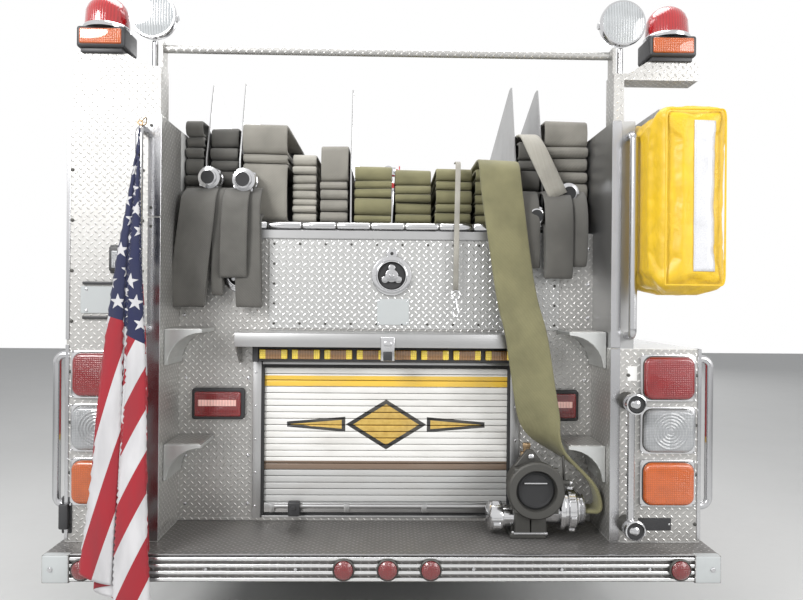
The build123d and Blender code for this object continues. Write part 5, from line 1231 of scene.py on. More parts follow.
@dataclass
class RearLamps:
    """Tail lamps, warning lamps, the directional bar and the round markers."""

    x: float = 1.076
    width: float = 0.214
    height: float = 0.18
    rows: tuple[tuple[float, Finish], ...] = ((1.261, RED_LENS), (1.061, CLEAR_LENS), (0.859, AMBER_LENS))
    warning_x: tuple[float, float] = (0.585, 0.800)
    warning_z: tuple[float, float] = (1.052, 1.180)
    bar_half: float = 0.545
    bar_z: tuple[float, float] = (1.295, 1.357)
    cells: int = 8
    markers: tuple[float, ...] = (-1.078, -0.148, 0.010, 0.165, 1.070)

    def tail_lamp(self, shape: Shape, side: int, z: float, finish: Finish) -> None:
        """One lamp: bright bezel, lens, and a round reflector in the clear one."""
        x = side * self.x
        half, tall = self.width / 2, self.height / 2
        layers = ((0.0, 0.0, 0.014, 0.0, 0.020, 0.004, 2, CHROME),
                  (0.007, 0.006, 0.018, 0.010, 0.036, 0.003, 3, CAST),
                  (0.010, 0.009, 0.036, 0.014, 0.034, 0.016, 5, finish))
        for inset, rise, out, back, corner, crown, steps, layer in layers:
            shape.pillow((x - half + inset, FACE_Y - out, z - tall + rise),
                         (x + half - inset, FACE_Y - back, z + tall - rise), corner, crown, steps)
            shape.dress(layer)
        if finish is CLEAR_LENS:
            rings = [(0.0032 if step % 2 else 0.0008, 0.072 - 0.006 * step) for step in range(12)]
            shape.turned([(-0.004, 0.072)] + rings + [(0.002, 0.0)], (x, FACE_Y - 0.0355, z), REARWARD, 40)
            shape.dress(CLEAR_LENS)
        corners = grid_points((x - half + 0.005, z - tall + 0.005),
                              (x + half - 0.005, z + tall - 0.005), 2, 2)
        shape.heads([(px, FACE_Y - 0.017, pz) for px, pz in corners], 0.0035, 0.002)
        shape.dress(STAINLESS)

    def warning_lamp(self, shape: Shape, side: int) -> None:
        """One warning lamp: black bezel, red lens, and a painted highlight: a glowing pale streak that stands
        for the light caught by its reflector.
        """
        (x0, x1), (z0, z1) = self.warning_x, self.warning_z
        shape.pillow((side * x0, WALL_Y - 0.024, z0), (side * x1, WALL_Y, z1), 0.012, 0.006, 3)
        shape.dress(PLASTIC)
        shape.pillow((side * (x0 + 0.013), WALL_Y - 0.036, z0 + 0.013),
                     (side * (x1 - 0.013), WALL_Y - 0.02, z1 - 0.013), 0.008, 0.008, 3)
        shape.dress(RED_LENS)
        # Painted highlight: a pale glowing streak in place of the light that the reflector behind the lens
        # would catch.
        middle = (z0 + z1) / 2 + 0.006
        shape.block((side * (x0 + 0.03), WALL_Y - 0.0385, middle - 0.013),
                    (side * (x1 - 0.03), WALL_Y - 0.034, middle + 0.013), 0.002)
        shape.dress(Lens("reflector_painted_highlight", (0.86, 0.50, 0.44), 0.012, 0.35, True))

    def bar(self, shape: Shape) -> None:
        """The amber directional bar in its black housing under the ledge."""
        z0, z1 = self.bar_z
        shape.block((-self.bar_half, WALL_Y - 0.060, z0), (self.bar_half, WALL_Y, z1), 0.006)
        for end in (-1, 1):
            x = end * (self.bar_half - 0.012)
            shape.block((x - 0.012, WALL_Y - 0.066, z0 - 0.001),
                        (x + 0.012, WALL_Y - 0.01, z1 + 0.001), 0.004)
        shape.dress(PLASTIC)
        pitch = (2 * self.bar_half - 0.04) / self.cells
        middles = [-self.bar_half + 0.02 + pitch * (cell + 0.5) for cell in range(self.cells)]
        for x in middles:
            shape.block((x - pitch / 2 + 0.008, WALL_Y - 0.070, z0 + 0.011),
                        (x + pitch / 2 - 0.008, WALL_Y - 0.055, z1 - 0.011), 0.005, 3)
        shape.dress(Lens("amber_bar_lens", (0.34, 0.17, 0.06), 0.011, 0.0, True))
        for x in middles:
            for end in (-1, 1):
                middle = x + end * (pitch / 2 - 0.022)
                shape.block((middle - 0.0125, WALL_Y - 0.0725, z0 + 0.012),
                            (middle + 0.0125, WALL_Y - 0.055, z1 - 0.012), 0.004)
        shape.dress(Lens("amber_bar_lamp", (0.90, 0.66, 0.06), 0.008, 0.25))

    def marker_lamps(self, shape: Shape) -> None:
        """Round dark-red reflectors on the rub rail, each in a dark ring."""
        ring = ((0.0, 0.0), (0.0, 0.040), (0.009, 0.040), (0.012, 0.036), (0.010, 0.034))
        dome = ((0.002, 0.034), (0.014, 0.0335), (0.021, 0.026), (0.025, 0.013), (0.026, 0.0))
        for profile, finish in ((ring, CAST), (dome, Lens("marker_lens", (0.22, 0.006, 0.008), 0.006))):
            for x in self.markers:
                shape.turned(profile, (x, TAIL_Y, RUB_MIDDLE), REARWARD, 28)
            shape.dress(finish)

    def build(self) -> None:
        """Make every lamp as one piece."""
        shape = Shape()
        for side in (-1, 1):
            for z, finish in self.rows:
                self.tail_lamp(shape, side, z, finish)
            self.warning_lamp(shape, side)
        self.bar(shape)
        self.marker_lamps(shape)
        shape.piece("rear_lamp_set", replaces=["rear_lamps"])


@dataclass
class RearShutter:
    """The roller shutter between the tails: slats, gaskets, guides and lift bar."""

    half: float = 0.512
    low: float = 0.654
    top: float = 1.292
    rail: float = 0.040
    slats: int = 24

    def build(self) -> None:
        """Make the curtain and its frame."""
        shape = Shape()
        face = WALL_Y + 0.004
        half, low, top = self.half, self.low, self.top
        pitch = (top - low) / self.slats
        for slat in range(self.slats):
            z = low + slat * pitch
            shape.block((-half + 0.001, face, z + 0.0014),
                        (half - 0.001, face + 0.016, z + pitch - 0.0008), 0.0032, 3)
        shape.dress(RearCurtain())
        shape.twin_blocks((half + 0.004, WALL_Y - 0.014, low - 0.01),
                          (half + self.rail, WALL_Y + 0.03, top), 0.003)
        shape.block((-half, WALL_Y - 0.014, top - 0.012), (half, WALL_Y - 0.002, top), 0.002)
        shape.block((-half, WALL_Y - 0.010, low - 0.01), (half, WALL_Y + 0.026, low), 0.002)
        shape.dress(BRUSHED_UP)
        shape.twin_blocks((half - 0.007, WALL_Y - 0.010, low), (half + 0.006, WALL_Y + 0.02, top), 0.002)
        shape.block((-half, WALL_Y - 0.008, top - 0.024), (half, WALL_Y + 0.01, top - 0.010), 0.002)
        shape.block((-half + 0.01, face - 0.004, low), (half - 0.01, face + 0.012, low + 0.010), 0.002)
        shape.dress(RUBBER)
        lift, y, z = (low + 0.012, low + 0.052), face - 0.016, low + 0.052 - 0.012
        shape.block((-half + 0.008, face - 0.012, lift[0]), (half - 0.008, face, lift[1]), 0.003)
        shape.rod((-half + 0.03, y, z), (half - 0.03, y, z), 0.0095, sides=14)
        for x in (-0.47, -0.16, 0.16, 0.47):
            shape.block((x - 0.012, face - 0.026, lift[0] + 0.004), (x + 0.012, face, lift[1] - 0.002), 0.003)
        shape.dress(BRUSHED_ACROSS)
        x = -0.376
        shape.block((-0.400, face - 0.046, low + 0.004), (-0.352, face - 0.014, low + 0.064), 0.006, 3)
        shape.rod((x, face - 0.05, low + 0.04), (x, face - 0.04, low + 0.04), 0.010, bevel=0.002)
        shape.dress(PLASTIC)
        screws = [(side * (half + 0.026), WALL_Y - 0.014, low + 0.04 + 0.138 * row)
                  for side in (-1, 1) for row in range(5)]
        shape.heads(screws, 0.005, 0.003)
        shape.dress(STAINLESS).piece("rear_shutter_set", replaces=["rear_shutter"])


@dataclass
class RearWallTrim:
    """Smooth skin, ledge cover, latch, blank data plate, rivets and lower tread strip on the rear wall."""

    panel: tuple[float, float, float, float] = (-0.489, 0.719, 1.429, 1.799)
    ledge_half: float = 0.606
    ledge_z: tuple[float, float] = (1.359, 1.4155)
    foot_half: float = 0.9 - 0.042

    def build(self) -> None:
        """Make the skins and their fasteners."""
        shape = Shape()
        x0, x1, z0, z1 = self.panel
        face = WALL_Y - 0.0055
        shape.block((x0, face, z0), (x1, WALL_Y - 0.0035, z1), 0.0008, 1)
        shape.dress(PLATE_BRIGHT)
        ledge = WALL_Y - 0.1215
        low, top = self.ledge_z
        half = self.ledge_half
        shape.block((-half, ledge, low), (half, ledge + 0.003, top), 0.0012)
        shape.panel([(-half, ledge, top - 0.002), (half, ledge, top - 0.002), (half, face, top + 0.003),
                     (-half, face, top + 0.003)], (0, 0, 0.0022))
        shape.dress(BRUSHED_ACROSS)
        shape.block((-self.foot_half, WALL_Y - 0.003, TAIL_TOP + 0.002),
                    (self.foot_half, WALL_Y + 0.001, 0.644), 0.001, 1)
        shape.dress(PLATE_FINE)
        edge = 0.02
        left, right, foot, head = x0 + edge, x1 - edge, z0 + edge, z1 - edge
        rivets = [(left + (x1 - x0 - 2 * edge) * step / 11, face, z) for step in range(12)
                  for z in (foot, head)]
        rivets += [(x, face, foot + (z1 - z0 - 2 * edge) * step / 4) for step in range(1, 4)
                   for x in (left, right)]
        shape.heads(rivets, 0.0055)
        shape.dress(CAST)
        bolts = [(side * x, WALL_Y, z) for side in (-1, 1) for x in (0.83, 0.572) for z in (0.70, 0.90, 1.22)]
        bolts += [(x, WALL_Y, z) for x in (-0.84, 0.84) for z in (1.48, 1.62, 1.77)]
        shape.heads(bolts, 0.007, 0.004)
        shape.dress(STAINLESS)
        shape.block((-0.042, face - 0.003, 1.446), (0.092, face, 1.554), 0.001, 1)
        shape.dress(GREY_ENAMEL)
        shape.heads([(x, face - 0.003, z) for z in (1.546, 1.454) for x in (-0.034, 0.084)], 0.003, 0.002)
        shape.dress(STAINLESS)
        shape.block((-0.024, ledge - 0.010, 1.306), (0.032, ledge - 0.001, 1.402), 0.004, 3)
        shape.rod((0.004, ledge - 0.02, 1.372), (0.004, ledge - 0.008, 1.372), 0.016, bevel=0.003)
        shape.dress(CHROME)
        shape.block((-0.014, ledge - 0.014, 1.308), (0.022, ledge - 0.009, 1.344), 0.003)
        shape.dress(PLASTIC)
        for side in (-1, 1):
            x = side * (half + 0.002)
            shape.heads([(x, WALL_Y - 0.02, 1.33), (x, WALL_Y - 0.06, 1.35)], 0.007, 0.004, out=(side, 0, 0))
        shape.dress(STAINLESS).piece("rear_wall_trim")


@dataclass
class RoundPorts:
    """Capped round ports on the rear wall, and the four step gussets beside it."""

    ports: tuple[tuple[float, float, float, float], ...] = ((0.018, 1.650, 0.084, 0.0055),
                                                            (-0.610, 1.650, 0.074, 0.0))
    tops: tuple[float, ...] = (1.430, 0.985)
    reach: float = 0.145
    drop: float = 0.140

    def port(self, shape: Shape, x: float, z: float, radius: float, backing: float) -> None:
        """One port: flange, dished cap with three finger lobes, and a hinge ear."""
        y = WALL_Y - backing
        profile = [(0.0, radius), (0.006, radius), (0.012, radius - 0.003), (0.014, radius - 0.010),
                   (0.014, radius - 0.019), (0.020, radius - 0.022), (0.020, radius - 0.026),
                   (0.008, radius - 0.028)]
        shape.turned(profile, (x, y, z), REARWARD, 48)
        shape.rod((x, y, z + radius + 0.006), (x, y - 0.011, z + radius + 0.006), 0.024, 0.022, 28, 0.002)
        shape.dress(CHROME)
        shape.turned([(0.004, radius - 0.027), (0.009, radius - 0.030), (0.007, 0.0)],
                     (x, y, z), REARWARD, 48)
        shape.rod((x, y - 0.010, z + radius + 0.008), (x, y - 0.0125, z + radius + 0.008), 0.007, sides=16)
        shape.dress(RUBBER)
        shape.rod((x, y - 0.006, z), (x, y - 0.018, z), radius * 0.34, radius * 0.32, 32, 0.002)
        for px, pz in ring_points((x, z), radius * 0.38, 3, 90.0):
            shape.rod((px, y - 0.006, pz), (px, y - 0.017, pz), radius * 0.185, radius * 0.17, 20, 0.002)
        shape.rod((x, y - 0.016, z), (x, y - 0.021, z), radius * 0.13, radius * 0.1, 20, 0.001)
        shape.heads([(px, y - 0.012, pz)
                     for px, pz in ring_points((x, z), radius - 0.0145, 6, 0.0)], 0.004, 0.003)
        shape.dress(STAINLESS)

    def gusset(self, shape: Shape, side: int, top: float) -> None:
        """One folded step: flat tread, concave front under it and a turned-down lip."""
        inner = BODY_INNER - 0.003
        turns = [math.radians(90 * step / 8) for step in range(9)]
        arc = [(inner - self.reach + self.reach * math.sin(turn) * 0.92,
                top - 0.014 - (self.drop - 0.014) * (1 - math.cos(turn))) for turn in turns]
        outline = [(inner, top), (inner - self.reach, top)] + arc + [(inner, top - self.drop)]
        points = [(side * x, WALL_Y - 0.006, z) for x, z in outline]
        shape.panel(points, (0, -0.194, 0), 0.002)

    def build(self) -> None:
        """Make both."""
        shape = Shape()
        for row in self.ports:
            self.port(shape, *row)
        for side in (-1, 1):
            for top in self.tops:
                self.gusset(shape, side, top)
        shape.dress(Metal("step_casting", (0.60, 0.61, 0.60), 0.42, dirt=0.55, grain=0.5))
        for side in (-1, 1):
            for top in self.tops:
                shape.block((side * (BODY_INNER - 0.010), WALL_Y - 0.192, top - 0.001),
                            (side * (BODY_INNER - self.reach + 0.006), WALL_Y - 0.012,
                             top + 0.0025), 0.001, 1)
        shape.dress(PLATE_FINE).piece("ports_and_steps", replaces=["step_brackets"])


@dataclass
class TailboardTrim:
    """The ribbed rub rail's bright ridges, its end blocks with their screws, a thin strip along its top and a
    row of screws.
    """

    half: float = 1.22
    block: float = 0.095
    low: float = 0.532
    ribs: int = 4

    def build(self) -> None:
        """Make the ridges, blocks and screws."""
        shape = Shape()
        inner = self.half - self.block
        pitch = (TAIL_TOP - self.low) / self.ribs
        for rib in range(self.ribs):
            z = self.low + pitch * (rib + 0.5)
            shape.block((-inner, TAIL_Y - 0.002, z - 0.0062), (inner, TAIL_Y + 0.008, z + 0.0062), 0.003, 3)
        shape.dress(Metal("rub_rail_polished", (0.70, 0.70, 0.70), 0.24, brushed=(0.03, 1, 1),
                          dirt=0.4, grain=0.2))
        shape.twin_blocks((inner + 0.001, TAIL_Y - 0.004, self.low - 0.001),
                          (self.half + 0.001, TAIL_Y + 0.03, TAIL_TOP + 0.001), 0.006, 3)
        shape.dress(GREY_ENAMEL)
        shape.block((-inner, TAIL_Y + 0.001, TAIL_TOP), (inner, TAIL_Y + 0.012, TAIL_TOP + 0.0025), 0.001, 1)
        for x in (0.030 - self.half, self.half - 0.030):
            shape.rod((x, TAIL_Y - 0.001, RUB_MIDDLE), (x, TAIL_Y - 0.008, RUB_MIDDLE), 0.010,
                      0.008, 16, 0.001)
        shape.heads([(-0.96 + 0.32 * step, TAIL_Y - 0.001, RUB_MIDDLE) for step in range(7)])
        shape.dress(STAINLESS).piece("tailboard_trim")


@dataclass
class RollerRail:
    """The segmented roller over which hose leaves the bed."""

    half: float = 0.640
    z: float = 1.855
    rollers: int = 9

    def build(self) -> None:
        """Make the rollers, the collars between them and the end plates."""
        shape = Shape()
        pitch = 2 * self.half / self.rollers
        profile = [(0.004, 0.0), (0.004, 0.0145), (0.008, 0.0165), (pitch - 0.008, 0.0165),
                   (pitch - 0.004, 0.0145), (pitch - 0.004, 0.0)]
        for roller in range(self.rollers):
            shape.turned(profile, (-self.half + pitch * roller, WALL_Y, self.z), (1, 0, 0), 24)
        shape.dress(CHROME)
        for joint in range(self.rollers + 1):
            x = -self.half + pitch * joint
            shape.rod((x - 0.003, WALL_Y, self.z), (x + 0.003, WALL_Y, self.z), 0.0135, sides=16)
        shape.dress(CAST)
        shape.twin_blocks((0.644, WALL_Y - 0.032, 1.83), (0.6585, WALL_Y + 0.032, 1.879), 0.003)
        shape.block((-self.half, WALL_Y - 0.0125, 1.802), (self.half, WALL_Y - 0.0095, 1.836), 0.001, 1)
        shape.dress(BRUSHED_ACROSS).piece("roller_rail")


@dataclass
class CornerLamps:
    """A red beacon on an amber lamp box and a round floodlight at each rear corner."""

    beacon_x: float = 1.080
    flood_x: float = 0.898
    shelf: float = 2.470
    y: float = -4.235

    def beacon(self, shape: Shape, side: int) -> None:
        """Box, amber windows and a ribbed red dome."""
        x, y, z = side * self.beacon_x, self.y, self.shelf
        shape.block((x - 0.078, y - 0.056, z), (x + 0.078, y + 0.056, z + 0.018), 0.003)
        shape.block((x - 0.090, y - 0.068, z + 0.016), (x + 0.090, y + 0.068, z + 0.096), 0.010, 3)
        shape.dress(PLASTIC)
        shape.block((x - 0.078, y - 0.074, z + 0.028), (x + 0.078, y - 0.060, z + 0.086), 0.006, 3)
        shape.block((x + side * 0.09 - 0.004, y - 0.05, z + 0.03),
                    (x + side * 0.09 + 0.004, y + 0.05, z + 0.084), 0.004)
        shape.dress(AMBER_LENS)
        shape.turned([(0.0, 0.0), (0.0, 0.086), (0.010, 0.088), (0.016, 0.084)],
                     (x, y, z + 0.094), (0, 0, 1), 40)
        shape.dress(CHROME)
        shape.turned([(0.012, 0.082), (0.070, 0.078), (0.092, 0.070), (0.110, 0.056), (0.124, 0.036),
                      (0.131, 0.016), (0.132, 0.0)], (x, y, z + 0.096), (0, 0, 1), 48)
        shape.dress(Lens("beacon_dome", (0.46, 0.010, 0.014), 0.010, 0.0, True))

    def floodlight(self, shape: Shape, side: int) -> None:
        """A spun bowl on a yoke, its clear lens facing the rear."""
        x, y, z = side * self.flood_x, self.y, self.shelf + 0.152
        shape.rod((x, y, self.shelf - 0.045), (x, y, z - 0.088), 0.011, sides=16)
        shape.turned([(-0.040, 0.080), (-0.040, 0.086), (-0.034, 0.088), (-0.022, 0.088), (-0.018, 0.083),
                      (0.004, 0.082), (0.030, 0.070), (0.048, 0.050), (0.060, 0.026), (0.064, 0.0)],
                     (x, y, z), (0, 1, 0), 48)
        for cross in (-1, 1):
            shape.rod((x + cross * 0.080, y, z), (x + cross * 0.088, y, z), 0.014, sides=16, bevel=0.002)
        shape.dress(CHROME)
        shape.turned([(-0.040, 0.080), (-0.044, 0.060), (-0.047, 0.030), (-0.048, 0.0)],
                     (x, y, z), (0, 1, 0), 40)
        shape.dress(Lens("flood_lens", (0.50, 0.52, 0.53), 0.010, 0.0, True))

    def build(self) -> None:
        """Make both corners."""
        shape = Shape()
        for side in (-1, 1):
            self.beacon(shape, side)
            self.floodlight(shape, side)
        shape.piece("corner_lamp_set", replaces=["corner_lamps"])


@dataclass
class GateValve:
    """The gate valve on the tailboard, with its caps, spindle and ribbed outlet coupling."""

    x: float = 0.578
    y: float = -4.185
    z: float = 0.822

    def casting(self, shape: Shape) -> None:
        """Bolted base, ribbed pillar, body and the four-lugged ring of the main port."""
        x, y, z = self.x, self.y, self.z
        shape.block((x - 0.095, y - 0.060, TAIL_TOP), (x + 0.045, y + 0.070, TAIL_TOP + 0.018), 0.004, 3)
        for x0, x1 in ((-0.076, -0.0165), (-0.0135, 0.046)):
            shape.block((x + x0, y - 0.060, TAIL_TOP + 0.01), (x + x1, y + 0.044, z - 0.05), 0.006, 3)
        for rib in (-0.086, 0.046):
            shape.block((x + rib, y - 0.030, TAIL_TOP + 0.016), (x + rib + 0.010, y + 0.012, z - 0.07), 0.003)
        brace = [(x - 0.082, y - 0.058, z + 0.086), (x + 0.034, y - 0.058, z + 0.096),
                 (x - 0.006, y - 0.058, z + 0.150), (x - 0.030, y - 0.058, z + 0.152)]
        shape.panel(brace, (0.0, 0.022, 0.0), 0.003)
        shape.turned([(-0.070, 0.0), (-0.070, 0.084), (-0.060, 0.092), (0.030, 0.092), (0.044, 0.086),
                      (0.056, 0.078)], (x, y, z), REARWARD, 48)
        shape.turned([(0.052, 0.078), (0.056, 0.104), (0.062, 0.110), (0.090, 0.110), (0.096, 0.104),
                      (0.096, 0.080), (0.090, 0.076), (0.066, 0.074), (0.064, 0.0)], (x, y, z), REARWARD, 48)
        for px, pz in ring_points((x, z), 0.106, 4, 45.0):
            shape.block((px - 0.012, y - 0.092, pz - 0.012), (px + 0.012, y - 0.066, pz + 0.012), 0.005, 3)
        shape.rod((x - 0.020, y, z + 0.08), (x - 0.020, y, z + 0.112), 0.040, 0.034, 28, 0.004)
        shape.dress(CAST)

    def seal(self, shape: Shape) -> None:
        """The rubber gasket inside the ring, its flap's pin, and the lever beside it."""
        x, y, z = self.x, self.y, self.z
        back, up = y - 0.03, z + 0.018
        shape.turned([(0.066, 0.074), (0.074, 0.073), (0.078, 0.066), (0.070, 0.060), (0.066, 0.0)],
                     (x, y, z), REARWARD, 40)
        shape.dress(RUBBER)
        shape.rod((x - 0.044, y - 0.072, z + 0.026), (x + 0.044, y - 0.072, z + 0.026), 0.0045, sides=12)
        shape.heads([(x - 0.016, y - 0.059, z + 0.126)], 0.011, 0.008, 12)
        shape.block((x - 0.082, y - 0.066, TAIL_TOP + 0.016), (x + 0.050, y - 0.056, TAIL_TOP + 0.026), 0.003)
        shape.dress(STAINLESS)
        shape.rod((x + 0.122, back, z + 0.02), (x + 0.116, back, z + 0.125), 0.0055, sides=12, bevel=0.002)
        shape.rod((x + 0.100, back, up), (x + 0.142, back, up), 0.012, sides=16, bevel=0.003)
        shape.rod((x + 0.06, back, up), (x + 0.104, back, up), 0.008, sides=12)
        shape.dress(CAST)
        shape.rod((x + 0.140, back, up), (x + 0.152, back, up), 0.008, sides=16, bevel=0.002)
        shape.dress(CHROME)

    def spindle(self, shape: Shape) -> None:
        """The stem with its hexagon head and packing nut."""
        x, y, z = self.x - 0.020, self.y + 0.010, self.z
        shape.rod((x, y, z + 0.10), (x, y, z + 0.150), 0.014, sides=20)
        shape.rod((x, y, z + 0.112), (x, y, z + 0.130), 0.026, sides=6, bevel=0.002)
        shape.rod((x, y, z + 0.148), (x, y, z + 0.165), 0.017, sides=6, bevel=0.002)
        shape.dress(BRONZE)

    def couplings(self, shape: Shape) -> None:
        """Left cap with rocker lugs, and the right outlet's collars and ribs."""
        x, y, z = self.x, self.y, self.z
        shape.turned([(0.0, 0.0), (0.0, 0.044), (0.056, 0.044), (0.060, 0.056), (0.066, 0.058),
                      (0.104, 0.058), (0.112, 0.052), (0.120, 0.034), (0.122, 0.0)],
                     (x - 0.060, y, z - 0.120), (-1, 0, 0), 40)
        for py, pz in ring_points((y, z - 0.120), 0.058, 4, 20.0):
            shape.block((x - 0.160, py - 0.010, pz - 0.010), (x - 0.130, py + 0.010, pz + 0.010), 0.004)
        profile = [(0.0, 0.0), (0.0, 0.060), (0.096, 0.060), (0.100, 0.082), (0.104, 0.084), (0.116, 0.084),
                   (0.120, 0.076), (0.130, 0.076), (0.134, 0.084), (0.160, 0.084), (0.165, 0.080),
                   (0.167, 0.064), (0.176, 0.064), (0.179, 0.060), (0.182, 0.064), (0.188, 0.060),
                   (0.191, 0.064), (0.198, 0.060), (0.200, 0.050), (0.200, 0.0)]
        shape.turned(profile, (x, y, z - 0.090), (1, 0, 0), 48)
        for py, pz in ring_points((y, z - 0.090), 0.084, 8, 10.0):
            shape.block((x + 0.136, py - 0.006, pz - 0.006), (x + 0.158, py + 0.006, pz + 0.006), 0.002)
        nuts = [(x + dx, y + dy, TAIL_TOP + 0.018) for dy in (-0.046, 0.056) for dx in (-0.08, 0.03)]
        shape.heads(nuts, 0.009, 0.008, 6, (0, 0, 1))
        shape.dress(CHROME)

    def build(self) -> None:
        """Make the valve."""
        shape = Shape()
        self.casting(shape)
        self.seal(shape)
        self.spindle(shape)
        self.couplings(shape)
        shape.piece("gate_valve", replaces=["hydrant_valve"])


# Soft goods at the rear


class Ribbon:
    """A flat hose modelled as a thin rounded band along a line, with its UV map in metres."""

    def __init__(self, name: str, finish: Finish) -> None:
        self.name = name
        self.finish = finish
        self.mesh = bmesh.new()
        self.uv = self.mesh.loops.layers.uv.new("weave")

    def sweep(self, points: Sequence[Vector], width: float, thick: float,
              across: Sequence[Vector] | None = None, rim: int = 2,
              widths: Sequence[float] | None = None) -> "Ribbon":
        """Draw the hose's flattened section along a line of points.

        Args:
            points: The middle of the hose.
            width: The flat hose's width.
            thick: Its thickness.
            across: The direction across the hose at each point, x by default.
            rim: Corners on each rounded edge.
            widths: Share of the full width at each point, all of it by default.

        Returns:
            This ribbon.
        """
        half, deep = width / 2 - thick / 2, thick / 2
        section = [(-half, -deep), (-half * 0.34, -deep * 1.04), (half * 0.34, -deep * 1.04), (half, -deep)]
        section += [(half + deep * math.cos(turn), deep * math.sin(turn)) for turn in self.turns(-90.0, rim)]
        section += [(half, deep), (half * 0.34, deep * 1.04), (-half * 0.34, deep * 1.04), (-half, deep)]
        section += [(-half + deep * math.cos(turn), deep * math.sin(turn)) for turn in self.turns(90.0, rim)]
        length, rings = 0.0, []
        for index, point in enumerate(points):
            before, after = points[max(0, index - 1)], points[min(len(points) - 1, index + 1)]
            along = (after - before).normalized()
            side = across[index] if across else Vector((1.0, 0.0, 0.0))
            side = (side - along * side.dot(along)).normalized()
            up = side.cross(along)
            share = widths[index] if widths else 1.0
            rings.append([self.mesh.verts.new(point + side * a * share + up * b) for a, b in section])
            if index:
                step = (point - points[index - 1]).length
                self.skin(rings[-2], rings[-1], section, length, length + step)
                length += step
        for ring in (rings[0], rings[-1]):
            self.mesh.faces.new(ring)
        return self

    @staticmethod
    def turns(first: float, rim: int) -> list[float]:
        """Angles between the two ends of a half round."""
        return [math.radians(first + 180.0 * step / (rim + 1)) for step in range(1, rim + 1)]

    def skin(self, old: list[bmesh.types.BMVert], new: list[bmesh.types.BMVert],
             section: Sequence[tuple[float, float]], start: float, end: float) -> None:
        """Join two rings of corners, with their UV."""
        count = len(section)
        for index in range(count):
            after = (index + 1) % count
            face = self.mesh.faces.new((old[index], old[after], new[after], new[index]))
            face.smooth = True
            corners = ((start, section[index][0]), (start, section[after][0]), (end, section[after][0]),
                       (end, section[index][0]))
            for loop, corner in zip(face.loops, corners):
                loop[self.uv].uv = corner

    def piece(self, replaces: Sequence[str] = ()) -> bpy.types.Object:
        """Make the object, riding on the vehicle."""
        bmesh.ops.recalc_face_normals(self.mesh, faces=self.mesh.faces)
        return attach(link(self.name, mesh_data(self.name, self.mesh, [self.finish])), replaces=replaces)


@dataclass(frozen=True)
class Fold:
    """One stack of hose folded back and forth in the bed, with each fold's share of its height from below."""

    x0: float
    x1: float
    top: float
    overhang: float
    jacket: HoseJacket
    shares: tuple[float, ...]
    thick: float = 0.0115


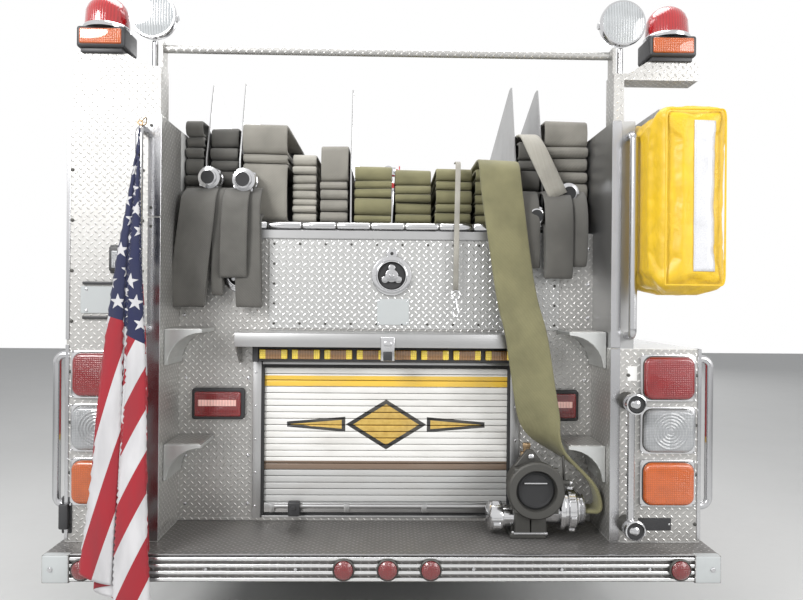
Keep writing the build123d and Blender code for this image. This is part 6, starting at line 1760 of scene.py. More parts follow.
@dataclass
class HoseLoad:
    """The folded hose in the bed, the loops that hang from it and their couplings."""

    low: float = 1.8775
    depth: float = 0.62
    folds: tuple[Fold, ...] = (
        Fold(-0.855, -0.772, 2.300, 0.025, HOSE_DARK, (1, 1, 1.3, 1, 1.6, 1, 1, 1.5)),
        Fold(-0.758, -0.632, 2.275, 0.010, HOSE_DARK, (1.2, 1, 1, 1.6, 1, 1.2, 1.9)),
        Fold(-0.617, -0.420, 2.290, 0.030, HOSE_GREY, (6.4, 1.0, 3.3)),
        Fold(-0.412, -0.300, 2.170, 0.0, HOSE_PALE, (1.2, 0.9, 0.8, 1.1, 0.8, 1.2, 1, 1.5)),
        Fold(-0.292, -0.165, 2.205, 0.010, HOSE_GREY, (1.1, 1.2, 1, 0.8, 3.6)),
        Fold(-0.149, 0.020, 2.120, 0.015, HOSE_OLIVE, (1, 2.3, 1.2, 1, 1.9)),
        Fold(0.026, 0.190, 2.110, 0.005, HOSE_OLIVE, (1.1, 1.4, 0.9, 1, 1.9)),
        Fold(0.196, 0.360, 2.115, 0.015, HOSE_OLIVE, (1.3, 1, 1.7, 1, 1.5)),
        Fold(0.368, 0.532, 2.115, 0.005, HOSE_OLIVE, (1, 1.2, 1, 1.5, 1.3)),
        Fold(0.548, 0.648, 2.230, 0.030, HOSE_DARK, (1.4, 1, 1.2, 2.2, 1, 2.0)),
        Fold(0.662, 0.855, 2.325, 0.020, HOSE_GREY, (1.2, 1, 1.6, 1, 1.2, 1, 2.4)),
    )

    def bend(self, tip: float, low: float, high: float) -> list[tuple[float, float]]:
        """The rear end of one fold: a half round, or a bulging upright face where it is tall."""
        turn = min((high - low) / 2, 0.021)
        lower = [(tip + turn * (1 - math.sin(angle)), low + turn * (1 - math.cos(angle)))
                 for angle in (0.5, 1.05)]
        upper = [(y, high - (z - low)) for y, z in reversed(lower)]
        rise = high - low - 2 * turn
        if rise < 0.012:
            return lower + [(tip, (low + high) / 2)] + upper
        bulge = min(0.010, rise * 0.08)
        face = [(tip - bulge * math.sin(math.pi * part), low + turn + rise * part)
                for part in (0.0, 0.25, 0.5, 0.75, 1.0)]
        return lower + face + upper

    def zigzag(self, ribbon: Ribbon, fold: Fold) -> None:
        """One stack: layers that bend round at the rear, each a little out of line."""
        rear = WALL_Y + 0.050 - fold.overhang
        unit = (fold.top - self.low) / sum(fold.shares)
        middle, width = (fold.x0 + fold.x1) / 2, fold.x1 - fold.x0 - 0.010
        z = self.low
        for index, share in enumerate(fold.shares):
            stir = noise.noise(Vector((fold.x0 * 9.0, index * 0.73, 1.7)))
            shift = noise.noise(Vector((fold.x1 * 7.0, index * 0.91, 5.1))) * 0.005
            low, high = z + fold.thick * 0.55, z + unit * share - fold.thick * 0.55
            tip = rear + 0.014 + abs(stir) * 0.030
            lower = [(rear + self.depth, low), (rear + self.depth * 0.5, low), (tip + 0.06, low)]
            upper = [(y, high) for y, _ in reversed(lower)]
            points, across = [], []
            for y, height in lower + self.bend(tip, low, high) + upper:
                fade = max(0.0, 1.0 - (y - rear) * 4.0)
                points.append(Vector((middle + shift, y, height + stir * 0.003 * fade)))
                across.append(Vector((1.0, 0.0, stir * 0.055 * fade)))
            ribbon.sweep(points, width, fold.thick, across, rim=2)
            z += unit * share

    def backing(self) -> None:
        """Plain cores that fill each stack's unseen front part, and a foot under each."""
        shape = Shape()
        for fold in self.folds:
            rear = WALL_Y + 0.050 - fold.overhang + self.depth - 0.05
            shape.block((fold.x0 + 0.004, rear, self.low),
                        (fold.x1 - 0.004, rear + 2.7, fold.top - 0.004), 0.012)
            shape.block((fold.x0 + 0.006, WALL_Y + 0.06, 1.8355),
                        (fold.x1 - 0.006, rear + 2.6, self.low + 0.0005), 0.006)
        shape.dress(GREY_PLASTIC).piece("hose_stack_cores", replaces=["hose_stacks"])

    def hanging(self) -> None:
        """The loops of hose that hang over the rail at both sides of the bed."""
        left = ((-0.765, 1.512, 0.140, 0.030, -0.045), (-0.690, 1.560, 0.045, 0.004, 0.0),
                (-0.618, 1.632, 0.108, 0.024, -0.006), (-0.572, 1.512, 0.104, 0.0, 0.010))
        right = ((0.572, 1.683, 0.104, 0.0, 0.006), (0.700, 1.640, 0.116, 0.014, 0.0),
                 (0.790, 1.690, 0.066, 0.0, -0.008))
        for name, rows in (("hanging_loops_left", left), ("hanging_loops_right", right)):
            ribbon = Ribbon(name, HOSE_DARK)
            for x, drop, width, out, lean in rows:
                rear = WALL_Y - 0.052 - out
                loop = [(WALL_Y + 0.09, 2.00), (WALL_Y + 0.02, 2.02), (rear + 0.012, 1.97),
                        (rear - 0.010, 1.88), (rear - 0.014, (1.9 + drop) / 2), (rear - 0.010, drop + 0.03),
                        (rear + 0.004, drop), (rear + 0.018, drop + 0.03), (rear + 0.021, (1.9 + drop) / 2),
                        (rear + 0.030, 1.885), (WALL_Y + 0.03, 1.895), (WALL_Y + 0.09, 1.92)]
                line = smooth_line([(x + lean * max(0.0, (1.9 - z) / 0.4), y, z) for y, z in loop], 5)
                across = [Vector((1.0, 0.10 * math.sin(point.z * 5.0 + x * 9.0), -lean * 1.5))
                          for point in line]
                ribbon.sweep(line, width, 0.010, across)
            ribbon.piece()

    def couplings(self) -> None:
        """The chrome couplings on hose ends that lie on the stacks."""
        shape = Shape()
        places = (((-0.735, WALL_Y - 0.03, 2.045), 0.045), ((-0.590, WALL_Y - 0.045, 2.035), 0.047),
                  ((0.612, WALL_Y - 0.035, 1.900), 0.042), ((0.752, WALL_Y - 0.01, 2.000), 0.044))
        for (x, y, z), radius in places:
            profile = [(-0.012, 0.0), (-0.012, radius * 0.62), (-0.010, radius * 0.74),
                       (0.006, radius * 0.74), (0.008, radius), (0.040, radius), (0.043, radius * 0.92),
                       (0.052, radius * 0.92), (0.055, radius), (0.078, radius), (0.083, radius * 0.86),
                       (0.110, radius * 0.8), (0.110, 0.0)]
            shape.turned(profile, (x, y - 0.01, z), (0.05, 1.0, 0.05), 32)
            for px, pz in ring_points((x, z), radius, 4, 35.0):
                shape.block((px - 0.007, y + 0.016, pz - 0.007), (px + 0.007, y + 0.040, pz + 0.007), 0.003)
        shape.dress(CHROME)
        for (x, y, z), radius in places:
            shape.turned([(-0.0125, 0.0), (-0.0135, radius * 0.3), (-0.0135, radius * 0.6),
                          (-0.0125, radius * 0.62)], (x, y - 0.01, z), (0.05, 1.0, 0.05), 24)
        shape.dress(RUBBER).piece("hose_couplings")

    def flap(self) -> None:
        """A pale hose end folded over on top of a stack at the right."""
        ribbon = Ribbon("pale_hose_end", HOSE_PALE)
        route = [(0.585, WALL_Y + 0.40, 2.258), (0.585, WALL_Y + 0.12, 2.262), (0.588, WALL_Y + 0.02, 2.252),
                 (0.600, WALL_Y - 0.030, 2.205), (0.645, WALL_Y - 0.036, 2.11),
                 (0.705, WALL_Y - 0.034, 1.985)]
        line = smooth_line(route, 6)
        lean = [Vector((1.0, 0.0, 0.5 * within_one((2.22 - point.z) * 8.0))) for point in line]
        ribbon.sweep(line, 0.080, 0.010, lean)
        ribbon.piece()

    def build(self) -> None:
        """Make every stack, loop and coupling."""
        for jacket in (HOSE_DARK, HOSE_GREY, HOSE_PALE, HOSE_OLIVE):
            ribbon = Ribbon(jacket.name.replace("jacket", "stacks"), jacket)
            for fold in self.folds:
                if fold.jacket is jacket:
                    self.zigzag(ribbon, fold)
            ribbon.piece()
        self.backing()
        self.hanging()
        self.couplings()
        self.flap()


@dataclass
class SupplyHose:
    """The flat olive hose from the bed, over the roller, down behind the valve and into its coupling."""

    width: float = 0.168
    thick: float = 0.013
    route: tuple[Point, ...] = (
        (0.450, WALL_Y + 1.20, 2.1275), (0.450, WALL_Y + 0.60, 2.1275), (0.450, WALL_Y + 0.10, 2.1285),
        (0.451, WALL_Y - 0.068, 2.130), (0.456, WALL_Y - 0.094, 2.02), (0.485, WALL_Y - 0.104, 1.80),
        (0.520, WALL_Y - 0.114, 1.55), (0.552, WALL_Y - 0.150, 1.43), (0.580, WALL_Y - 0.148, 1.24),
        (0.612, WALL_Y - 0.132, 1.06), (0.672, WALL_Y - 0.136, 0.965), (0.756, WALL_Y - 0.142, 0.898),
        (0.822, WALL_Y - 0.150, 0.830), (0.843, WALL_Y - 0.155, 0.765), (0.838, WALL_Y - 0.155, 0.728),
        (0.800, WALL_Y - 0.155, 0.730), (0.764, WALL_Y - 0.155, 0.732),
    )

    def build(self) -> None:
        line = smooth_line(self.route, 10)
        across, widths = [], []
        for point in line:
            swing = 0.16 * math.sin(point.z * 4.2 + 0.6) * within_one((2.1 - point.z) * 3.0)
            turned = within_one((1.12 - point.z) / 0.24)
            turned = turned * turned * (3 - 2 * turned)
            angle = turned * math.pi / 2
            across.append(Vector((math.cos(angle), swing * (1 - turned) - math.sin(angle),
                                  -0.04 * (1 - turned))))
            widths.append(1.0 - 0.42 * turned)
        ribbon = Ribbon("supply_hose_run", HOSE_OLIVE)
        ribbon.sweep(line, self.width, self.thick, across, widths=widths)
        made = ribbon.piece(replaces=["supply_hose"])


@dataclass
class Strap:
    """A thin webbing strap with a ring and hook that hangs from the bed's middle."""

    route: tuple[Point, ...] = (
        (0.290, WALL_Y + 0.06, 2.132), (0.290, WALL_Y - 0.010, 2.134), (0.288, WALL_Y - 0.036, 2.10),
        (0.286, WALL_Y - 0.040, 1.98), (0.283, WALL_Y - 0.042, 1.80), (0.282, WALL_Y - 0.040, 1.585),
    )
    width: float = 0.022

    def build(self) -> None:
        shape = Shape()
        x, y, z = self.route[-1]
        ring = [(x + 0.017 * math.cos(turn), y - 0.004, z - 0.012 + 0.017 * math.sin(turn))
                for turn in [math.tau * step / 16 for step in range(17)]]
        shape.pipe(ring, 0.0028, False)
        hook = [(x, y - 0.004, z - 0.028), (x + 0.002, y - 0.004, z - 0.06),
                (x + 0.014, y - 0.004, z - 0.086), (x + 0.004, y - 0.004, z - 0.108),
                (x - 0.014, y - 0.004, z - 0.092), (x - 0.010, y - 0.004, z - 0.07)]
        shape.pipe(hook, 0.0038)
        shape.dress(CHROME)
        hardware = shape.piece("strap_ring_and_hook")
        line = smooth_line(self.route, 6)
        ribbon = Ribbon("hanging_strap", HOSE_PALE)
        ribbon.sweep(line, self.width, 0.0026)
        made = ribbon.piece()


@dataclass
class Flag:
    """A flag hung by its upper hoist corner, whose cloth gathers into two panels with pleats behind them."""

    hoist: float = 0.97
    fly: float = 1.60
    corner: Point = (-0.902, -4.376, 2.198)
    rows: int = 96
    columns: int = 150
    first_ray: float = 0.190
    left: float = -0.118
    centre: float = -0.034
    right: float = 0.052
    tuck: float = 0.042

    def section(self, turn: float) -> tuple[float, float]:
        """Where a ray of the cloth lies across and back, as parts of its distance from the corner.

        Args:
            turn: The ray's angle on the flat cloth in radians, from the fly edge to the hoist edge.

        Returns:
            Across and back.
        """
        run = turn - self.first_ray
        if run < 0:
            return self.pleated(self.left, self.centre, -run)
        width = self.centre - self.left
        if run < width:
            return self.left + run, self.crown(run / width)
        run -= width
        hidden = 4 * self.tuck
        if run < hidden:
            sway = run / hidden * math.tau
            return self.centre - self.tuck * math.sin(sway), 0.004 + 0.003 * math.sin(sway / 2)
        run -= hidden
        width = self.right - self.centre
        if run < width:
            return self.centre + run, self.crown(run / width)
        return self.pleated(self.right, self.centre, run - width)

    @staticmethod
    def crown(part: float) -> float:
        """How a front panel stands out between its two folds."""
        return 0.004 - 0.011 * math.sin(part * math.pi) ** 0.7

    @staticmethod
    def pleated(near: float, far: float, run: float) -> tuple[float, float]:
        """Cloth pleated behind a panel.

        Args:
            near: The panel's outer fold, where the pleats start.
            far: Its other fold.
            run: How far this ray lies beyond the outer fold, in radians.

        Returns:
            Across and back.
        """
        middle, half = (near + far) / 2, (near - far) / 2 * 0.92
        pleat = run / (4 * abs(half))
        return middle + half * math.cos(pleat * math.tau), 0.006 + 0.0024 * pleat

    def build(self) -> None:
        mesh = bmesh.new()
        uv = mesh.loops.layers.uv.new("print")
        grid = []
        top = Vector(self.corner)
        for row in range(self.rows + 1):
            line = []
            for column in range(self.columns + 1):
                a, b = self.hoist * row / self.rows, self.fly * column / self.columns
                reach = math.hypot(a, b)
                turn = math.atan2(a, b) if reach > 0 else 0.0
                x, back = self.section(turn)
                wave = 0.010 * math.sin(reach * 5.0 + turn * 7.0) * min(1.0, reach)
                depth = back * reach + wave * 0.4
                across = x * reach * (1 - 0.08 * max(0.0, reach - 0.8)) + wave * 0.5
                down = reach * math.sqrt(max(0.0, 1 - x * x - back * back))
                lean = -0.046 * min(1.0, down / 0.5) - 0.034 * min(1.0, down / 1.55)
                line.append(mesh.verts.new(top + Vector((across, depth + lean, -down))))
            grid.append(line)
        for row in range(self.rows):
            for column in range(self.columns):
                face = mesh.faces.new((grid[row][column], grid[row + 1][column], grid[row + 1][column + 1],
                                       grid[row][column + 1]))
                face.smooth = True
                corners = ((column, row), (column, row + 1), (column + 1, row + 1), (column + 1, row))
                for loop, (u, v) in zip(face.loops, corners):
                    loop[uv].uv = (u / self.columns, v / self.rows)
        made = link("flag_cloth", mesh_data("flag_cloth", mesh, [FlagCloth()]))
        thicken(made)
        attach(made, replaces=["flag"])
        self.halyard()

    def halyard(self) -> None:
        """The snap hook and cord loop that hold the corner to the hand rail."""
        shape = Shape()
        x, y, z = self.corner
        loop = [(x + 0.002, y, z - 0.01), (x + 0.014, y + 0.012, z + 0.012),
                (x + 0.012, FACE_Y - 0.070, z + 0.016), (x + 0.004, FACE_Y - 0.040, z - 0.004),
                (x - 0.008, FACE_Y - 0.068, z - 0.016), (x - 0.004, y, z - 0.016)]
        shape.pipe(loop, 0.0022)
        shape.turned([(-0.002, 0.006), (-0.002, 0.011), (0.002, 0.011), (0.002, 0.006), (-0.002, 0.006)],
                     (x, y, z - 0.012), REARWARD, 20)
        shape.dress(BRONZE).piece("flag_snap_hook")


@dataclass
class LadderCover:
    """The padded vinyl sock over the ladders' rear ends, with seams and a reflective strip."""

    low: Point = (0.950, -4.5, 1.585)
    high: Point = (1.214, -4.18, 2.257)
    cap: float = 0.012
    grain: float = 0.0065
    strip: tuple[float, float, float, float] = (1.072, 1.150, 1.660, 2.190)

    def pad(self) -> bpy.types.Object:
        """The sock: a crowned shell whose faces swell between its seams."""
        shape = Shape()
        low, high = Vector(self.low), Vector(self.high)
        shape.block(low + Vector((0.004, 0.008, 0.004)), high - Vector((0.004, 0.0, 0.004)), 0.040, 4)
        bmesh.ops.subdivide_edges(shape.mesh, edges=shape.mesh.edges, cuts=3, use_grid_fill=True)
        shape.dress(VINYL)
        made = shape.piece("ladder_cover_pad", replaces=["ladder_cover"], crisp=60)
        remesh(made, self.grain)
        puff(made, self.cap)
        self.crease(made)
        data = made.data
        data.materials.clear()
        data.materials.append(VINYL.material())
        data.shade_smooth()
        return made

    def crease(self, made: bpy.types.Object) -> None:
        """Shallow creases and dents, and everything kept inside the sock's box."""
        low, high = Vector(self.low), Vector(self.high)
        for vert in made.data.vertices:
            place = vert.co
            soft = noise.noise(place * 7.0 + Vector((3.1, 0.0, 0.0))) * 0.007
            fine = noise.turbulence(place * 14.0, 3, False) * 0.004
            inward = ((low + high) / 2 - place).normalized()
            place += inward * (fine + max(0.0, soft))
            for axis, slack in enumerate((0.006, 0.004, 0.008)):
                place[axis] = min(max(place[axis], low[axis] - slack), high[axis] + slack)

    def trim(self, pad: bpy.types.Object) -> None:
        """Piped seams round the rear face, and the reflective strip."""
        low, high = Vector(self.low), Vector(self.high)
        inset = 0.026
        left, right, foot, head = low.x + inset, high.x - inset, low.z + inset, high.z - inset
        corners = [Vector((x, low.y + 0.004, z))
                   for x, z in ((left, foot), (right, foot), (right, head), (left, head))]
        ring = [start.lerp(after, step / 8) for start, after in zip(corners, corners[1:] + corners[:1])
                for step in range(8)]
        shape = Shape()
        shape.pipe(ring + ring[:1], 0.0035)
        shape.dress(VINYL).piece("ladder_cover_piping")
        x0, x1, z0, z1 = self.strip
        strip = Shape()
        upright = Matrix.Rotation(math.radians(90), 4, "X") @ Matrix.Diagonal((x1 - x0, z1 - z0, 1, 1))
        matrix = Matrix.Translation(((x0 + x1) / 2, low.y - 0.02, (z0 + z1) / 2)) @ upright
        bmesh.ops.create_grid(strip.mesh, x_segments=8, y_segments=48, size=0.5, matrix=matrix)
        strip.dress(Reflective("reflective_tape"))
        band = strip.piece("ladder_cover_strip", outward=False)
        wrap = band.modifiers.new("wrap", "SHRINKWRAP")
        wrap.target, wrap.wrap_method, wrap.wrap_mode = pad, "PROJECT", "ABOVE_SURFACE"
        wrap.use_project_y = wrap.use_positive_direction = wrap.use_negative_direction = True
        wrap.offset = 0.0016
        settle(band)
        thicken(band)

    def build(self) -> None:
        """Make the cover."""
        self.trim(self.pad())


# Wheels


@dataclass(frozen=True)
class Wheel:
    """One wheel: its body, axle station, the tyre's middle and the outer face of its disc."""

    body: Body
    nodes: tuple[str, ...]
    side: int
    y: float
    middles: tuple[float, ...]
    disc: float
    hub: float


@dataclass
class Wheels:
    """Treaded tyres, wheel nuts and hub covers."""

    radius: float = 0.52
    nut_ring: float = 0.152
    wheels: tuple[Wheel, ...] = (
        Wheel(Body.FRONT_LEFT, ("tyre_front_left",), -1, FRONT_AXLE_Y, (1.04,), 1.138, 1.188),
        Wheel(Body.FRONT_RIGHT, ("tyre_front_right",), 1, FRONT_AXLE_Y, (1.04,), 1.138, 1.188),
        Wheel(Body.REAR_LEFT, ("tyres_rear_left",), -1, REAR_AXLE_Y, (0.745, 1.06), 0.964, 1.168),
        Wheel(Body.REAR_RIGHT, ("tyres_rear_right",), 1, REAR_AXLE_Y, (0.745, 1.06), 0.964, 1.168),
    )

    def profile(self) -> list[tuple[float, float]]:
        """The tyre's section: bead, sidewall with two ribs, shoulder and a grooved tread."""
        r = self.radius
        half = [(0.109, 0.2868), (0.116, 0.298), (0.126, 0.322), (0.134, 0.345), (0.1365, 0.349),
                (0.1365, 0.354), (0.1345, 0.358), (0.138, 0.392), (0.1385, 0.425), (0.1395, 0.428),
                (0.1395, 0.434), (0.137, 0.438), (0.133, 0.468), (0.129, 0.490), (0.122, 0.504),
                (0.108, r - 0.004), (0.097, r - 0.001)]
        for groove in (0.066, 0.022):
            half += [(groove + 0.0065, r), (groove + 0.0045, r - 0.013), (groove - 0.0045, r - 0.013),
                     (groove - 0.0065, r)]
        return half + [(-x, reach) for x, reach in reversed(half)] + half[:1]

    def tyres(self, wheel: Wheel) -> None:
        """The tyres of one wheel."""
        shape = Shape()
        for middle in wheel.middles:
            shape.turned(self.profile(), (wheel.side * middle, wheel.y, AXLE_Z), (1, 0, 0), 72)
        shape.dress(TreadRubber(f"tyre_rubber_{'front' if wheel.y > 0 else 'rear'}", wheel.y))
        shape.piece(f"treaded_{wheel.nodes[0]}", wheel.body, wheel.nodes, crisp=40)

    def hardware(self, wheel: Wheel) -> None:
        """Ten nuts with their studs, and a hub cover with its own bolts."""
        shape = Shape()
        out = wheel.side
        for dy, dz in ring_points((0.0, 0.0), self.nut_ring, 10, 18.0):
            y, z = wheel.y + dy, AXLE_Z + dz
            shape.rod((out * (wheel.disc - 0.004), y, z), (out * (wheel.disc + 0.004), y, z), 0.022, sides=16)
            shape.rod((out * wheel.disc, y, z), (out * (wheel.disc + 0.026), y, z), 0.0165,
                      sides=6, bevel=0.001)
            shape.rod((out * wheel.disc, y, z), (out * (wheel.disc + 0.036), y, z), 0.009, sides=10)
        shape.dress(STAINLESS)
        end = wheel.hub
        shape.turned([(-0.008, 0.0), (-0.008, 0.066), (0.0, 0.066), (0.0012, 0.055), (0.0018, 0.03),
                      (0.002, 0.0)], (out * end, wheel.y, AXLE_Z), (out, 0, 0), 32)
        for dy, dz in ring_points((0.0, 0.0), 0.098, 8, 10.0):
            y, z = wheel.y + dy, AXLE_Z + dz
            shape.rod((out * (end - 0.010), y, z), (out * (end - 0.001), y, z), 0.009, sides=6)
        shape.dress(CHROME).piece(f"nuts_{wheel.body.value}", wheel.body)

    def build(self) -> None:
        """Make all four."""
        for wheel in self.wheels:
            self.tyres(wheel)
            self.hardware(wheel)


# Sides and front


@dataclass
class PumpPanels:
    """Dial faces and pointers, T-handles, blank labels, cap lugs and panel screws on both sides."""

    face: float = 1.213
    gauges: tuple[tuple[float, float, float], ...] = (
        (0.230, 1.620, 0.075), (0.410, 1.620, 0.075), (0.130, 1.450, 0.038), (0.240, 1.450, 0.038),
        (0.350, 1.450, 0.038), (0.460, 1.450, 0.038),
    )
    ports: tuple[tuple[float, float, float, float], ...] = (
        (0.150, 0.860, 0.0892, 0.095), (0.470, 1.010, 0.052, 0.110), (0.320, 1.180, 0.042, 0.095),
        (0.480, 1.240, 0.042, 0.095),
    )
    pulls: tuple[float, ...] = (0.085, 0.185, 0.295, 0.405, 0.515)
    pull_z: float = 1.345
    labels: tuple[Colour, ...] = ((0.55, 0.05, 0.04), (0.05, 0.16, 0.50), (0.70, 0.50, 0.05),
                                  (0.06, 0.35, 0.12), (0.60, 0.60, 0.58))

    def dials(self, shape: Shape, side: int) -> None:
        """White faces with ticks, a red pointer and its round hub."""
        for offset, z, radius in self.gauges:
            y = PUMP_BACK_Y + offset
            x = side * (self.face + 0.0202)
            shape.rod((x, y, z), (x + side * 0.0008, y, z), radius - 0.0125, sides=40)
            shape.dress(DialFace(f"dial_{round(offset * 1000)}_{round(z * 1000)}", (y, z), radius - 0.0125))
            tip = (y - 0.55 * radius, z + 0.38 * radius)
            tail = (y + 0.16 * radius, z - 0.11 * radius)
            shape.rod((x + side * 0.0022, *tail), (x + side * 0.0022, *tip), 0.0026, 0.0008, 8)
            shape.rod((x, y, z), (x + side * 0.004, y, z), 0.006, sides=12)
            shape.dress(RED_ENAMEL)

    def controls(self, shape: Shape, side: int) -> None:
        """Pull rods with T-handles in rings, and a blank coloured label over each."""
        x = side * self.face
        for offset in self.pulls:
            y, z = PUMP_BACK_Y + offset, self.pull_z
            shape.turned([(0.0, 0.0), (0.0, 0.020), (0.005, 0.020), (0.008, 0.014), (0.008, 0.0)], (x, y, z),
                         (side, 0, 0), 24)
            shape.rod((x, y, z), (x + side * 0.050, y, z), 0.006, sides=12)
            shape.rod((x + side * 0.050, y - 0.030, z), (x + side * 0.050, y + 0.030, z), 0.009,
                      sides=14, bevel=0.003)
        shape.dress(CHROME)
        for offset, colour in zip(self.pulls, self.labels):
            y, z = PUMP_BACK_Y + offset, self.pull_z - 0.038
            shape.block((x, y - 0.034, z - 0.009), (x + side * 0.002, y + 0.034, z + 0.009), 0.0006, 1)
            shape.dress(Enamel(f"label_{round(offset * 1000)}", colour, 0.35, 0.3, 0.2))

    def fittings(self, shape: Shape, side: int) -> None:
        """Lugs round each port's cap, the panel's screws and a hooded lamp along its top."""
        x = side * self.face
        for offset, z, radius, reach in self.ports:
            y = PUMP_BACK_Y + offset
            for py, pz in ring_points((y, z), radius, 6, 30.0):
                shape.block((x + side * reach * 0.64, py - 0.011, pz - 0.011),
                            (x + side * (reach - 0.010), py + 0.011, pz + 0.011), 0.004)
        y0, y1, out = PUMP_BACK_Y + 0.05, PUMP_BACK_Y + 0.59, x + side * 0.045
        shape.block((x, y0, 1.742), (out, y1, 1.762), 0.006)
        shape.block((x + side * 0.039, y0, 1.722), (out, y1, 1.744), 0.002, 1)
        screws = [(x, PUMP_BACK_Y + 0.045 + 0.55 * step / 6, z) for step in range(7) for z in (0.715, 1.775)]
        screws += [(x, y, z) for z in (0.9, 1.1, 1.3, 1.5)
                   for y in (PUMP_BACK_Y + 0.043, PUMP_BACK_Y + 0.597)]
        shape.heads(screws, 0.007, 0.004, out=(side, 0, 0))
        shape.dress(CHROME)

    def build(self) -> None:
        """Make both panels."""
        for side in Side:
            shape = Shape()
            self.dials(shape, side.value)
            self.controls(shape, side.value)
            self.fittings(shape, side.value)
            shape.piece(f"pump_panel_{side.word}")


@dataclass
class SideTrim:
    """Shutter guides, latches and marker lamps along both sides."""

    post: float = 0.07
    arch: float = 0.59

    def bays(self, top: float, over_arch: bool) -> list[tuple[float, float, float, float]]:
        """The shutters' openings: rear edge, front edge, lower edge and upper edge."""
        low, high = LOCKER_LOW + self.post, top - self.post
        first, last = REAR_AXLE_Y + self.arch + self.post, BODY_FRONT_Y - self.post
        half = (last - first - self.post) / 2
        rows = [(first, first + half, low, high), (last - half, last, low, high),
                (FACE_Y + self.post + 0.04, REAR_AXLE_Y - self.arch - self.post, low + 0.07, high)]
        if over_arch:
            rows.append((REAR_AXLE_Y - self.arch, REAR_AXLE_Y + self.arch,
                         AXLE_Z + self.arch + self.post, high))
        return rows

    def build(self) -> None:
        """Make the trim of both sides."""
        for side, top, over_arch in ((Side.LEFT, HIGH_TOP, True), (Side.RIGHT, LOW_TOP, False)):
            out = side.value
            shape = Shape()
            edge = BODY_HALF * out
            guide, latch, lamp = edge + out * 0.003, edge + out * 0.006, edge + out * 0.022
            for y0, y1, z0, z1 in self.bays(top, over_arch):
                for a, b in ((y0 - 0.024, y0 - 0.002), (y1 + 0.002, y1 + 0.024)):
                    shape.block((edge, a, z0 - 0.01), (guide, b, z1 + 0.024), 0.001, 1)
                shape.block((edge, y0 - 0.002, z1 + 0.002), (guide, y1 + 0.002, z1 + 0.024), 0.001, 1)
            shape.dress(BRUSHED_UP)
            for y0, y1, z0, _ in self.bays(top, over_arch):
                y = (y0 + y1) / 2
                shape.block((edge - out * 0.004, y - 0.055, z0 + 0.023),
                            (latch, y + 0.055, z0 + 0.042), 0.004)
            shape.dress(PLASTIC)
            z = top - 0.035
            for y, finish in ((-3.9, RED_LENS), (0.40, AMBER_LENS)):
                shape.block((edge, y - 0.05, z - 0.016), (lamp, y + 0.05, z + 0.016), 0.006)
                shape.dress(finish)
            shape.piece(f"side_trim_{side.word}")


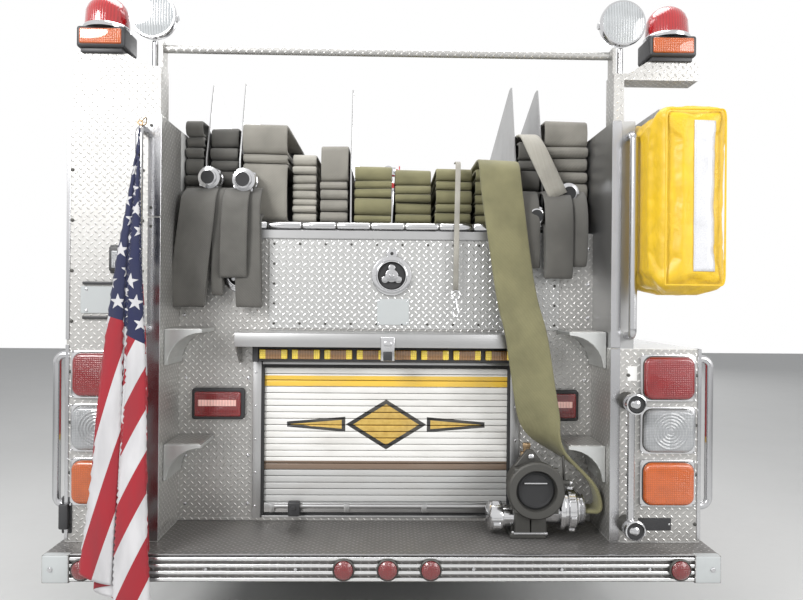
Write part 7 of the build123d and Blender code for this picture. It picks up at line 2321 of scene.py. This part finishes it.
@dataclass
class CabFront:
    """Screen and door window gaskets, wipers, lamp lenses, mirror glass and roof marker lamps."""

    slope: float = 0.13 / 1.04
    cut: float = 0.06
    mirror_y: float = 3.789

    def screen_y(self, z: float) -> float:
        """The front wall's surface at a height."""
        return CAB_FRONT_Y - self.slope * (z - 1.5)

    def gaskets(self) -> None:
        """Rubber round both windscreens, and the wipers on them."""
        shape = Shape()
        for side in (-1, 1):
            corners = [(0.045, 1.59), (1.05, 1.59), (1.05, 2.43), (0.045, 2.43)]
            ring = []
            for index, (x, z) in enumerate(corners):
                for ox, oz in (corners[index - 1], corners[(index + 1) % 4]):
                    part = self.cut / math.hypot(ox - x, oz - z)
                    px, pz = x + (ox - x) * part, z + (oz - z) * part
                    ring.append((side * px, self.screen_y(pz) + 0.002, pz))
            shape.pipe(ring + ring[:1], 0.011, False)
        shape.dress(RUBBER)
        for side in (-1, 1):
            x0, x1, foot_z = side * 0.62, side * 0.30, 1.545
            y = self.screen_y(foot_z)
            elbow = (x1, self.screen_y(1.92) + 0.030, 1.92)
            shape.rod((x0, y - 0.004, foot_z), (x0, y + 0.026, foot_z), 0.018, bevel=0.003)
            shape.rod((x0, y + 0.012, foot_z), elbow, 0.007, 0.005, 10)
            start = (x1 - side * 0.02, self.screen_y(1.62) + 0.010, 1.62)
            end = (x1 + side * 0.02, self.screen_y(2.24) + 0.010, 2.24)
            shape.rod(start, end, 0.006, 0.006, 8)
            shape.rod(elbow, [(a + b) / 2 for a, b in zip(start, end)], 0.005, 0.004, 8)
        shape.dress(PLASTIC).piece("windscreen_gaskets_and_wipers")

    def lamps(self) -> None:
        """Headlamp and turn lamp lenses, and five amber lamps over the screens."""
        shape = Shape()
        y = CAB_FRONT_Y
        for side in (-1, 1):
            for middle in (0.66, 0.94):
                shape.block((side * (middle - 0.094), y + 0.018, 1.001),
                            (side * (middle + 0.094), y + 0.0275, 1.129), 0.008, 3)
        shape.dress(Lens("headlamp_lens", (0.66, 0.68, 0.70), 0.014, 0.0, True))
        shape.twin_blocks((0.575, y + 0.027, 1.222), (1.025, y + 0.036, 1.278), 0.008, 3)
        shape.dress(AMBER_LENS)
        dome = [(-0.030, 0.0), (-0.030, 0.030), (0.010, 0.030), (0.022, 0.024), (0.030, 0.012), (0.032, 0.0)]
        for x in (-0.98, -0.16, 0.0, 0.16, 0.98):
            shape.turned(dome, (x, self.screen_y(2.54) - 0.012 + 0.01, 2.575), (0, 0.72, 0.70), 24)
        shape.dress(AMBER_LENS).piece("front_lamp_lenses")

    def mirror_glass(self) -> None:
        """The mirrors' glass, facing the rear, in black rims."""
        shape = Shape()
        y = self.mirror_y
        shape.twin_blocks((1.222, y - 0.006, 1.662), (1.378, y + 0.004, 2.038), 0.005)
        shape.dress(RUBBER)
        shape.twin_blocks((1.230, y - 0.0075, 1.672), (1.370, y - 0.005, 2.028), 0.001, 1)
        shape.dress(Metal("mirror_glass", (0.80, 0.82, 0.84), 0.06, dirt=0.15, grain=0.0))
        shape.piece("mirror_glass")

    def door_gaskets(self) -> None:
        """Rubber round the windows of all four doors, riding with them."""
        rows = ((Body.FRONT_DOOR_LEFT, -1, 2.8, 3.7), (Body.FRONT_DOOR_RIGHT, 1, 2.8, 3.7),
                (Body.CREW_DOOR_LEFT, -1, 1.39, 2.3), (Body.CREW_DOOR_RIGHT, 1, 1.39, 2.3))
        for body, side, y0, y1 in rows:
            shape = Shape()
            x = side * (CAB_HALF - 0.003)
            low_y, high_y, low_z, high_z = y0 + 0.078, y1 - 0.078, 1.563, 2.327
            cut = 0.05
            ring = [(x, low_y + cut, low_z), (x, high_y - cut, low_z), (x, high_y - 0.015, low_z + 0.015),
                    (x, high_y, low_z + cut), (x, high_y, high_z - cut), (x, high_y - 0.015, high_z - 0.015),
                    (x, high_y - cut, high_z), (x, low_y + cut, high_z), (x, low_y + 0.015, high_z - 0.015),
                    (x, low_y, high_z - cut), (x, low_y, low_z + cut), (x, low_y + 0.015, low_z + 0.015)]
            shape.pipe(ring + ring[:1], 0.007, False)
            shape.dress(RUBBER)
            shape.block((x + side * 0.029, y0 + 0.080, 1.444),
                        (x + side * 0.032, y0 + 0.180, 1.456), 0.001, 1)
            shape.dress(CHROME).piece(f"window_gasket_{body.value}", body)

    def build(self) -> None:
        """Make all of it."""
        self.gaskets()
        self.lamps()
        self.mirror_glass()
        self.door_gaskets()


@dataclass
class RoofLightBar:
    """The roof light bar: base, red and clear lens modules with dividers between them, and feet."""

    y: float = 3.28
    half: float = 0.72
    low: float = 2.71
    height: float = 0.15
    modules: int = 6

    def build(self) -> None:
        """Make the bar."""
        shape = Shape()
        shape.block((-self.half, self.y - 0.135, self.low),
                    (self.half, self.y + 0.135, self.low + 0.034), 0.012, 3)
        for x in (-0.435, 0.435):
            shape.block((x - 0.035, self.y - 0.09, 2.659),
                        (x + 0.035, self.y + 0.09, self.low + 0.004), 0.006)
        shape.dress(BRUSHED_ACROSS)
        top = self.low + self.height
        pitch = 2 * self.half / self.modules
        red = Lens("light_bar_red", (0.50, 0.010, 0.014), 0.012, 0.0, True)
        clear = Lens("light_bar_clear", (0.60, 0.62, 0.64), 0.012, 0.0, True)
        for module in range(self.modules):
            x = -self.half + pitch * module
            shape.block((x + 0.003, self.y - 0.130, self.low + 0.034),
                        (x + pitch - 0.003, self.y + 0.130, top - 0.001), 0.040, 5)
            shape.dress(clear if module in (2, 3) else red)
        for joint in range(1, self.modules):
            x = -self.half + pitch * joint
            shape.block((x - 0.003, self.y - 0.124, self.low + 0.03),
                        (x + 0.003, self.y + 0.124, top - 0.006), 0.002, 1)
        shape.dress(PLASTIC).piece("roof_light_bar_set", replaces=["roof_lightbar"])


@dataclass
class Seats:
    """Five padded seats: crowned cushions and backs with sewn channels, bases and belts."""

    seat_z: float = 1.53
    floor: float = 1.07
    cap: float = 0.014
    grain: float = 0.010
    pad_size: tuple[float, float, float, float] = (0.48, 0.40, 0.09, 0.628)
    rows: tuple[tuple[float, float, float, float, float], ...] = (
        (-0.80, 3.36, 0.48, 0.40, 0.64), (0.80, 3.36, 0.48, 0.40, 0.64), (-0.60, 1.82, 0.50, 0.42, 0.62),
        (0.0, 1.82, 0.50, 0.42, 0.62), (0.60, 1.82, 0.50, 0.42, 0.62),
    )
    finish: Finish = Upholstery("seat_weave")

    def pad(self, name: str, size: Vector, channels: int, upright: bool) -> bpy.types.Mesh:
        """One pad about the origin, puffed by cloth pressure and then sewn into channels.

        Args:
            name: The mesh's name.
            size: Its width, depth and height.
            channels: How many sewn channels it has across its width.
            upright: Whether the channels face forward, as on a back, rather than up.

        Returns:
            The mesh.
        """
        shape = Shape()
        inset = Vector((0.010, 0.010, 0.010))
        shape.block(-size / 2 + inset, size / 2 - inset, 0.024, 3)
        bmesh.ops.subdivide_edges(shape.mesh, edges=shape.mesh.edges, cuts=3, use_grid_fill=True)
        shape.dress(self.finish)
        made = link(name, mesh_data(name, shape.mesh, ()))
        remesh(made, self.grain)
        puff(made, self.cap)
        for vert in made.data.vertices:
            self.sew(vert, size, channels, upright)
        mesh = made.data
        bpy.data.objects.remove(made)
        mesh.materials.clear()
        mesh.materials.append(self.finish.material())
        mesh.shade_smooth()
        return mesh

    @staticmethod
    def sew(vert: bpy.types.MeshVertex, size: Vector, channels: int, upright: bool) -> None:
        """Draw one point in towards the nearest seam on the side that is sat on."""
        depth_axis, rise_axis = (1, 2) if upright else (2, 1)
        if vert.co[depth_axis] < size[depth_axis] * 0.12:
            return
        across = (vert.co.x / size.x + 0.5) * channels
        seam = abs(across - round(across)) / channels * size.x
        rise = vert.co[rise_axis] / size[rise_axis]
        fade = max(0.0, 1.0 - (abs(rise) * 2.15) ** 6)
        vert.co[depth_axis] -= 0.011 * math.exp(-(seam / 0.007) ** 2) * fade

    def place(self, name: str, mesh: bpy.types.Mesh, centre: Vector, scale: Vector) -> None:
        """Put a copy of a pad in its place, as its own padded piece."""
        data = mesh.copy()
        data.transform(Matrix.Translation(centre) @ Matrix.Diagonal((*scale, 1.0)))
        made = link(name, data)
        smooth = made.modifiers.new("smooth", "SUBSURF")
        smooth.levels = smooth.render_levels = 1
        attach(made, replaces=["seats"])

    def bases(self) -> None:
        """Boxed bases, hinge plates, belts and buckles."""
        shape = Shape()
        top = self.seat_z
        for x, front, width, depth, _ in self.rows:
            half, rear = width / 2, front - depth
            shape.block((x - half + 0.04, rear + 0.06, self.floor),
                        (x + half - 0.04, front - 0.05, top - 0.088), 0.012, 3)
            shape.block((x - half + 0.01, rear - 0.01, top - 0.100),
                        (x + half - 0.01, front - 0.01, top - 0.078), 0.006)
            for side in (-1, 1):
                middle = x + side * (half - 0.02)
                shape.block((middle - 0.006, rear - 0.03, top - 0.09),
                            (middle + 0.006, rear + 0.03, top + 0.12), 0.004)
        shape.dress(PLASTIC)
        for x, front, width, depth, back in self.rows:
            half = width / 2
            y = front - depth + 0.064
            start = Vector((x - half + 0.05, y + 0.004, self.seat_z + back - 0.05))
            end = Vector((x + half - 0.06, y + 0.012, self.seat_z + 0.05))
            along = (end - start).normalized()
            across = along.cross(Vector((0, 1, 0))).normalized() * 0.023
            shape.panel([start - across, start + across, end + across, end - across], (0, 0.0025, 0))
        shape.dress(Moulding("belt_webbing", (0.16, 0.03, 0.03), 0.75, 900.0, 0.2))
        for x, front, width, depth, _ in self.rows:
            bx = x + width / 2 - 0.06
            y = front - depth + 0.070
            shape.block((bx - 0.022, y, self.seat_z + 0.020),
                        (bx + 0.022, y + 0.022, self.seat_z + 0.078), 0.005)
        shape.dress(PLASTIC).piece("seat_bases_and_belts", replaces=["seats"])

    def build(self) -> None:
        """Make every seat from one cushion and one back."""
        width, depth, thick, tall = self.pad_size
        cushion = self.pad("cushion", Vector((width, depth, thick)), 4, False)
        back = self.pad("backrest", Vector((width, 0.12, tall)), 4, True)
        for number, (x, front, wide, deep, rise) in enumerate(self.rows, 1):
            middle = Vector((x, front - deep / 2, self.seat_z - thick / 2))
            self.place(f"seat_cushion_{number}", cushion, middle, Vector((wide / width, deep / depth, 1.0)))
            height = rise - 0.012
            middle = Vector((x, front - deep, self.seat_z + rise - height / 2))
            self.place(f"seat_back_{number}", back, middle, Vector((wide / width, 1.0, height / tall)))
        self.bases()


# Studio


@dataclass
class Studio:
    """The pale floor, the soft lights and the camera at the photograph's place."""

    eye: Point = (0.0, -6.88, 1.55)
    yaw: float = 1.2
    roll: float = 0.5
    lens: float = 30.66

    def floor(self) -> None:
        """A plain pale floor."""
        shape = Shape()
        shape.block((-14.0, -14.0, -0.05), (14.0, 14.0, -0.0005))
        shape.dress(Enamel("floor_pale", (0.62, 0.62, 0.61), 0.7, 0.0, 0.1))
        link("floor", mesh_data("floor", shape.mesh, shape.finishes))

    def light(self, name: str, place: Point, target: Point, size: float, power: float) -> None:
        """One soft area light aimed at a point."""
        data = bpy.data.lights.new(name, "AREA")
        data.shape, data.size, data.energy = "DISK", size, power
        made = link(name, data)
        made.location = place
        made.rotation_euler = (Vector(target) - Vector(place)).to_track_quat("-Z", "Y").to_euler()

    def sky(self) -> None:
        """Even soft light, with a plain white background for the camera and for reflections."""
        world = bpy.data.worlds.new("studio")
        bpy.context.scene.world = world
        world.use_nodes = True
        nodes = Nodes(world.node_tree)
        rays = nodes.node("ShaderNodeLightPath").outputs
        seen = Value(nodes, rays["Is Camera Ray"])
        for other in ("Is Glossy Ray", "Is Transmission Ray"):
            seen = seen.most(Value(nodes, rays[other]))
        plain = nodes.node("ShaderNodeBackground", inputs={0: (0.80, 0.82, 0.85), 1: 0.42})
        shown = nodes.node("ShaderNodeBackground", inputs={0: (1.0, 1.0, 1.0), 1: 1.0})
        mixer = nodes.node("ShaderNodeMixShader", inputs={0: seen, 1: plain.outputs[0], 2: shown.outputs[0]})
        nodes.node("ShaderNodeOutputWorld", inputs={0: mixer.outputs[0]})

    def camera(self) -> None:
        """The camera behind the vehicle."""
        data = bpy.data.cameras.new("camera")
        data.sensor_width, data.lens, data.clip_end = 36.0, self.lens, 60.0
        made = link("camera", data)
        turn = Matrix.Rotation(math.radians(-self.yaw), 4, "Z") @ Matrix.Rotation(math.radians(90), 4, "X")
        turn = turn @ Matrix.Rotation(math.radians(self.roll), 4, "Z")
        made.matrix_world = Matrix.Translation(self.eye) @ turn
        bpy.context.scene.camera = made

    def build(self) -> None:
        """Set the whole studio."""
        self.floor()
        self.light("key", (-3.4, -8.2, 4.6), (0.0, -4.2, 1.3), 2.4, 330.0)
        self.light("fill", (4.2, -7.4, 3.2), (0.0, -4.2, 1.2), 3.0, 170.0)
        self.light("top", (0.0, -3.0, 6.4), (0.0, -2.6, 1.0), 4.0, 240.0)
        self.light("front", (3.0, 9.0, 5.0), (0.0, 3.0, 1.2), 3.0, 260.0)
        self.sky()
        self.camera()
        bpy.context.scene.view_settings.view_transform = "Standard"


def main() -> None:
    """Build every sub-assembly, set the studio and finish."""
    logging.basicConfig(level=logging.INFO, format="%(message)s")
    parts = [CarriedNodes(), BeaverTails(), RearLamps(), RearShutter(), RearWallTrim(), RoundPorts(),
             TailboardTrim(), RollerRail(), CornerLamps(), GateValve(), HoseLoad(), SupplyHose(),
             Strap(), Flag(), LadderCover(), Wheels(), PumpPanels(), SideTrim(), CabFront(),
             RoofLightBar(), Seats()]
    for part in parts:
        part.build()
    Studio().build()


if __name__ == "__main__":
    main()
